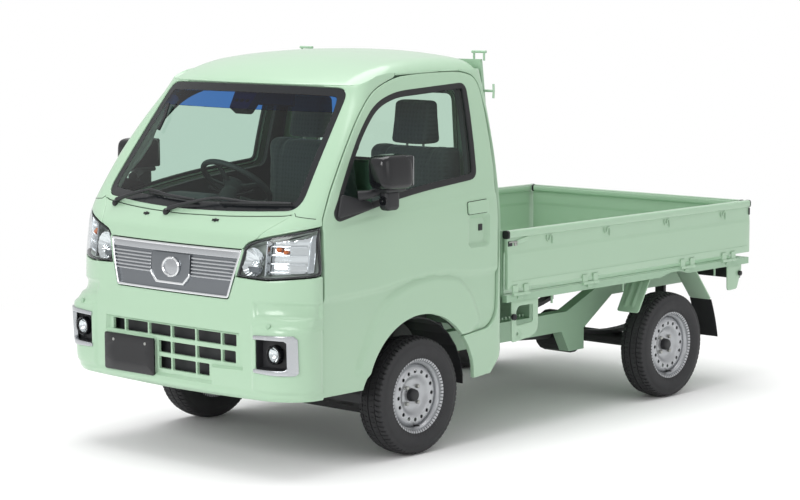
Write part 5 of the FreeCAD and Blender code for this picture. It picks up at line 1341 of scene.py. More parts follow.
@dataclass
class Door:
    """One door: outer skin with its flare and creases, inner trim, glass and seals."""

    side: Side
    spacing: float = 0.011
    window: tuple = ((-1.384, 1.090), (-0.952, 1.172), (-0.486, 1.213), (-0.455, 1.622), (-0.922, 1.598),
                     (-1.065, 1.552), (-1.183, 1.445), (-1.272, 1.329), (-1.358, 1.196), (-1.401, 1.113))
    window_reach: tuple = (0.02, 0.3, 0.035, 0.035, 0.12, 0.07, 0.1, 0.1, 0.1, 0.02)

    @property
    def body(self) -> Body:
        """The door's body."""
        return Body.DOOR_LEFT if self.side is Side.LEFT else Body.DOOR_RIGHT

    @property
    def label(self) -> str:
        """Word for the side in names."""
        return self.side.name.lower()

    def window_loop(self) -> Array:
        """The window opening's outline."""
        return rounded(self.window, self.window_reach, 6)

    def shape(self, u: Array, v: Array) -> Array:
        """Depth of the flare and the creases at y = u and z = v.

        The waist steps in 13 mm between two lines that rise over the wheel. The
        flare stands out 14 mm inside a ring about the wheel whose radius follows
        the angle, its wall is 28 mm wide, and it ends at 21 and 146 degrees. The
        belt crease is a 5 mm step under a rising line, and the sill tapers in.

        Args:
            u: y of the points.
            v: Heights of the points.

        Returns:
            Depths, below zero where the skin stands out.
        """
        away = np.hypot(u - FRONT_AXLE_Y, v - AXLE_Z)
        angle = np.degrees(np.arctan2(v - AXLE_Z, FRONT_AXLE_Y - u))
        ring = np.interp(angle, [20, 35, 47, 56, 65, 75, 90, 105, 119, 128, 135, 145],
                         [0.452, 0.456, 0.478, 0.503, 0.516, 0.519, 0.527, 0.548, 0.568, 0.553, 0.529, 0.505])
        ends = smooth_step(angle, 19.0, 24.0) * (1 - smooth_step(angle, 141.0, 147.0))
        flare = -0.014 * (1 - smooth_step(away, ring - 0.028, ring)) * ends
        high = np.interp(u, [-1.470, -1.288, -1.080, -0.909, -0.800, -0.701, -0.611, -0.346],
                         [0.766, 0.769, 0.784, 0.806, 0.813, 0.811, 0.800, 0.792])
        low = np.interp(u, [-1.470, -1.288, -1.123, -0.974, -0.844, -0.701, -0.611, -0.542, -0.346],
                        [0.738, 0.742, 0.754, 0.779, 0.790, 0.786, 0.773, 0.762, 0.762])
        waist = 0.013 * (1 - smooth_step((v - low) / (high - low), 0.0, 1.0))
        sill = 0.007 * (1 - smooth_step(v, 0.340, 0.405))
        belt = np.interp(u, [-1.471, -1.184, -0.842, -0.560, -0.376], [1.051, 1.078, 1.107, 1.120, 1.129])
        shelf = 0.005 * (smooth_step(v, belt - 0.006, belt + 0.006) - smooth_step(v, belt + 0.03,
                                                                                  belt + 0.12))
        return flare + waist + sill + shelf

    def handle_loop(self) -> Array:
        """Outline of the handle flap."""
        return rounded([(-0.561, 1.046), (-0.423, 1.050), (-0.423, 1.106), (-0.561, 1.100)], 0.010, 5)

    def recess_loop(self) -> Array:
        """Outline of the hand recess under the flap."""
        return rounded([(-0.548, 0.905), (-0.420, 0.905), (-0.420, 1.040), (-0.548, 1.036)], 0.018, 5)

    def skin(self) -> Shell:
        """The pressed outer skin with the window cut out."""
        recess = Press(self.recess_loop(), 0.020, 0.022, soft=True)
        return pressed(SIDE, door_outline(0.0), holes=[self.window_loop()], presses=[recess],
                       spacing=self.spacing, border=Border(0.003, 0.020), extra=self.shape)

    def trim(self) -> Shell:
        """The inner panel, 48 mm inside the skin, closed to the skin by its border."""
        outer = inset(door_outline(0.0), 0.022)
        window = inset(self.window_loop(), -0.010)
        return pressed(SIDE, outer, holes=[window], spacing=0.03, border=Border(0.006, 0.02, 2),
                       sink=0.048).turned_over()

    def build(self) -> None:
        """Makes the door's pieces."""
        window, handle = self.window_loop(), self.handle_loop()
        seal = pressed(SIDE, inset(window, -0.012), holes=[inset(window, 0.016)], spacing=0.02,
                       border=Border(0.004, 0.012, 2), sink=-0.0005)
        pane = pressed(SIDE, inset(window, 0.010), spacing=0.05, border=Border(0.001, 0.004, 1), sink=0.008)
        flap = pressed(SIDE, handle, spacing=0.012, border=Border(0.004, 0.010), extra=self.shape,
                       sink=-0.010)
        rim = pressed(SIDE, inset(handle, -0.003), spacing=0.012, border=Border(0.001, 0.010, 1),
                      extra=self.shape, sink=-0.001)
        lock = rounded([(-0.470, 0.966), (-0.444, 0.966), (-0.444, 0.996), (-0.470, 0.996)], 0.004)
        key = pressed(SIDE, lock, spacing=0.01, border=Border(0.002, 0.006, 2), sink=0.016)
        for word, parts, slot, nodes in (
                ("skin", [(self.skin(), ENAMEL)], "body_paint", [f"door_{self.label}"]),
                ("trim", [(self.trim(), CABIN)], "cabin_plastic", []),
                ("seal", [(seal, RUBBER)], "black_plastic", []),
                ("pane", [(pane, WINDOW)], "window_glass", [f"door_glass_{self.label}"]),
                ("handle", [(rim, SHADE), (flap, ENAMEL), (key, MATT_BLACK)], "body_paint", [])):
            show(f"door_{word}_{self.label}", parts, self.body, slot, nodes, side=self.side)


# Wheels


@dataclass
class Wheel:
    """One wheel: a tyre with a cut tread and a pressed steel rim."""

    end: str
    side: Side
    track: float
    axle_y: float
    radius: float = 0.264
    pitches: int = 66
    holes: int = 16

    @property
    def label(self) -> str:
        """End and side, as in the frame's names."""
        return f"{self.end}_{self.side.name.lower()}"

    def placed(self, shell: Shell) -> Shell:
        """A shell about the wheel's middle, outwards along X, moved to its place."""
        centre = (self.side.value * self.track / 2, self.axle_y, AXLE_Z)
        return shell.flipped(self.side).moved(centre)

    def tyre(self) -> Shell:
        """The tyre as one surface of turn and girth.

        The girth goes from the inner bead over the tread to the outer bead. The
        radius falls by the groove depth where a groove runs: three grooves go
        round, and zigzag bars cross the shoulders once in each pitch.

        Returns:
            The tyre.
        """
        wall = np.array([(0.054, 0.1600), (0.0585, 0.1640), (0.0620, 0.1730), (0.0668, 0.1850),
                         (0.0705, 0.1970), (0.0722, 0.2080), (0.0718, 0.2190), (0.0700, 0.2300),
                         (0.0695, 0.2305), (0.0680, 0.2380), (0.0662, 0.2440), (0.0652, 0.2480),
                         (0.0640, 0.2510), (0.0618, 0.2545), (0.0600, 0.2563)])
        tread = np.array([0.0560, 0.0520, 0.0470, 0.0420, 0.0375, 0.0372, 0.0330, 0.0327, 0.0240, 0.0150,
                          0.0060, 0.0032, 0.0029])
        crown = np.stack([tread, self.radius - 0.0065 * (tread / 0.054) ** 2.4], 1)
        half = np.vstack([wall, crown])
        profile = np.vstack([half * [-1, 1], half[::-1]])
        x, base = profile[:, 0], profile[:, 1]
        share = np.array([0.00, 0.10, 0.13, 0.37, 0.40, 0.50, 0.60, 0.63, 0.87, 0.90])
        angle = (np.arange(self.pitches)[:, None] + share[None]).ravel() / self.pitches * 2 * np.pi
        step = np.tile(share, self.pitches)
        ring = np.abs(x)
        round_groove = ((ring > 0.0328) & (ring < 0.0374)) | (ring < 0.00305)
        rib = (ring > 0.0374) & (ring < 0.0663)
        lug = ((step > 0.12) & (step < 0.38))[:, None] & rib[None]
        cross = ((step > 0.62) & (step < 0.88))[:, None] & ((ring > 0.012) & (ring < 0.032))[None]
        depth = np.where(round_groove, 0.0070, 0.0)[None]
        depth = np.maximum(depth, np.where(lug, 0.0055 * smooth_step(0.0664 - ring, 0.0, 0.006)[None], 0))
        depth = np.maximum(depth, np.where(cross, 0.003, 0))
        shift = (0.012 * np.sin(ring / 0.054 * np.pi * 1.4) * (base > 0.243))[None]
        r = base[None] - depth
        turn = angle[:, None] + shift * 2
        points = np.stack([np.broadcast_to(x, r.shape), r * np.sin(turn), r * np.cos(turn)], -1)
        shell = grid(points, closed_u=True)
        inner = np.array([(-0.054, 0.160), (-0.050, 0.156), (-0.052, 0.170), (-0.060, 0.200), (-0.055, 0.235),
                          (-0.030, 0.246), (0.030, 0.246), (0.055, 0.235), (0.060, 0.200), (0.052, 0.170),
                          (0.050, 0.156), (0.054, 0.160)])
        return joined([shell, turned(inner, 96).turned_over()])

    def disc_offset(self, radius: Array) -> Array:
        """Outward offset of the disc at a radius, with soft bends between its runs."""
        r = np.array([0.0, 0.030, 0.045, 0.062, 0.074, 0.084, 0.092, 0.098, 0.110, 0.122, 0.130, 0.137,
                      0.144])
        x = np.array([0.016, 0.016, 0.018, 0.017, 0.0205, 0.031, 0.0385, 0.0405, 0.0415, 0.0405, 0.036, 0.028,
                      0.018])
        fine = np.linspace(0, 0.144, 145)
        line = np.interp(fine, r, x)
        padded = np.concatenate([np.full(3, line[0]), line, np.full(3, line[-1])])
        return np.interp(radius, fine, np.convolve(padded, np.ones(7) / 7, "valid"))

    def rim(self) -> list[tuple[Shell, Surface]]:
        """Disc with round holes, barrel, nuts, cap and valve.

        Returns:
            Shells with their finishes.
        """
        ring = circle(96)
        small = ring[::8]
        middles = [0.1085 * np.array([math.cos(a), math.sin(a)])
                   for a in np.arange(self.holes) * 2 * math.pi / self.holes]
        chart = DiscChart(self.disc_offset)
        disc = pressed(chart, ring * 0.1435, holes=[m + small * 0.0085 for m in middles], spacing=0.0065,
                       border=Border(0.0012, 0.004, 2),
                       lines=[ring * r for r in (0.064, 0.078, 0.090, 0.127)])
        barrel = np.array([(0.0185, 0.1420), (0.030, 0.1430), (0.036, 0.1450), (0.041, 0.1500),
                           (0.0445, 0.1532), (0.050, 0.1540), (0.0545, 0.1552), (0.0560, 0.1580),
                           (0.0565, 0.1620), (0.0575, 0.1655), (0.0590, 0.1672), (0.0600, 0.1668),
                           (0.0605, 0.1650), (0.0600, 0.1630), (0.0585, 0.1600), (0.0560, 0.1565),
                           (0.040, 0.1560), (0.020, 0.1500), (-0.020, 0.1500), (-0.040, 0.1560),
                           (-0.056, 0.1580), (-0.058, 0.1665), (-0.056, 0.1660), (-0.052, 0.1500),
                           (-0.030, 0.1430), (0.0, 0.1410), (0.0185, 0.1400)])
        dish = turned(barrel, 96)
        nuts = []
        for k in range(4):
            a = (k + 0.5) * math.pi / 2
            y, z = 0.050 * math.cos(a), 0.050 * math.sin(a)
            hexagon = np.stack([np.cos(np.arange(6) * math.pi / 3), np.sin(np.arange(6) * math.pi / 3)], 1)
            body = np.array([(0.014, 1.25), (0.017, 1.25), (0.018, 1.0), (0.029, 1.0), (0.0315, 0.72),
                             (0.032, 0.30)])
            rows = np.stack([np.stack([np.full(6, x), y + 0.0095 * s * hexagon[:, 0],
                                       z + 0.0095 * s * hexagon[:, 1]], 1) for x, s in body])
            nuts.append(joined([grid(rows, closed_v=True), fan(rows[-1], True)]))
        cap = turned([(0.014, 0.029), (0.030, 0.0285), (0.040, 0.026), (0.0445, 0.021), (0.046, 0.012),
                      (0.046, 0.0003)], 48).turned_over()
        valve = tube(np.array([(0.032, 0.0, -0.137), (0.046, 0.0, -0.134), (0.064, 0.0, -0.133)]),
                     [0.005, 0.0045, 0.0035], 10)
        hub = turned([(-0.02, 0.0003), (-0.02, 0.085), (0.008, 0.085), (0.010, 0.060), (0.012, 0.0003)],
                     40).turned_over()
        return [(disc, WHEEL_SILVER), (dish.turned_over(), WHEEL_SILVER), (joined(nuts), ZINC),
                (cap, MATT_BLACK), (valve, MATT_BLACK), (hub, CHASSIS_BLACK)]

    def build(self) -> None:
        """Makes the tyre and the rim."""
        body = f"wheel_{self.label}"
        show(f"tread_{self.label}", [(self.placed(self.tyre().turned_over()), TREAD)], body, "tyre",
             [f"tyre_{self.label}"], sharp=50)
        parts = [(self.placed(shell), finish) for shell, finish in self.rim()]
        show(f"road_wheel_{self.label}", parts, body, "wheel_paint", [f"rim_{self.label}"])


@dataclass(frozen=True)
class DiscChart:
    """Chart of a dished disc square to X: (offset(r) - depth, u, v), r = |(u, v)|."""

    offset: Callable[[Array], Array]

    def place(self, u: Array, v: Array, depth: Array) -> Array:
        """Points of the disc at y = u and z = v."""
        return np.stack([self.offset(np.hypot(u, v)) - depth, u, v], 1)


# Front end


def on_front(points: Sequence, step: float = 0.02) -> Array:
    """A closed outline in x and z, laid on the front as girth and height."""
    return CAB.by_x(dense(points, step))


@dataclass
class Bumper:
    """Bumper cover with its stepped pods, intake openings, lip and plate."""

    spacing: float = 0.010
    bar: float = 0.011
    plate_middle: tuple[float, float] = (-0.266, 0.450)

    def windows(self) -> list[Array]:
        """Outlines of the openings between the intake's bars, in x and z.

        Returns:
            Loops, one for each opening.
        """
        posts = (-0.404, -0.316, -0.157, -0.006, 0.151, 0.308, 0.402)
        found = []
        for k in range(6):
            found.append((posts[k], posts[k + 1], 0.547, 0.598))
        for k, (left, right) in enumerate(((-0.095, -0.006), (-0.006, 0.151), (0.151, 0.308),
                                           (0.308, 0.397))):
            found.append((left, right, 0.474, 0.526))
        for left, right in ((-0.095, -0.006), (-0.006, 0.151), (0.151, 0.236)):
            found.append((left, right, 0.402, 0.455))
        half = 0.005
        return [rounded([(a + half, c), (b - half, c), (b - half, d), (a + half, d)], 0.006, 4)
                for a, b, c, d in found]

    def outline(self) -> Array:
        """Outer outline in girth and height, anticlockwise."""
        lamp = HEAD_LOOP_GROWN
        under = lamp[(lamp[:, 1] < 0.865) & (lamp[:, 0] > 0.36)]
        under = under[np.argsort(under[:, 0])]
        right = CAB.by_y([(-1.491, z) for z in np.linspace(0.858, 0.334, 18)])
        grille = inset(GRILLE_LOOP, -0.003)
        side = grille[(grille[:, 0] > 0) & (grille[:, 1] < 0.847)]
        side = side[np.argsort(side[:, 0])]
        low = CAB.by_x([(0.10, 0.321), (0.45, 0.329), (0.60, 0.333)])
        corner = CAB.by_y([(-1.560, 0.335)])
        half = np.vstack([side, under[under[:, 0] > side[-1, 0] + 0.002], right, corner, low[::-1]])
        return anticlockwise(apart(mirrored_outline(half)))

    def both(self, loop: Array) -> list[Array]:
        """A loop and its mirror image."""
        return [loop, loop[::-1] * [-1, 1]]

    def presses(self) -> list[Press]:
        """The pressed areas of the cover.

        The step under each lamp goes in, the pod's face stands out below it, and
        the intake's frame is sunk.

        Returns:
            The areas.
        """
        step_loop = np.vstack([CAB.by_x([(0.515, 0.690)]), CAB.by_y([(-1.502, 0.686), (-1.502, 0.741)]),
                               CAB.by_x([(0.500, 0.748)])])
        pod = np.vstack([CAB.by_x([(0.506, 0.372)]), CAB.by_y([(-1.502, 0.372), (-1.502, 0.640)]),
                         CAB.by_x([(0.506, 0.652)])])
        intake = on_front([(0.252, 0.378), (0.258, 0.452), (0.442, 0.458), (0.425, 0.604), (-0.425, 0.604),
                           (-0.430, 0.545), (-0.112, 0.535), (-0.112, 0.378)])
        found = []
        for side in self.both(dense(step_loop, 0.03)):
            found.append(Press(side, 0.010, 0.016))
        for side in self.both(dense(pod, 0.03)):
            found.append(Press(side, -0.008, 0.016))
        found.append(Press(intake, 0.016, 0.012))
        return found

    def cover(self) -> Shell:
        """The cover itself."""
        holes = [on_front(loop) for loop in self.windows()]
        for side in self.both(inset(FOG_LOOP, 0.001)):
            holes.append(side)
        return pressed(CAB, self.outline(), holes=holes, presses=self.presses(), spacing=self.spacing,
                       border=Border(0.0025, 0.012, 2), extra=self.lip)

    def lip(self, u: Array, v: Array) -> Array:
        """Depth of the lip: below z 0.372 the skin stands out 6 mm, then turns under.

        Args:
            u: Girth of each point, which the lip doesn't depend on.
            v: Height of each point.

        Returns:
            The depth at each point.
        """
        return -0.006 * (1 - smooth_step(v, 0.356, 0.372)) + 0.030 * (1 - smooth_step(v, 0.315, 0.350)) ** 2

    def plate(self) -> list[tuple[Shell, Surface]]:
        """Blank plate with rounded corners on its base, and two bolts.

        Returns:
            Shells with their finishes.
        """
        x, z = self.plate_middle
        y = NOSE_Y + 0.0012
        chart = Plane((x, y, z), (1, 0, 0), (0, 0, 1))
        half = rounded([(-0.165, -0.0825), (0.165, -0.0825), (0.165, 0.0825), (-0.165, 0.0825)], 0.012, 6)
        face = pressed(chart, half, spacing=0.05, border=Border(0.0015, 0.006, 2),
                       presses=[Press(inset(half, 0.008), 0.0012, 0.003)])
        bolts = [turned([(0.0, 0.0003), (0.0, 0.006), (0.0012, 0.007), (0.003, 0.0072)], 20, "y")
                 .moved((x + side * 0.105, y - 0.0009, z + 0.053)) for side in (-1, 1)]
        return [(face, GLOSS_BLACK), (joined(bolts), ZINC)]

    def build(self) -> None:
        """Makes the cover, a black sheet behind its openings as painted shade of the space there, and the
        plate.
        """
        # A flat black sheet 55 mm behind the intake's openings: painted shade of the space behind them.
        dark = pressed(CAB, on_front([(0.445, 0.370), (0.445, 0.612), (-0.445, 0.612), (-0.445, 0.370)]),
                       spacing=0.05, border=Border(0.002, 0.01, 1), sink=0.055)
        show("bumper_cover", [(self.cover(), ENAMEL)], Body.CHASSIS, "body_paint", ["bumper"])
        show("intake_dark", [(dark, MATT_BLACK)], Body.CHASSIS, "black_plastic")
        show("front_plate_blank", self.plate(), Body.CHASSIS, "plate_blank", ["number_plate"])


@dataclass
class Grille:
    """Bright grille: rim, broad top bar, thin bars each side, plain middle and boss."""

    bars: int = 6
    low: float = 0.829
    high: float = 0.914
    centre: tuple[float, float] = (0.010, 0.858)
    boss: tuple[float, float] = (0.047, 0.036)

    def dome(self, u: Array, v: Array) -> Array:
        """Relief of the boss: 4 mm high in its middle, falling by a smooth step to its edge."""
        share = np.hypot((u - self.centre[0]) / self.boss[0], (v - self.centre[1]) / self.boss[1])
        return -0.004 * (1 - smooth_step(share, 0.2, 1.0))

    def strip(self, points: Sequence, depth: float, finish: Finish, radius: float = 0.003,
              back: float = 0.010) -> tuple[Shell, Finish]:
        """A raised piece over an outline in x and z.

        Args:
            points: The outline.
            depth: How deep its face is below the body's surface.
            finish: Its finish.
            radius: Radius of its edge.
            back: Depth of its sides.

        Returns:
            The shell with its finish.
        """
        sheet = pressed(CAB, on_front(points, 0.03), spacing=0.03, border=Border(radius, back, 3), sink=depth)
        return sheet, finish

    def build(self) -> None:
        """Makes the grille."""
        outer = inset(GRILLE_LOOP, 0.0015)
        rim = pressed(CAB, outer, holes=[inset(outer, 0.011)], spacing=0.012, border=Border(0.004, 0.014, 4),
                      sink=-0.003)
        field = pressed(CAB, inset(outer, 0.006), spacing=0.03, border=Border(0.002, 0.006, 1), sink=0.010)
        top = self.strip(rounded([(-0.405, 0.921), (0.405, 0.921), (0.414, 0.955), (-0.414, 0.955)], 0.004,
                                 3), 0.000, SATIN, 0.005, 0.012)
        parts = [(rim, CHROME), (field, SMOKE), top]
        pitch = (self.high - self.low) / (self.bars - 0.4)
        for k in range(self.bars):
            z = self.low + pitch * k
            end = 0.378 + 0.03 * (z - self.low) / (self.high - self.low)
            for side in (-1, 1):
                loop = rounded([(side * 0.128, z - 0.0045), (side * end, z - 0.0045),
                                (side * (end + 0.001), z + 0.0045), (side * 0.128, z + 0.0045)], 0.003, 3)
                parts.append(self.strip(anticlockwise(loop), 0.0005, SATIN, 0.0035, 0.010))
        middle = [(0.086, 0.788), (0.122, 0.826), (0.122, 0.918), (-0.122, 0.918), (-0.122, 0.826),
                  (-0.086, 0.788)]
        parts.append(self.strip(rounded(anticlockwise(np.array(middle)), 0.004, 3), -0.001,
                                SMOKE, 0.003, 0.012))
        channel = np.array([(-0.128, 0.838), (-0.126, 0.822), (-0.088, 0.783), (0.088, 0.783), (0.126, 0.822),
                            (0.128, 0.838)])
        inner = np.array([(0.118, 0.838), (0.117, 0.828), (0.083, 0.795), (-0.083, 0.795), (-0.117, 0.828),
                          (-0.118, 0.838)])
        parts.append(self.strip(np.vstack([channel, inner]), -0.005, CHROME, 0.004, 0.010))
        torus = bead(CAB, CAB.by_x(circle(64, (0.050, 0.039)) + self.centre), 0.0058, -0.005)
        boss = pressed(CAB, CAB.by_x(circle(64, self.boss) + self.centre), spacing=0.02,
                       border=Border(0.003, 0.006, 3), extra=self.dome, sink=-0.004)
        parts += [(torus, CHROME), (boss, SATIN)]
        show("grille_trim", parts, Body.CHASSIS, "plated_trim", ["grille"])


def well_wall(loop: Array, insets: tuple[float, float], depths: tuple[float, float], rows: int) -> Shell:
    """Sloping wall of a well: the outline moved in and down in even steps.

    Args:
        loop: The well's outline in girth and height.
        insets: How far in its upper and lower edges lie.
        depths: How deep they lie.
        rows: Rings of points from edge to edge.

    Returns:
        The wall, facing into the well.
    """
    rings = []
    for step, depth in zip(np.linspace(*insets, rows), np.linspace(*depths, rows)):
        flat = inset(loop, step)
        rings.append(CAB.place(flat[:, 0], flat[:, 1], depth))
    return grid(np.array(rings), closed_v=True).turned_over()


@dataclass
class HeadLamp:
    """Headlamp of one side: dark case, reflector bowl, fluted turn lamp and clear cover."""

    side: Side

    def case(self) -> Shell:
        """The case: wall of the lamp from its edge to 57 mm inside, and its back."""
        back = pressed(CAB, inset(HEAD_LOOP, 0.012), spacing=0.03, border=Border(0.001, 0.002, 1), sink=0.055)
        return joined([well_wall(HEAD_LOOP, (0.004, 0.016), (0.002, 0.057), 6), back])

    def bowl(self) -> Shell:
        """Reflector: depth 40 mm times r^2, with cylindrical flutes round its upper part.

        The point at (r, a) is the middle plus 62 mm times r along a, and 17
        flutes of 1.1 mm are added as cos(17 a).

        Returns:
            The bowl.
        """
        angle = np.linspace(0, 2 * np.pi, 181)[:-1]
        share = np.linspace(0.0, 1.0, 26)[:, None]
        x = 0.476 + share * 0.062 * np.cos(angle)
        z = 0.912 + share * 0.062 * np.sin(angle)
        flat = CAB.by_x(np.stack([x.ravel(), z.ravel()], 1))
        flute = 0.0011 * np.cos(17 * angle) * np.clip((share - 0.35) * 2, 0, 1)
        depth = 0.056 - 0.044 * share**2 + flute
        points = CAB.place(flat[:, 0], flat[:, 1], depth.ravel()).reshape(len(share), len(angle), 3)
        return grid(points, closed_v=True).turned_over()

    def plate_on(self, loop: Array, depth: float, radius: float = 0.003, back: float = 0.012,
                 extra: Callable | None = None) -> Shell:
        """A raised plate over an outline in girth and height, at a depth."""
        return pressed(CAB, loop, spacing=0.012, border=Border(radius, back, 2), extra=extra, sink=depth)

    def build(self) -> None:
        """Makes the lamp's pieces."""
        loop = HEAD_LOOP
        frame = pressed(CAB, inset(loop, 0.0015), holes=[inset(loop, 0.010)], spacing=0.012,
                        border=Border(0.002, 0.012, 2), sink=0.003)
        cover = pressed(CAB, inset(loop, 0.003), spacing=0.03, border=Border(0.003, 0.004, 3), sink=-0.001)
        divider = self.plate_on(CAB.by_x([(0.545, 0.858), (0.553, 0.858), (0.551, 1.006), (0.543, 1.006)]),
                                0.008, 0.002, 0.040)
        s_in = CAB.by_x([(0.560, 0.86)])[0, 0]
        s_out = CAB.by_y([(-1.512, 0.95)])[0, 0]
        bars = []
        for z in (0.876, 0.912, 0.948, 0.984):
            bars.append(self.plate_on(np.array([(s_in, z - 0.004), (s_out - 0.05, z - 0.004),
                                                (s_out - 0.05, z + 0.004), (s_in, z + 0.004)]),
                                      0.022, 0.003, 0.025))
        band = self.plate_on(np.array([(s_out - 0.045, 0.872), (s_out - 0.008, 0.872), (s_out - 0.006, 1.040),
                                       (s_out - 0.040, 1.034)]), 0.012, 0.006, 0.030)
        inner = self.plate_on(np.array([(s_in - 0.006, 0.862), (s_out - 0.010, 0.870), (s_out - 0.010, 1.040),
                                        (s_in - 0.004, 1.004)]), 0.046, 0.004, 0.010,
                              ribbing(0.009, 0.0012))
        shield = self.plate_on(CAB.by_x([(0.412, 0.868), (0.500, 0.868), (0.508, 0.894), (0.418, 0.894)]),
                               0.030, 0.004, 0.020, ribbing(0.007, 0.0015, 0))
        bulbs = []
        for x, z, r in ((0.478, 0.912, 0.013), (0.595, 0.972, 0.012), (0.625, 0.962, 0.010)):
            at = CAB.place(*CAB.by_x([(x, z)]).T, np.array([0.030]))[0]
            angle = np.linspace(0.02, np.pi - 0.02, 12)
            bulbs.append(turned(np.stack([-r * 1.4 * np.cos(angle), r * np.sin(angle)], 1),
                                20, "y").moved(at))
        label = self.side.name.lower()
        show(f"head_lamp_{label}", [
            (self.case(), CABIN_PALE), (self.bowl(), REFLECTOR), (divider, SATIN), (joined(bars), CHROME),
            (band, SATIN), (inner, REFLECTOR), (shield, SMOKE), (frame, MATT_BLACK), (bulbs[0], CHROME),
            (joined(bulbs[1:]), AMBER)], Body.CHASSIS, "lamp_lens", ["front_lamps"], side=self.side)
        show(f"head_cover_{label}", [(cover, LENS)], Body.CHASSIS, "lamp_lens", side=self.side)


@dataclass
class FogLamp:
    """Fog lamp of one side: dark well, round lamp, and a bright frame open inwards."""

    side: Side

    def build(self) -> None:
        """Makes the lamp."""
        well = well_wall(FOG_LOOP, (0.002, 0.012), (-0.004, 0.036), 5)
        floor = pressed(CAB, inset(FOG_LOOP, 0.009), spacing=0.03, border=Border(0.002, 0.002, 1), sink=0.030)
        frame = np.vstack([CAB.by_x([(0.520, 0.470), (0.520, 0.452), (0.640, 0.449), (0.702, 0.451)]),
                           CAB.by_x([(0.7105, 0.462), (0.7125, 0.606)]),
                           CAB.by_x([(0.702, 0.620), (0.640, 0.619), (0.520, 0.612), (0.520, 0.594)]),
                           CAB.by_x([(0.640, 0.598), (0.672, 0.597), (0.680, 0.590), (0.678, 0.482),
                                     (0.668, 0.474), (0.640, 0.472)])])
        frame_shell = pressed(CAB, frame, spacing=0.010, border=Border(0.004, 0.014, 4), sink=-0.016)
        at = CAB.place(*CAB.by_x([(0.618, 0.534)]).T, np.array([0.010]))[0]
        angle = np.linspace(0, np.pi / 2, 10)
        lens = turned(np.vstack([np.stack([-0.012 * np.cos(angle), 0.032 * np.sin(angle) + 0.0003], 1),
                                 [(0.016, 0.034)]]), 40, "y").moved(at)
        ring = turned([(0.006, 0.033), (-0.006, 0.034), (-0.009, 0.037), (-0.006, 0.040), (0.018, 0.042)],
                      40, "y").moved(at)
        bowl = turned([(0.020, 0.0003), (0.018, 0.012), (0.010, 0.024), (0.002, 0.031)], 40, "y").moved(at)
        label = self.side.name.lower()
        show(f"fog_lamp_{label}", [(well, MATT_BLACK), (floor, MATT_BLACK), (ring, GLOSS_BLACK),
                                   (bowl, REFLECTOR), (frame_shell, SATIN)], Body.CHASSIS, "lamp_lens",
             side=self.side)
        show(f"fog_lens_{label}", [(lens, LENS)], Body.CHASSIS, "lamp_lens", side=self.side)


SKIN = CabSkin()
HEAD_LOOP = SKIN.lamp_loop()
HEAD_LOOP_GROWN = SKIN.lamp_loop(0.004)
FOG_LOOP = rounded(CAB.by_x(dense([(0.528, 0.466), (0.699, 0.463), (0.702, 0.608), (0.528, 0.600)], 0.08)),
                   0.010, 4)


# Load bed


def welded(shell: Shell) -> Shell:
    """Joins points of a shell that lie within a thousandth of a millimetre."""
    _, first, where = np.unique(np.round(shell.points, 6), axis=0, return_index=True, return_inverse=True)
    return Shell(shell.points[first], [where.ravel()[face] for face in shell.faces])


def outward(shell: Shell) -> Shell:
    """Turns a closed shell's faces outwards, by the sign of its volume.

    The volume is a sixth of the sum of a . (b x c) over the triangles of its faces.
    """
    total = 0.0
    for face in shell.faces:
        corner = shell.points[face]
        for k in range(1, face.shape[1] - 1):
            total += float((corner[:, 0] * np.cross(corner[:, k], corner[:, k + 1])).sum())
    return shell if total > 0 else shell.turned_over()


def beam(section: Sequence, start: float, end: float, axis: str = "y") -> Shell:
    """A closed section carried straight along an axis, with flat ends.

    Args:
        section: Points of the section in the two other axes, in the order x, y, z.
        start: Where it starts on the axis.
        end: Where it ends.
        axis: x, y or z.

    Returns:
        The closed shell.
    """
    loop = anticlockwise(np.asarray(section, float))
    flat, triangles = triangulated([loop], [], 9.0)
    place = {"x": (2, 0, 1), "y": (0, 2, 1), "z": (0, 1, 2)}[axis]

    def at(points: Array, along: float) -> Array:
        """The section's points at one place on the axis."""
        return np.column_stack([points, np.full(len(points), along)])[:, place]

    side = grid(np.stack([at(loop, start), at(loop, end)]), closed_v=True)
    caps = [Shell(at(flat, start), [triangles[:, ::-1]]), Shell(at(flat, end), [triangles])]
    return outward(welded(joined([side] + caps)))


def box_loop(low: Sequence[float], high: Sequence[float], radius: float = 0.0) -> Array:
    """A rectangle between two corners, anticlockwise, with rounded corners if asked."""
    loop = np.array([low, (high[0], low[1]), high, (low[0], high[1])], float)
    return rounded(loop, radius, 5) if radius else loop


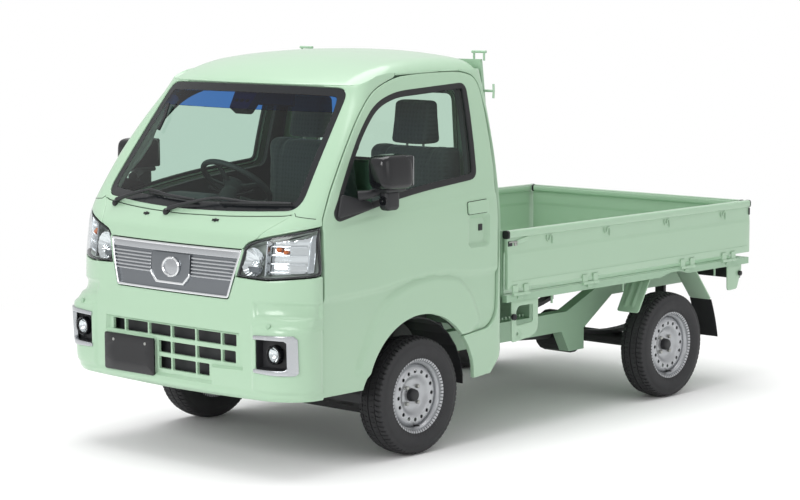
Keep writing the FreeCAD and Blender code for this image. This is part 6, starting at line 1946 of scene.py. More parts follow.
@dataclass
class Gate:
    """One side gate or the tailgate: pressed skins, a round top rail, hinge leaves and fittings.

    The gate is laid out along a line: u runs along the gate and depth goes in
    towards the load, from the plane of its lower panel.
    """

    body: Body
    low: float
    high: float
    place_of: Callable[[Array, Array, Array], Array]
    hinges: tuple[float, ...]
    hooks: tuple[float, ...] = ()
    top: float = 0.949
    bottom: float = 0.678
    rail: float = 0.036
    crease: float = 0.848
    pin_z: float = 0.652
    thickness: float = 0.0172

    def place(self, u: Array, v: Array, depth: Array) -> Array:
        """Points at u along the gate and height v, sunk by depth."""
        return self.place_of(np.asarray(u, float), np.asarray(v, float), np.broadcast_to(depth, np.shape(u)))

    def profile(self, u: Array, v: Array) -> Array:
        """Depth of the skin: the upper band lies 5 mm in, the hem and the ends 2.5 mm.

        Args:
            u: Places along the gate.
            v: Heights.

        Returns:
            The depths.
        """
        band = 0.0048 * smooth_step(v, self.crease - 0.012, self.crease + 0.006)
        bulge = 0.0025 * (1 - smooth_step(v, 0.694, 0.704))
        ends = 0.0025 * (1 - smooth_step(np.minimum(u - self.low, self.high - u), 0.016, 0.026))
        return band + np.maximum(bulge, ends * (v < self.crease))

    def inner_profile(self, u: Array, v: Array) -> Array:
        """Relief of the inner skin, nine tenths of the outer one's."""
        return self.profile(u, v) * 0.9

    def outline(self) -> Array:
        """The sheet's outline in u and v."""
        return box_loop((self.low, self.bottom), (self.high, self.top - 0.020), 0.006)

    def skins(self) -> Shell:
        """Outer and inner skins, with the outer one's border closing the edge."""
        outline = self.outline()
        creases = [box_loop((self.low + 0.02, z - 0.001), (self.high - 0.02, z + 0.001)) for z in
                   (self.crease - 0.010, self.crease + 0.004, 0.699)]
        outer = pressed(self, outline, spacing=0.03, border=Border(0.002, self.thickness - 0.002, 2),
                        extra=self.profile, lines=creases)
        inner = pressed(self, outline, spacing=0.03, border=Border(0.0015, 0.001, 1), lines=creases,
                        extra=self.inner_profile, sink=self.thickness).turned_over()
        return outward(joined([outer, inner]))

    def along(self, section: Sequence, start: float, end: float) -> Shell:
        """A section of depth and height carried along the gate, closed at its ends."""
        shell = beam([(z, d) for d, z in section], start, end, "z")
        return outward(Shell(self.place(shell.points[:, 2], shell.points[:, 0], shell.points[:, 1]),
                             shell.faces))

    def top_rail(self) -> Shell:
        """The rail: a rounded box section, flush with the outer width."""
        out = -0.003
        return self.along(box_loop((out, self.top - 0.037), (out + self.rail, self.top), 0.013),
                          self.low + 0.006, self.high - 0.004)

    def wire(self, path: Sequence, radius: float) -> Shell:
        """A bent wire through (u, v, depth) points, rounded by a mean over its length."""
        points = np.array(path, float)
        step = np.linspace(0, len(points) - 1, 8 * len(points))
        fine = np.stack([np.interp(step, np.arange(len(points)), points[:, k]) for k in range(3)], 1)
        soft = smoothed(fine, 7)
        return outward(tube(self.place(soft[:, 0], soft[:, 1], soft[:, 2]), radius, 8))

    def hook(self, u: float) -> Shell:
        """A rope hook of bent wire under the rail."""
        z = self.top - 0.040
        path = [(u - 0.020, z, 0.001), (u - 0.020, z - 0.020, 0.000), (u - 0.010, z - 0.030, 0.000),
                (u, z - 0.022, -0.0002), (u + 0.003, z - 0.006, -0.0002), (u + 0.016, z - 0.002, 0.000),
                (u + 0.022, z - 0.016, 0.000), (u + 0.022, z - 0.046, 0.001)]
        return self.wire(path, 0.0028)

    def leaf(self, u: float, width: float, moving: bool) -> Shell:
        """A hinge leaf rolled round the pin: a 15 mm roll and a flat tongue, up or down."""
        angle = np.linspace(0, 2 * np.pi, 25)[:-1]
        roll = np.stack([-0.005 + 0.0075 * np.cos(angle), self.pin_z + 0.0075 * np.sin(angle)], 1)
        parts = [self.along(roll, u - width / 2, u + width / 2)]
        reach = (self.pin_z - 0.001, self.bottom + 0.016) if moving else (self.pin_z - 0.022, self.pin_z)
        shift = 0.0 if moving else 0.004
        parts.append(self.along(box_loop((-0.0052 + shift, reach[0]), (0.001 + shift, reach[1]), 0.002),
                                u - width / 2 + 0.001, u + width / 2 - 0.001))
        return joined(parts)

    def build(self) -> None:
        """Makes the gate with its fittings and the fixed leaves on the bed."""
        label = self.body.value
        parts = [(self.skins(), ENAMEL), (self.top_rail(), ENAMEL)]
        parts += [(self.hook(u), ENAMEL) for u in self.hooks]
        moving = [self.leaf(u + step, 0.039, True) for u in self.hinges for step in (-0.0406, 0.0406)]
        parts.append((joined(moving), ENAMEL))
        # The thin strip along the gate is in the darker enamel: painted shade of the seam line.
        line = [self.along(box_loop((-0.0006, 0.7125), (0.001, 0.7140)), self.low + 0.03, self.high - 0.03)]
        parts.append((joined(line), DULL_SHADED_ENAMEL))
        parts += [(shell, finish) for shell, finish in self.fittings()]
        show(f"{label}_sheet", parts, self.body, "body_paint", [label])
        fixed = [self.leaf(u, 0.039, False) for u in self.hinges]
        show(f"{label}_fixed_leaves", [(joined(fixed), ENAMEL)], Body.CHASSIS, "body_paint")

    def fittings(self) -> list[tuple[Shell, Surface]]:
        """End caps of the rail, the latch lever and its keeper.

        Returns:
            Shells with their finishes.
        """
        out = -0.003
        cap = box_loop((out, self.top - 0.038), (out + self.rail + 0.001, self.top + 0.0004), 0.013)
        caps = [self.along(cap, self.low - 0.001, self.low + 0.010), self.along(cap, self.high - 0.008,
                                                                                self.high)]
        if not self.hooks:
            return [(joined(caps), MATT_BLACK)]
        z = self.top - 0.058
        lever = box_loop((-0.003, z - 0.010), (0.006, z + 0.012), 0.004)
        base = box_loop((0.000, z - 0.014), (0.006, z + 0.010), 0.003)
        start = self.low + 0.062
        lever_shell = self.along(lever, start, start + 0.078)
        share = (np.clip((lever_shell.points - lever_shell.points.min(0))[:, 1] / 0.078, 0, 1) * 0.012)[:,
                                                                                                        None]
        lever_shell = Shell(lever_shell.points + share * [0, 0, 1], lever_shell.faces)
        link = self.wire([(self.low + 0.004, z + 0.004, 0.002), (self.low + 0.03, z + 0.006, 0.001),
                          (start + 0.01, z + 0.002, 0.000)], 0.004)
        keeper = self.along(base, self.low + 0.004, self.low + 0.030)
        stop = self.along(box_loop((0.000, z - 0.018), (0.005, z + 0.018), 0.002), self.high - 0.012,
                          self.high - 0.004)
        return [(joined(caps + [keeper, stop]), MATT_BLACK), (lever_shell, ENAMEL),
                (joined([link, self.along(base, start - 0.016, start + 0.006)]), ZINC)]


def side_gate(side: Side) -> Gate:
    """The gate of one side, with u along Y."""
    plane = HALF_WIDTH - 0.003

    def place(u: Array, v: Array, depth: Array) -> Array:
        """Points of the side gate in space."""
        return np.stack([side.value * (plane - depth), u, v], -1)

    front, length = CAB_REAR_Y + 0.030, 1.967
    body = Body.GATE_LEFT if side is Side.LEFT else Body.GATE_RIGHT
    hinges = tuple(front + share * length for share in (0.045, 0.310, 0.715, 0.900))
    return Gate(body, front, front + length, place, hinges, (0.026, 0.466, 0.954, 1.442))


def tail_gate() -> Gate:
    """The tailgate, with u along X."""
    plane = TAIL_Y - 0.0128

    def place(u: Array, v: Array, depth: Array) -> Array:
        """Points of the tailgate in space."""
        return np.stack([u, plane - depth, v], -1)

    half = HALF_WIDTH - 0.042
    return Gate(Body.TAILGATE, -half, half, place, tuple(share * half for share in (-0.78, 0.0, 0.78)))


@dataclass
class BedFittings:
    """Fixed fittings of the bed on one side: brackets, wheel plates, flap, lamp, stay and stops."""

    side: Side
    skin_x: float = 0.7160
    foot_z: float = 0.6185

    def flip(self, shell: Shell) -> Shell:
        """The shell on this piece's side."""
        return shell.flipped(self.side)

    def on_side(self, points: Sequence, depth: float = 0.0, holes: Sequence = (),
                presses: Sequence[Press] = (), thickness: float = 0.004) -> Shell:
        """A plate over an outline in y and z, on the plane of the brackets.

        Args:
            points: The outline.
            depth: How far in it lies.
            holes: Outlines of its openings.
            presses: Its pressed areas.
            thickness: Its thickness.

        Returns:
            The plate.
        """
        chart = Plane((self.skin_x - depth, 0, 0), (0, 1, 0), (0, 0, 1))
        outline = anticlockwise(np.asarray(points, float))
        front = pressed(chart, outline, holes=holes, presses=presses, spacing=0.012,
                        border=Border(0.0012, thickness, 2))
        back = pressed(chart, outline, holes=holes, presses=presses, spacing=0.012,
                       border=Border(0.0010, 0.0, 1), sink=thickness).turned_over()
        return joined([front, back])

    def cab_bracket(self) -> list[tuple[Shell, Surface]]:
        """Bracket behind the cab: plate with a rectangular opening, round emboss and rubber stop.

        Returns:
            Shells with their finishes.
        """
        outline = rounded([(-0.230, self.foot_z), (-0.036, self.foot_z), (-0.036, 0.468), (-0.078, 0.440),
                           (-0.228, 0.424)], (0.004, 0.006, 0.03, 0.03, 0.02), 6)
        opening = rounded([(-0.196, 0.500), (-0.074, 0.508), (-0.074, 0.592), (-0.178, 0.592),
                           (-0.196, 0.570)], 0.014, 5)
        middle, ring = np.array([-0.184, 0.462]), circle(32)
        plate = self.on_side(outline, holes=[opening, middle + ring * 0.008],
                             presses=[Press(middle + ring * 0.020, 0.004, 0.006)])
        stop = turned([(0.0, 0.0003), (0.0, 0.010), (0.004, 0.014), (0.016, 0.015), (0.018, 0.010),
                       (0.018, 0.0003)], 24, "x").turned_over().moved((self.skin_x - 0.002, -0.222, 0.545))
        return [(self.flip(plate), ENAMEL), (self.flip(outward(stop)), RUBBER)]

    def wheel_plate(self, top_y: float, low_y: float, low_z: float, ribs: bool) -> Shell:
        """A sloping plate beside the wheel with turned edges, and two pressed ribs.

        The plate's chart runs across X and down its slope.

        Args:
            top_y: y of its upper edge.
            low_y: y of its lower edge.
            low_z: Height of its lower edge.
            ribs: Whether it has ribs.

        Returns:
            The plate.
        """
        fall = np.array([0.0, low_y - top_y, low_z - self.foot_z])
        length = float(np.linalg.norm(fall))
        chart = Plane((self.skin_x - 0.131, low_y, low_z), (1, 0, 0), tuple(-fall / length))
        outline = rounded([(0, 0), (0.131, 0), (0.131, length), (0, length)], (0.012, 0.016, 0.004, 0.004), 6)
        presses = [Press(box_loop((x, 0.03), (x + 0.018, length - 0.02), 0.009), -0.005, 0.010, soft=True)
                   for x in (0.030, 0.074)] if ribs else []
        front = pressed(chart, outline, presses=presses, spacing=0.008, border=Border(0.002, 0.003, 2))
        back = pressed(chart, outline, presses=presses, spacing=0.012, border=Border(0.0015, 0.0, 1),
                       sink=0.004).turned_over()
        return joined([front, back])

    def flap(self) -> Shell:
        """Rubber flap behind the rear wheel, hanging with a slight curve."""
        v, u = np.meshgrid(np.linspace(0, 1, 12), np.linspace(0, 0.131, 6), indexing="ij")
        y = REAR_AXLE_Y + 0.336 + 0.062 * v + 0.006 * np.sin(v * np.pi)
        z = 0.458 - 0.198 * v
        sheet = np.stack([self.skin_x - 0.131 + u, y, z], -1)
        thick = sheet + [0, 0.005, 0.0015]
        edges = [grid(np.stack([sheet[:, k], thick[:, k]])) for k in (0, -1)]
        ends = [grid(np.stack([sheet[k], thick[k]])) for k in (0, -1)]
        shells = [grid(sheet), grid(thick).turned_over(), edges[0], edges[1].turned_over(),
                  ends[0].turned_over(), ends[1]]
        return outward(welded(joined(shells)))

    def corner(self) -> list[tuple[Shell, Surface]]:
        """Plate below the rear corner, with its rubber stop.

        Returns:
            Shells with their finishes.
        """
        y = TAIL_Y - 0.016 - 0.040
        outline = rounded([(y - 0.130, self.foot_z), (y, self.foot_z), (y, self.foot_z - 0.030),
                           (y - 0.040, 0.492), (y - 0.126, 0.489)], (0.004, 0.004, 0.02, 0.015, 0.02), 5)
        stop = turned([(0.0, 0.0003), (0.0, 0.008), (0.004, 0.013), (0.014, 0.013), (0.016, 0.0003)], 20, "x")
        return [(self.flip(self.on_side(outline)), ENAMEL),
                (self.flip(outward(stop.moved((self.skin_x - 0.002, y - 0.022, 0.572)))), RUBBER)]

    def tail_lamp(self) -> list[tuple[Shell, Surface]]:
        """Rear lamp: black case, ribbed lens in three fields.

        Returns:
            Shells with their finishes.
        """
        low, high, y = (0.430, 0.5387), (0.690, 0.6187), TAIL_Y - 0.0160
        case = block((low[0], y - 0.045, low[1]), (high[0], y - 0.006, high[1]), 0.006)
        chart = Plane((0, y, 0), (-1, 0, 0), (0, 0, 1))
        fields = []
        for start, end, finish in ((0.006, 0.110, RED_LENS), (0.112, 0.180, AMBER), (0.182, 0.254, CHROME)):
            loop = box_loop((-high[0] + start, low[1] + 0.006), (-high[0] + end, high[1] - 0.006), 0.005)
            fields.append((pressed(chart, loop, spacing=0.006, border=Border(0.003, 0.006, 2),
                                   extra=ribbing(0.006, 0.0006), sink=0.0015), finish))
        return [(self.flip(case), MATT_BLACK)] + [(self.flip(shell), finish) for shell, finish in fields]

    def stay(self) -> list[tuple[Shell, Surface]]:
        """Corner post latch on the headboard, with its stay link down to the gate.

        Returns:
            Shells with their finishes.
        """
        y = CAB_REAR_Y + 0.046
        plate = block((0.664, y, 0.842), (0.694, y + 0.006, 0.930), 0.003)
        bosses = [turned([(0.0, 0.0003), (0.0, 0.009), (0.008, 0.009), (0.010, 0.006), (0.010, 0.0003)], 16,
                         "y").moved((0.679, y + 0.004, z)) for z in (0.858, 0.890, 0.914)]
        link = tube(np.array([(0.679, y + 0.014, 0.880), (0.681, y + 0.050, 0.846), (0.686, y + 0.150, 0.742),
                              (0.688, y + 0.190, 0.706)]), [0.005, 0.004, 0.004, 0.005], 8)
        return [(self.flip(joined([plate] + [outward(b) for b in bosses])), ENAMEL),
                (self.flip(outward(link)), ZINC)]

    def pins(self) -> Shell:
        """Drop pins under the sill."""
        places = ((0.085, 0.600), (0.640, 0.600), (1.420, 0.600))
        pins = [tube(np.array([(0.700, y, self.foot_z + 0.004), (0.700, y, z), (0.700, y, z - 0.024)]),
                     0.0055, 10) for y, z in places]
        return self.flip(joined([outward(pin) for pin in pins]))

    def build(self) -> None:
        """Makes the fittings of this side."""
        label = self.side.name.lower()
        front = self.wheel_plate(REAR_AXLE_Y - 0.190, REAR_AXLE_Y - 0.288, 0.458, True)
        rear = self.wheel_plate(REAR_AXLE_Y + 0.200, REAR_AXLE_Y + 0.336, 0.458, False)
        plates = [(self.flip(front), ENAMEL), (self.flip(rear), ENAMEL)]
        replaced = ["bed_brackets"] if self.side is Side.LEFT else []
        show(f"bed_plates_{label}", plates + self.cab_bracket() + self.corner() + [(self.pins(), ENAMEL)],
             Body.CHASSIS, "body_paint", replaced)
        show(f"rear_flap_{label}", [(self.flip(self.flap()), RUBBER)], Body.CHASSIS, "flap_rubber",
             ["mud_flaps"] if self.side is Side.LEFT else [])
        show(f"rear_lamp_{label}", self.tail_lamp(), Body.CHASSIS, "rear_lens",
             ["rear_lamps"] if self.side is Side.LEFT else [])
        show(f"corner_stay_{label}", self.stay(), Body.CHASSIS, "body_paint")


# Cabin


def cab_side(shares: Sequence) -> Array:
    """Points in y and z from shares of the cab's length and the roof's height."""
    return np.array([(NOSE_Y + along * CAB_LENGTH, up * ROOF_Z) for along, up in shares])


@dataclass
class Seat:
    """One seat: a sewn cushion and a tall backrest with its headrest, over foam.

    The cover is pulled over the foam: a closed sheet is blown up a little as
    cloth, so that it rounds between its seams.
    """

    side: Side
    middle: float = 0.335
    half: float = 0.236
    deck: float = 0.6905
    pressure: float = 4.0
    cap: float = 0.024

    def pad(self, section: Sequence, half: float, radius: float, groove: float = 0.0) -> Shell:
        """A pad from its side outline, carried across with rounded ends.

        At x the outline is moved in by radius (1 - sqrt(1 - t^2)), with t the
        share of the last radius, and by the groove where a seam runs.

        Args:
            section: Outline in y and z.
            half: Half its width.
            radius: Radius of its ends.
            groove: Depth of the two seams.

        Returns:
            The closed pad.
        """
        loop = anticlockwise(dense(rounded(section, radius, 6), 0.014))
        steps = np.sin(np.linspace(0, np.pi / 2, 7))
        ends = half - radius + radius * steps
        across = np.concatenate([-ends[::-1], np.linspace(-half + radius, half - radius, 25)[1:-1], ends])
        t = np.clip((np.abs(across) - (half - radius)) / radius, 0, 1)
        inward = radius * (1 - np.sqrt(1 - t**2))
        inward = inward + groove * np.exp(-(((np.abs(across) - half * 0.62) / 0.007) ** 2))
        rings = []
        for x, shift in zip(across, inward):
            ring = inset(loop, min(shift, radius * 0.95))
            rings.append(np.column_stack([np.full(len(ring), x), ring]))
        side = grid(np.array(rings), closed_v=True)
        return outward(joined([side, fan(rings[0], False), fan(rings[-1], True)]))

    def pads(self) -> list[Shell]:
        """Cushion, backrest and headrest."""
        lift = self.deck / ROOF_Z
        cushion = cab_side([(0.484, lift), (0.484, lift + 0.048), (0.506, lift + 0.074),
                            (0.790, lift + 0.058), (0.812, lift)])
        back = cab_side([(0.822, lift), (0.812, lift + 0.070), (0.838, 0.738), (0.858, 0.752), (0.925, 0.752),
                         (0.955, lift + 0.220), (0.955, lift + 0.004)])
        head = cab_side([(0.842, 0.757), (0.864, 0.864), (0.884, 0.868), (0.916, 0.868), (0.930, 0.757)])
        return [self.pad(cushion, self.half, 0.030, 0.006), self.pad(back, self.half, 0.026, 0.006),
                self.pad(head, self.half * 0.46, 0.026)]

    def blown(self, shell: Shell, name: str) -> Shell:
        """The pad after its cover has been blown up as cloth for 20 frames.

        Each point's travel is cut to the cap: P + d min(1, cap / |d|).

        Args:
            shell: The pad as sewn.
            name: Name of the working object.

        Returns:
            The pad as it settles.
        """
        scene = bpy.context.scene
        mesh = bpy.data.meshes.new(name)
        quads = [face.tolist() for faces in shell.faces for face in faces]
        mesh.from_pydata(shell.points.tolist(), [], quads)
        piece = bpy.data.objects.new(name, mesh)
        scene.collection.objects.link(piece)
        remesh = piece.modifiers.new("even_faces", "REMESH")
        remesh.mode, remesh.voxel_size, remesh.use_smooth_shade = "VOXEL", 0.006, True
        rest = bpy.data.meshes.new_from_object(piece.evaluated_get(bpy.context.evaluated_depsgraph_get()))
        piece.modifiers.clear()
        piece.data = rest
        cloth = piece.modifiers.new("cover", "CLOTH")
        settings = cloth.settings
        settings.use_pressure, settings.uniform_pressure_force = True, self.pressure
        settings.effector_weights.gravity = 0.0
        settings.quality, settings.mass = 4, 0.3
        settings.tension_stiffness = settings.compression_stiffness = 12.0
        settings.bending_stiffness = 6.0
        cloth.point_cache.frame_start, cloth.point_cache.frame_end = 1, 20
        before = np.empty(len(rest.vertices) * 3)
        rest.vertices.foreach_get("co", before)
        for step in range(1, 21):
            scene.frame_set(step)
        settled = piece.evaluated_get(bpy.context.evaluated_depsgraph_get()).to_mesh()
        after = np.empty(len(settled.vertices) * 3)
        settled.vertices.foreach_get("co", after)
        faces = np.empty(len(rest.loops), int)
        rest.loops.foreach_get("vertex_index", faces)
        scene.frame_set(1)
        bpy.data.objects.remove(piece)
        before, after = before.reshape(-1, 3), after.reshape(-1, 3)
        travel = after - before
        length = np.maximum(np.linalg.norm(travel, axis=1), 1e-9)[:, None]
        return Shell(before + travel * np.minimum(1.0, self.cap / length) * 0.5, [faces.reshape(-1, 4)])

    def settled(self) -> list[Shell]:
        """The three pads, blown up as cloth."""
        pads = self.pads()
        return [self.blown(pad, f"seat_work_{k}") for k, pad in enumerate(pads)]

    def build(self, pads: Sequence[Shell]) -> None:
        """Makes the seat's cushion, backrest and headrest with its two rods.

        Args:
            pads: The three settled pads, about the seat's middle.
        """
        label = self.side.name.lower()
        for word, pad in zip(("cushion", "backrest", "headrest"), pads):
            piece = show(f"seat_{word}_{label}", [(pad.moved((self.middle, 0, 0)), SEAT_CLOTH)], Body.CHASSIS,
                         "seat_fabric", ["seats"], 60, self.side)
        y, z = NOSE_Y + 0.884 * CAB_LENGTH, 0.750 * ROOF_Z
        rods = [tube(np.array([(self.middle + x, y, z - 0.02), (self.middle + x, y + 0.002, z + 0.05)]),
                     0.006, 12) for x in (-0.05, 0.05)]
        base = block((self.middle - 0.19, -1.000, self.deck - 0.0002), (self.middle + 0.19, -0.600,
                                                                        self.deck + 0.03), 0.006)
        show(f"seat_frame_{label}", [(joined([outward(rod) for rod in rods]), ZINC), (base, MATT_BLACK)],
             Body.CHASSIS, "running_gear", side=self.side)


@dataclass
class SteeringWheel:
    """Steering wheel: grained rim, three spokes that dip to the hub, and a horn pad."""

    hub: tuple[float, float, float] = (-0.335, NOSE_Y + 0.7325, 1.155)
    tilt: float = 52.0
    radius: float = 0.171
    grip: float = 0.0135

    def tilted(self, shell: Shell) -> Shell:
        """A shell laid out with its axis along Z, tilted and moved to the hub.

        (x, y, z) goes to the hub + x (1, 0, 0) + y (0, sin a, -cos a) + z (0, cos a, sin a).
        """
        a = math.radians(self.tilt)
        axes = np.array([(1, 0, 0), (0, math.sin(a), -math.cos(a)), (0, math.cos(a), math.sin(a))])
        return Shell(shell.points @ axes + np.array(self.hub), shell.faces)

    def spoke(self, turn: float, width: float) -> Shell:
        """A flat spoke with rounded edges, from the pad to the rim.

        Args:
            turn: Its direction in degrees from +X.
            width: Its width at the pad.

        Returns:
            The spoke.
        """
        a = math.radians(turn)
        out = np.array([math.cos(a), math.sin(a), 0.0])
        across = np.array([-math.sin(a), math.cos(a), 0.0])
        reach = np.linspace(0.045, self.radius - 0.004, 9)
        share = (reach - reach[0]) / (reach[-1] - reach[0])
        drop = -0.020 * (1 - smooth_step(share, 0.1, 0.9))
        loop = rounded([(-0.5, -0.5), (0.5, -0.5), (0.5, 0.5), (-0.5, 0.5)], 0.35, 4)
        wide = width * (1 - 0.45 * share)
        rows = [out * r + [0, 0, d] + across * loop[:, :1] * w + np.array([0, 0, 0.010]) * loop[:, 1:]
                for r, d, w in zip(reach, drop, wide)]
        side = grid(np.array(rows), closed_v=True)
        return outward(joined([side, fan(rows[0], False), fan(rows[-1], True)]))

    def build(self) -> None:
        """Makes the wheel."""
        turn = np.linspace(0, 2 * np.pi, 97)[:-1]
        ring = np.stack([self.radius * np.cos(turn), self.radius * np.sin(turn), 0 * turn], 1)
        rim = outward(tube(ring, self.grip, 16, closed=True))
        arms = [self.spoke(a, w) for a, w in ((0, 0.046), (180, 0.046), (270, 0.040))]
        angle = np.linspace(0, np.pi / 2, 8)
        pad = np.vstack([[(-0.040, 0.0003), (-0.040, 0.040)],
                         np.stack([-0.020 + 0.022 * np.sin(angle), 0.044 + 0.018 * np.cos(angle)], 1),
                         [(0.0035, 0.030), (0.004, 0.0003)]])
        boss = outward(turned(pad, 48, "z"))
        lines = outward(tube(np.stack([0.036 * np.cos(turn), 0.036 * np.sin(turn), 0 * turn + 0.0036], 1),
                             0.0010, 6, closed=True))
        show("steering_wheel_rim", [(self.tilted(joined([rim] + arms)), CABIN), (self.tilted(boss), CABIN),
                                    (self.tilted(lines), SHADE)],
             Body.STEERING, "cabin_plastic", ["steering_wheel"])


@dataclass
class Cabin:
    """What is seen through the glass: dash fittings, column shroud, inner mirror, pod, grip and rear pane."""

    def dash(self) -> None:
        """Hood over the dials, centre panel with its vents and radio, column shroud and glove tray."""
        wheel = SteeringWheel()
        x = wheel.hub[0]
        hood = block((x - 0.150, -1.300, 1.040), (x + 0.150, -1.178, 1.128), 0.034)
        dials = block((x - 0.120, -1.180, 1.052), (x + 0.120, -1.172, 1.112), 0.003)
        centre = block((-0.115, -1.192, 0.870), (0.150, -1.162, 1.075), 0.012)
        radio = block((-0.080, -1.163, 0.970), (0.115, -1.157, 1.040), 0.003)
        vents = [block((a, -1.170, 1.048), (a + 0.075, -1.156, 1.068), 0.004) for a in (-0.090, 0.048)]
        ends = [block((a - 0.045, -1.200, 1.005), (a + 0.045, -1.158, 1.055), 0.012) for a in (0.560, -0.560)]
        tray = block((0.200, -1.200, 0.915), (0.500, -1.160, 0.990), 0.014)
        lip = block((0.190, -1.215, 1.000), (0.520, -1.155, 1.014), 0.006)
        knobs = [outward(turned([(0.0, 0.0003), (0.0, 0.017), (-0.004, 0.019), (0.016, 0.020),
                                 (0.016, 0.0003)], 24, "y")).moved((a, -1.160, 0.925)) for a in (-0.055,
                                                                                                  0.017, 0.090)]
        a = math.radians(wheel.tilt)
        axis = np.array([0, math.cos(a), math.sin(a)])
        hub = np.array(wheel.hub)
        path = np.array([hub - axis * d for d in (0.300, 0.240, 0.120, 0.060, 0.044)])
        shroud = outward(tube(path, np.array([0.040, 0.052, 0.052, 0.046, 0.036]), 24))
        stalks = [outward(tube(np.array([hub - axis * 0.066 + [s * 0.04, 0, 0],
                                         hub - axis * 0.058 + [s * 0.11, 0, 0.008],
                                         hub - axis * 0.050 + [s * 0.150, 0, 0.014]]),
                               np.array([0.006, 0.006, 0.009]), 12)) for s in (-1, 1)]
        show("dash_fittings", [
            (joined([hood, centre, lip, shroud] + ends), CABIN), (joined([dials, radio]), GLOSS_BLACK),
            (joined(vents + knobs + stalks), MATT_BLACK), (tray, CABIN_PALE)], Body.CHASSIS, "cabin_plastic")

    def pane(self) -> None:
        """Rear pane in its rubber, standing for nothing in the frame but its own opening."""
        loop = rounded(SKIN.rear_window, 0.05)
        glass = pressed(REAR, inset(loop, 0.002), spacing=0.08, border=Border(0.001, 0.003, 1), sink=0.006)
        seal = pressed(REAR, inset(loop, -0.010), holes=[inset(loop, 0.012)], spacing=0.03,
                       border=Border(0.003, 0.006, 2), sink=-0.003)
        show("rear_pane", [(glass, WINDOW)], Body.CHASSIS, "window_glass")
        show("rear_pane_seal", [(seal, RUBBER)], Body.CHASSIS, "black_plastic")

    def mirror(self) -> None:
        """Inner mirror on its stem, and the sensor pod on the glass with three slots."""
        body = block((-0.100, -1.062, 1.528), (0.135, -1.036, 1.592), 0.012)
        face = block((-0.092, -1.038, 1.534), (0.127, -1.034, 1.586), 0.0018)
        stem = outward(tube(np.array([(0.018, -1.052, 1.575), (0.018, -1.066, 1.600),
                                      (0.018, -1.076, 1.618)]), 0.007, 12))
        pod_loop = CAB.by_x(dense(rounded([(-0.058, 1.530), (0.058, 1.530), (0.078, 1.628), (-0.078, 1.628)],
                                          0.012), 0.03))
        slots = [CAB.by_x(dense(rounded([(x - 0.012, 1.560), (x + 0.012, 1.560), (x + 0.012, 1.572),
                                         (x - 0.012, 1.572)], 0.004, 3), 0.02)) for x in (-0.034, 0.0, 0.034)]
        pod = pressed(CAB, pod_loop, holes=slots, spacing=0.02, border=Border(0.002, 0.040, 2), sink=0.010)
        back = pressed(CAB, inset(pod_loop, 0.002), spacing=0.03, border=Border(0.001, 0.001, 1), sink=0.030)
        show("inner_mirror", [(joined([body, stem]), MATT_BLACK), (face, REFLECTOR)], Body.CHASSIS,
             "black_plastic")
        show("sensor_pod", [(pod, MATT_BLACK), (back, GLOSS_BLACK)], Body.CHASSIS, "black_plastic")

    def grip(self, side: Side) -> None:
        """Pale grab loop and trim inside the A-pillar of one side.

        Args:
            side: The side it is on.
        """
        run = np.array([(-1.245, 1.470), (-1.262, 1.440), (-1.300, 1.390), (-1.350, 1.320), (-1.400, 1.250),
                        (-1.425, 1.215)])
        surface = SIDE.place(run[:, 0], run[:, 1], np.array([0.040, 0.070, 0.086, 0.086, 0.070, 0.040]))
        loop = outward(tube(surface, np.array([0.012, 0.012, 0.011, 0.011, 0.012, 0.012]), 14))
        line = np.array([(-1.150, 1.585), (-1.200, 1.535), (-1.300, 1.405), (-1.400, 1.265), (-1.470, 1.165)])
        spine = SIDE.place(line[:, 0], line[:, 1], np.full(len(line), 0.052))
        trim = outward(tube(spine, 0.026, 14))
        show(f"pillar_trim_{side.name.lower()}", [(joined([loop, trim]).flipped(side), CABIN_PALE)],
             Body.CHASSIS, "cabin_plastic")

    def build(self) -> None:
        """Makes the cabin's pieces."""
        self.dash()
        self.pane()
        self.mirror()
        pads = Seat(Side.LEFT).settled()
        for side in Side:
            self.grip(side)
            Seat(side).build(pads)
        SteeringWheel().build()


# Outer trim


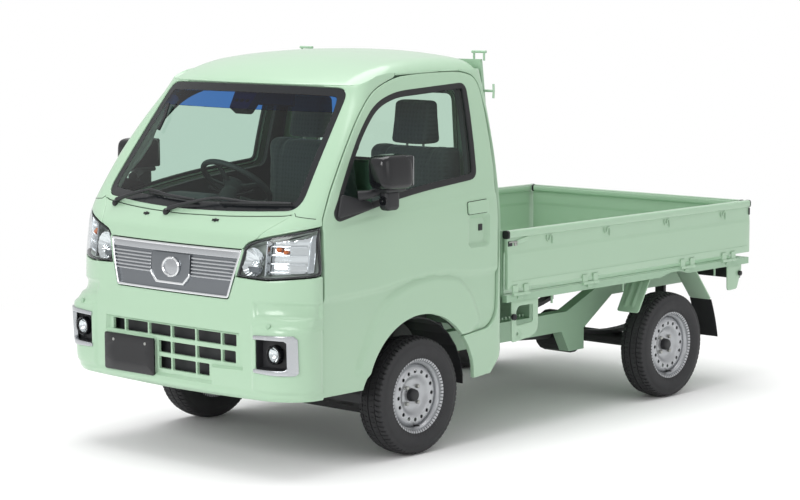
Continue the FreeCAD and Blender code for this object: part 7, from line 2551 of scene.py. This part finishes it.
@dataclass
class DoorMirror:
    """Door mirror: polished cap, matt base with its lobe, glass, and the triangular foot."""

    side: Side
    middle: tuple[float, float, float] = (0.8098, -1.137, 1.280)
    size: tuple[float, float, float] = (0.0575, 0.110, 0.074)

    def head(self) -> Shell:
        """The cap: |x/a|^p + |y/b|^p + |z/c|^p = 1 with p = 4.8, the front fuller than the back."""
        turn, rise = np.linspace(-np.pi, np.pi, 65)[:-1], np.linspace(-np.pi / 2 + 0.02, np.pi / 2 - 0.02, 33)
        t, r = np.meshgrid(turn, rise, indexing="ij")

        def power(value: Array) -> Array:
            """Signed root that squares off a circle."""
            return np.sign(value) * np.abs(value) ** 0.42

        a, b, c = self.size
        round_ring = power(np.cos(r))
        x, y, z = a * round_ring * power(np.cos(t)), b * round_ring * power(np.sin(t)), c * power(np.sin(r))
        y = np.where(y > 0, y * 0.75, y)
        x = x * (1 - 0.10 * (z / c) * np.sign(x))
        side = grid(np.stack([x, y, z], -1), closed_u=True)
        ring_low, ring_high = side.points.reshape(64, 33, 3)[:, 0], side.points.reshape(64, 33, 3)[:, -1]
        shell = joined([side, fan(ring_low, False), fan(ring_high, True)])
        return outward(shell.moved(self.middle))

    def build(self) -> None:
        """Makes the mirror."""
        x, y, z = self.middle
        a, b, c = self.size
        glass = block((x - a * 0.80, y + b * 0.73, z - c * 0.80),
                      (x + a * 0.80, y + b * 0.758, z + c * 0.84), 0.0015)
        rim = block((x - a * 0.87, y + b * 0.30, z - c * 0.88),
                    (x + a * 0.87, y + b * 0.740, z + c * 0.91), 0.008)
        collar = block((x - a * 0.92, y - b * 0.62, z - c * 1.16),
                       (x + a * 0.56, y + b * 0.50, z - c * 0.86), 0.012)
        lobe = block((x - a * 0.80, y - b * 0.42, z - c * 2.25),
                     (x + a * 0.24, y + b * 0.34, z - c * 1.00), 0.021)
        eye = outward(turned([(0.0, 0.0003), (-0.004, 0.010), (-0.002, 0.020), (0.006, 0.022)], 32, "y")
                      .moved((x - a * 0.25, y - b * 0.42, z - c * 1.66)))
        arm = outward(tube(np.array([(0.722, -1.262, 1.180), (0.752, -1.226, 1.184), (0.770, -1.176, 1.196),
                                     (0.784, -1.146, 1.216)]), np.array([0.022, 0.019, 0.016, 0.016]), 16))
        foot = rounded([(-1.400, 1.092), (-1.176, 1.118), (-1.190, 1.150), (-1.352, 1.190), (-1.366, 1.186)],
                       (0.010, 0.016, 0.02, 0.02, 0.02), 5)
        base = pressed(SIDE, anticlockwise(foot), spacing=0.02, border=Border(0.006, 0.012, 3), sink=-0.012)
        label = self.side.name.lower()
        body = Body.DOOR_LEFT if self.side is Side.LEFT else Body.DOOR_RIGHT
        black = joined([collar, lobe, arm, base, rim])
        show(f"mirror_head_{label}", [(self.head(), GLOSS_BLACK), (black, MATT_BLACK), (glass, REFLECTOR),
                                      (eye, GLOSS_BLACK)], body, "black_plastic", [f"mirror_{label}"],
             side=self.side)


@dataclass
class Wipers:
    """Two wiper arms with their blades, the cowl strip and the washer nozzles."""

    pivots: tuple = ((-0.490, 1.098), (-0.095, 1.088))
    elbows: tuple = ((-0.270, 1.157), (0.163, 1.147))
    blades: tuple = (((-0.270, 1.150), (0.050, 1.1365)), ((0.200, 1.134), (0.575, 1.149)))

    def on_screen(self, points: Sequence, depth: float) -> Array:
        """Points in space from x and height, at a depth below the cab's surface."""
        flat = CAB.by_x(points)
        return CAB.place(flat[:, 0], flat[:, 1], np.full(len(flat), depth))

    def blade(self, start: tuple, end: tuple) -> list[tuple[Shell, Surface]]:
        """A blade: slim spoiler on a rubber squeegee, thicker at its middle.

        Args:
            start: x and height of one end.
            end: x and height of the other.

        Returns:
            Shells with their finishes.
        """
        share = np.linspace(0, 1, 25)
        line = np.array(start) + (np.array(end) - start) * share[:, None]
        high, low = self.on_screen(line, -0.013), self.on_screen(line, -0.004)
        thick = 0.0045 + 0.0030 * np.sin(share * np.pi)
        return [(outward(tube(high, thick, 10)), MATT_BLACK), (outward(tube(low, 0.0026, 8)), RUBBER)]

    def arm(self, pivot: tuple, elbow: tuple, reach: tuple) -> list[tuple[Shell, Surface]]:
        """An arm from its pivot cap over the elbow to the blade's middle.

        Args:
            pivot: x and height of the pivot.
            elbow: x and height where the arm leaves the glass edge.
            reach: x and height of the blade's middle.

        Returns:
            Shells with their finishes.
        """
        knots = np.array([pivot, elbow, reach])
        share = np.linspace(0, 2, 41)
        line = np.stack([np.interp(share, [0, 1, 2], knots[:, k]) for k in (0, 1)], 1)
        soft = smoothed(line, 9)
        lift = np.interp(share, [0, 0.4, 1.2, 2], [-0.014, -0.022, -0.024, -0.016])
        flat = CAB.by_x(soft)
        path = CAB.place(flat[:, 0], flat[:, 1], lift)
        bar = outward(tube(path, np.interp(share, [0, 0.3, 0.9, 2], [0.0115, 0.0085, 0.0060, 0.0045]), 12))
        foot = self.on_screen([pivot], 0.004)[0]
        cap = outward(turned([(0.012, 0.0003), (0.010, 0.016), (-0.016, 0.016), (-0.022, 0.012),
                              (-0.024, 0.0003)], 28, "y").moved(foot))
        return [(bar, MATT_BLACK), (cap, GLOSS_BLACK)]

    def cowl(self) -> Shell:
        """Black strip that closes the gap between the glass and the bonnet."""
        outer = inset(SKIN.screen_loop(), -0.021)
        inner = inset(SKIN.screen_loop(), -0.001)
        keep_out, keep_in = outer[outer[:, 1] < 1.118], inner[inner[:, 1] < 1.138]
        keep_out = keep_out[np.argsort(keep_out[:, 0])]
        keep_in = keep_in[np.argsort(-keep_in[:, 0])]
        loop = np.vstack([keep_out, keep_in])
        return pressed(CAB, anticlockwise(loop), spacing=0.012, border=Border(0.0015, 0.012, 2), sink=0.0035)

    def nozzle(self, x: float) -> Shell:
        """A diamond-shaped washer nozzle on the bonnet."""
        loop = [(x - 0.021, 1.070), (x, 1.0625), (x + 0.021, 1.070), (x, 1.0775)]
        return pressed(CAB, CAB.by_x(dense(rounded(loop, 0.005, 4), 0.01)), spacing=0.008,
                       border=Border(0.004, 0.004, 3), sink=-0.006)

    def build(self) -> None:
        """Makes the wipers and what is round them."""
        parts: list = []
        for pivot, elbow, (start, end) in zip(self.pivots, self.elbows, self.blades):
            middle = tuple((np.array(start) + end) / 2)
            parts += self.arm(pivot, elbow, middle) + self.blade(start, end)
        show("wiper_arms", parts, Body.CHASSIS, "black_plastic", ["wipers"])
        show("cowl_strip", [(self.cowl(), MATT_BLACK)], Body.CHASSIS, "black_plastic")
        show("washer_nozzles", [(joined([self.nozzle(-0.222), self.nozzle(0.222)]), GLOSS_BLACK)],
             Body.CHASSIS, "black_plastic")


@dataclass
class Details:
    """Small fixed details of the nose, the frame and the bed."""

    def sensors(self) -> Shell:
        """Two round parking sensors in the bumper."""
        ring = circle(24, 0.010)
        return joined([pressed(CAB, CAB.by_x(ring + [x, 0.652]), spacing=0.01, border=Border(0.002, 0.003, 2),
                               sink=-0.0105) for x in (-0.598, 0.598)])

    def side_strip(self, side: Side) -> Shell:
        """Short black strip that stands off the pillar of one side."""
        fine = dense([(-1.330, 1.410), (-1.290, 1.462), (-1.240, 1.522)], 0.02, closed=False)
        path = SIDE.place(fine[:, 0], fine[:, 1], np.full(len(fine), -0.010))
        return outward(tube(path, 0.008, 10)).flipped(side)

    def seams(self, side: Side) -> Shell:
        """Dark short seam across the pillar's foot, from the glass to the door."""
        knots = CAB.by_y([(-1.500, 1.098), (-1.532, 1.106)])
        start = CAB.by_x([(0.607, 1.118)])
        line = dense(np.vstack([start, knots[::-1]]), 0.006, closed=False)
        return outward(bead(CAB, line, 0.0016, 0.0002, closed=False)).flipped(side)

    def rail_fittings(self, side: Side) -> list[tuple[Shell, Surface]]:
        """Bracket with a round hole, a toothed strip and bolts on one frame rail.

        Args:
            side: The rail's side.

        Returns:
            Shells with their finishes.
        """
        x = 0.368
        teeth = [block((x, y, 0.456), (x + 0.006, y + 0.012, 0.472), 0.002)
                 for y in np.arange(-0.02, 0.30, 0.026)]
        angle = np.linspace(0, 2 * np.pi, 25)[:-1]
        plate = beam(rounded([(0.020, 0.372), (0.120, 0.372), (0.128, 0.438), (0.014, 0.438)], 0.012, 5),
                     x - 0.0005, x + 0.004, "x")
        ring = outward(tube(np.stack([0 * angle + x + 0.0045, 0.070 + 0.018 * np.cos(angle),
                                      0.405 + 0.018 * np.sin(angle)], 1), 0.0022, 8, closed=True))
        bolts = [outward(turned([(0.0, 0.0003), (0.0, 0.009), (0.006, 0.009), (0.008, 0.006),
                                 (0.008, 0.0003)], 6, "x")).moved((x, y, z)) for y,
                 z in ((-0.10, 0.400), (-0.06, 0.430), (0.210, 0.395), (0.320, 0.395))]
        return [(joined(teeth + [plate]).flipped(side), ENAMEL), (joined([ring] + bolts).flipped(side), ZINC)]

    def deck_ribs(self) -> Shell:
        """Long shallow ribs of the bed floor, a rounded bead each way along it."""
        front, rear = CAB_REAR_Y + 0.10, TAIL_Y - 0.10
        ribs = []
        for x in np.linspace(-0.60, 0.60, 13):
            y = np.linspace(front, rear, 9)
            path = np.stack([0 * y + x, y, 0 * y + 0.6552], 1)
            section = np.array([(-0.024, -0.0008), (0.024, -0.0008), (0.016, 0.0035), (-0.016, 0.0035)])
            ribs.append(swept(section, path, (1, 0, 0), (0, 0, 1)))
        return joined([outward(rib) for rib in ribs])

    def board_ribs(self) -> Shell:
        """Pressed fields of the headboard, as raised frames on its rear face."""
        y = CAB_REAR_Y + 0.024 + 0.020
        chart = Plane((0, y, 0), (-1, 0, 0), (0, 0, 1))
        fields = []
        for middle in (-0.44, 0.0, 0.44):
            outer = box_loop((middle - 0.19, 0.700), (middle + 0.19, 0.905), 0.020)
            fields.append(pressed(chart, outer, holes=[inset(outer, 0.018)], spacing=0.03,
                                  border=Border(0.003, 0.001, 3), sink=-0.0045))
        return joined(fields)

    def rack_rope_hook(self, side: Side) -> Shell:
        """T-shaped rope hook on the rack's post of one side."""
        y = CAB_REAR_Y + 0.024 + 0.008
        stem = tube(np.array([(0.572, y, 1.585), (0.610, y, 1.585), (0.6442, y, 1.585)]), 0.006, 12)
        bar = tube(np.array([(0.642, y, 1.552), (0.644, y, 1.585), (0.642, y, 1.617)]), 0.0055, 12)
        return joined([outward(stem), outward(bar)]).flipped(side)

    def tow_hooks(self) -> Shell:
        """Towing eye under the nose."""
        angle = np.linspace(0, 2 * np.pi, 33)[:-1]
        ring = np.stack([0.330 + 0 * angle, -1.455 + 0.030 * np.cos(angle), 0.330 + 0.030 * np.sin(angle)], 1)
        return outward(tube(ring, 0.0075, 12, closed=True))

    def build(self) -> None:
        """Makes the details."""
        show("bumper_sensors", [(self.sensors(), DULL_SHADED_ENAMEL)], Body.CHASSIS, "body_paint")
        for side in Side:
            label = side.name.lower()
            show(f"pillar_seam_{label}", [(self.seams(side), SHADE)], Body.CHASSIS, "black_plastic")
            show(f"rail_fittings_{label}", self.rail_fittings(side), Body.CHASSIS, "body_paint")
            show(f"rack_rope_hook_{label}", [(self.rack_rope_hook(side), ENAMEL)], Body.CHASSIS, "body_paint")
        show("pillar_strip_right", [(self.side_strip(Side.RIGHT), RUBBER)], Body.CHASSIS, "black_plastic")
        show("deck_ribs", [(self.deck_ribs(), DULL_SHADED_ENAMEL)], Body.CHASSIS, "body_paint")
        show("headboard_fields", [(self.board_ribs(), DULL_SHADED_ENAMEL)], Body.CHASSIS, "body_paint")
        show("tow_eye", [(self.tow_hooks(), CHASSIS_BLACK)], Body.CHASSIS, "body_paint")


# Studio


@dataclass
class Studio:
    """White floor and backdrop, broad soft lamps, and the camera of the photo."""

    place: tuple[float, float, float] = (7.3662, -8.2644, 2.0901)
    azimuth: float = 42.4346
    down: float = 6.746
    roll: float = -0.135
    lens: float = 102.85
    near: float = 2.5
    far: float = 4.4
    horizon: float = 0.80
    zenith: float = 0.70

    def floor(self) -> None:
        """White floor that takes the shadow, and glows evenly white far from the truck.

        The share of glow is the smooth step of the distance from 2.5 m to 4.4 m.
        """
        material = bpy.data.materials.new("white_paper_sweep")
        material.use_nodes = True
        tree = material.node_tree
        tree.nodes.clear()
        place = object_space(tree)
        fibre = add(tree, "ShaderNodeTexNoise", {"Vector": place, "Scale": 40.0})
        relief = add(tree, "ShaderNodeBump", {"Height": fibre.outputs["Fac"], "Distance": 0.0001})
        paper = add(tree, "ShaderNodeBsdfDiffuse", {"Color": linear("#FBFBFB"),
                                                    "Normal": relief.outputs["Normal"]})
        glow = add(tree, "ShaderNodeEmission", {"Color": linear("#FFFFFF"), "Strength": 1.0})
        away = add(tree, "ShaderNodeVectorMath", {0: place}, operation="LENGTH")
        share = add(tree, "ShaderNodeMapRange", {0: away.outputs["Value"], 1: self.near, 2: self.far},
                    interpolation_type="SMOOTHSTEP")
        both = add(tree, "ShaderNodeMixShader", {0: share.outputs[0], 1: paper.outputs[0],
                                                 2: glow.outputs[0]})
        add(tree, "ShaderNodeOutputMaterial", {"Surface": both.outputs[0]})
        line = np.array([-400.0, -12, -6, 0, 6, 12, 400])
        across, along = np.meshgrid(line, line, indexing="ij")
        shell = grid(np.stack([across, along, 0 * across], -1)).turned_over()
        mesh = bpy.data.meshes.new("studio_floor")
        mesh.from_pydata(shell.points.tolist(), [], shell.faces[0].tolist())
        mesh.materials.append(material)
        floor = bpy.data.objects.new("studio_floor", mesh)
        bpy.context.scene.collection.objects.link(floor)

    def lamp(self, name: str, place: Sequence[float], aim: Sequence[float], size: float,
             power: float) -> None:
        """Adds one square lamp.

        Args:
            name: Its name.
            place: Where it stands.
            aim: What it points at.
            size: Length of its side.
            power: Its watts.
        """
        data = bpy.data.lights.new(name, "AREA")
        data.shape, data.size, data.energy = "SQUARE", size, power
        lamp = bpy.data.objects.new(name, data)
        lamp.location = place
        lamp.rotation_mode = "QUATERNION"
        lamp.rotation_quaternion = (Vector(aim) - Vector(place)).to_track_quat("-Z", "Y")
        bpy.context.scene.collection.objects.link(lamp)

    def world(self) -> None:
        """World light: white to the camera and through glass, and graded upwards as light.

        As light its strength goes from horizon to zenith by the direction's height.
        """
        world = bpy.data.worlds.new("studio_world")
        bpy.context.scene.world = world
        world.use_nodes = True
        tree = world.node_tree
        tree.nodes.clear()
        direction = add(tree, "ShaderNodeSeparateXYZ", {0: object_space(tree)})
        light = add(tree, "ShaderNodeMapRange", {0: direction.outputs["Z"], 1: 0.0, 2: 1.0, 3: self.horizon,
                                                 4: self.zenith})
        path = add(tree, "ShaderNodeLightPath", {})
        seen = add(tree, "ShaderNodeMath", {0: path.outputs["Is Camera Ray"],
                                            1: path.outputs["Is Transmission Ray"]}, operation="MAXIMUM")
        strength = add(tree, "ShaderNodeMix", {0: seen.outputs[0], 2: light.outputs[0], 3: 1.0})
        shade = add(tree, "ShaderNodeBackground", {"Color": linear("#FFFFFF"),
                                                   "Strength": strength.outputs[0]})
        add(tree, "ShaderNodeOutputWorld", {"Surface": shade.outputs[0]})

    def camera(self) -> None:
        """The camera where the fit of the photo puts it."""
        yaw, pitch, roll = math.radians(self.azimuth), math.radians(self.down), math.radians(self.roll)
        forward = Vector((-math.sin(yaw) * math.cos(pitch), math.cos(yaw) * math.cos(pitch),
                          -math.sin(pitch)))
        right = Vector((math.cos(yaw), math.sin(yaw), 0))
        upward = right.cross(forward)
        side = right * math.cos(roll) + upward * math.sin(roll)
        top = upward * math.cos(roll) - right * math.sin(roll)
        data = bpy.data.cameras.new("photo_camera")
        data.sensor_width, data.lens = 36.0, self.lens
        data.clip_start, data.clip_end = 0.1, 200.0
        camera = bpy.data.objects.new("photo_camera", data)
        camera.rotation_mode = "QUATERNION"
        camera.rotation_quaternion = Matrix((side, top, -forward)).transposed().to_quaternion()
        camera.location = self.place
        bpy.context.scene.collection.objects.link(camera)
        bpy.context.scene.camera = camera

    def build(self) -> None:
        """Makes the stage."""
        bpy.context.scene.view_settings.view_transform = "Standard"
        self.floor()
        self.world()
        self.lamp("top_softbox", (-0.5, 0.2, 7.0), (0.0, 0.0, 0.6), 6.0, 330)
        self.lamp("front_softbox", (0.5, -9.0, 4.5), (0.0, -0.8, 0.8), 4.0, 330)
        self.lamp("side_softbox", (8.5, 0.5, 3.5), (0.0, 0.3, 0.7), 4.0, 40)
        self.camera()


# The cab floor, body paint in the frame's record, is finished chassis black: painted shade under the truck. The
# arch liners' black is their own.
NODE_FINISHES = {"cab_floor": CHASSIS_BLACK, "arch_liners": MATT_BLACK}


def dress_frame() -> None:
    """Gives every CAD node that still shows the finish of its material slot, or the one NODE_FINISHES gives it;
    the cab floor's chassis black there is painted shade under the truck.
    """
    slots = {part["node"]: part["material_slot"] for part in frame["record"]["subparts"]}
    for name, node in frame["nodes"].items():
        finish = NODE_FINISHES.get(name) or SLOT_FINISHES.get(slots.get(name, ""), DULL_SHADED_ENAMEL)
        node.data.materials.clear()
        node.data.materials.append(finish.material())
        edge = node.modifiers.new("soft_edge", "BEVEL")
        edge.width, edge.segments, edge.limit_method, edge.angle_limit = 0.0025, 2, "ANGLE", math.radians(40)
        LOG.info("%s keeps its CAD mesh, in %s", name, finish.name)


def main() -> None:
    """Builds the truck's looks in order, then the stage."""
    logging.basicConfig(level=logging.INFO, format="%(message)s")
    dress_frame()
    SKIN.build()
    Bumper().build()
    Grille().build()
    for side in Side:
        HeadLamp(side).build()
        FogLamp(side).build()
        Door(side).build()
        Wheel("front", side, 1.305, FRONT_AXLE_Y).build()
        Wheel("rear", side, 1.300, REAR_AXLE_Y).build()
        side_gate(side).build()
        BedFittings(side).build()
        DoorMirror(side).build()
    tail_gate().build()
    Cabin().build()
    Wipers().build()
    Details().build()
    Studio().build()


if __name__ == "__main__":
    main()
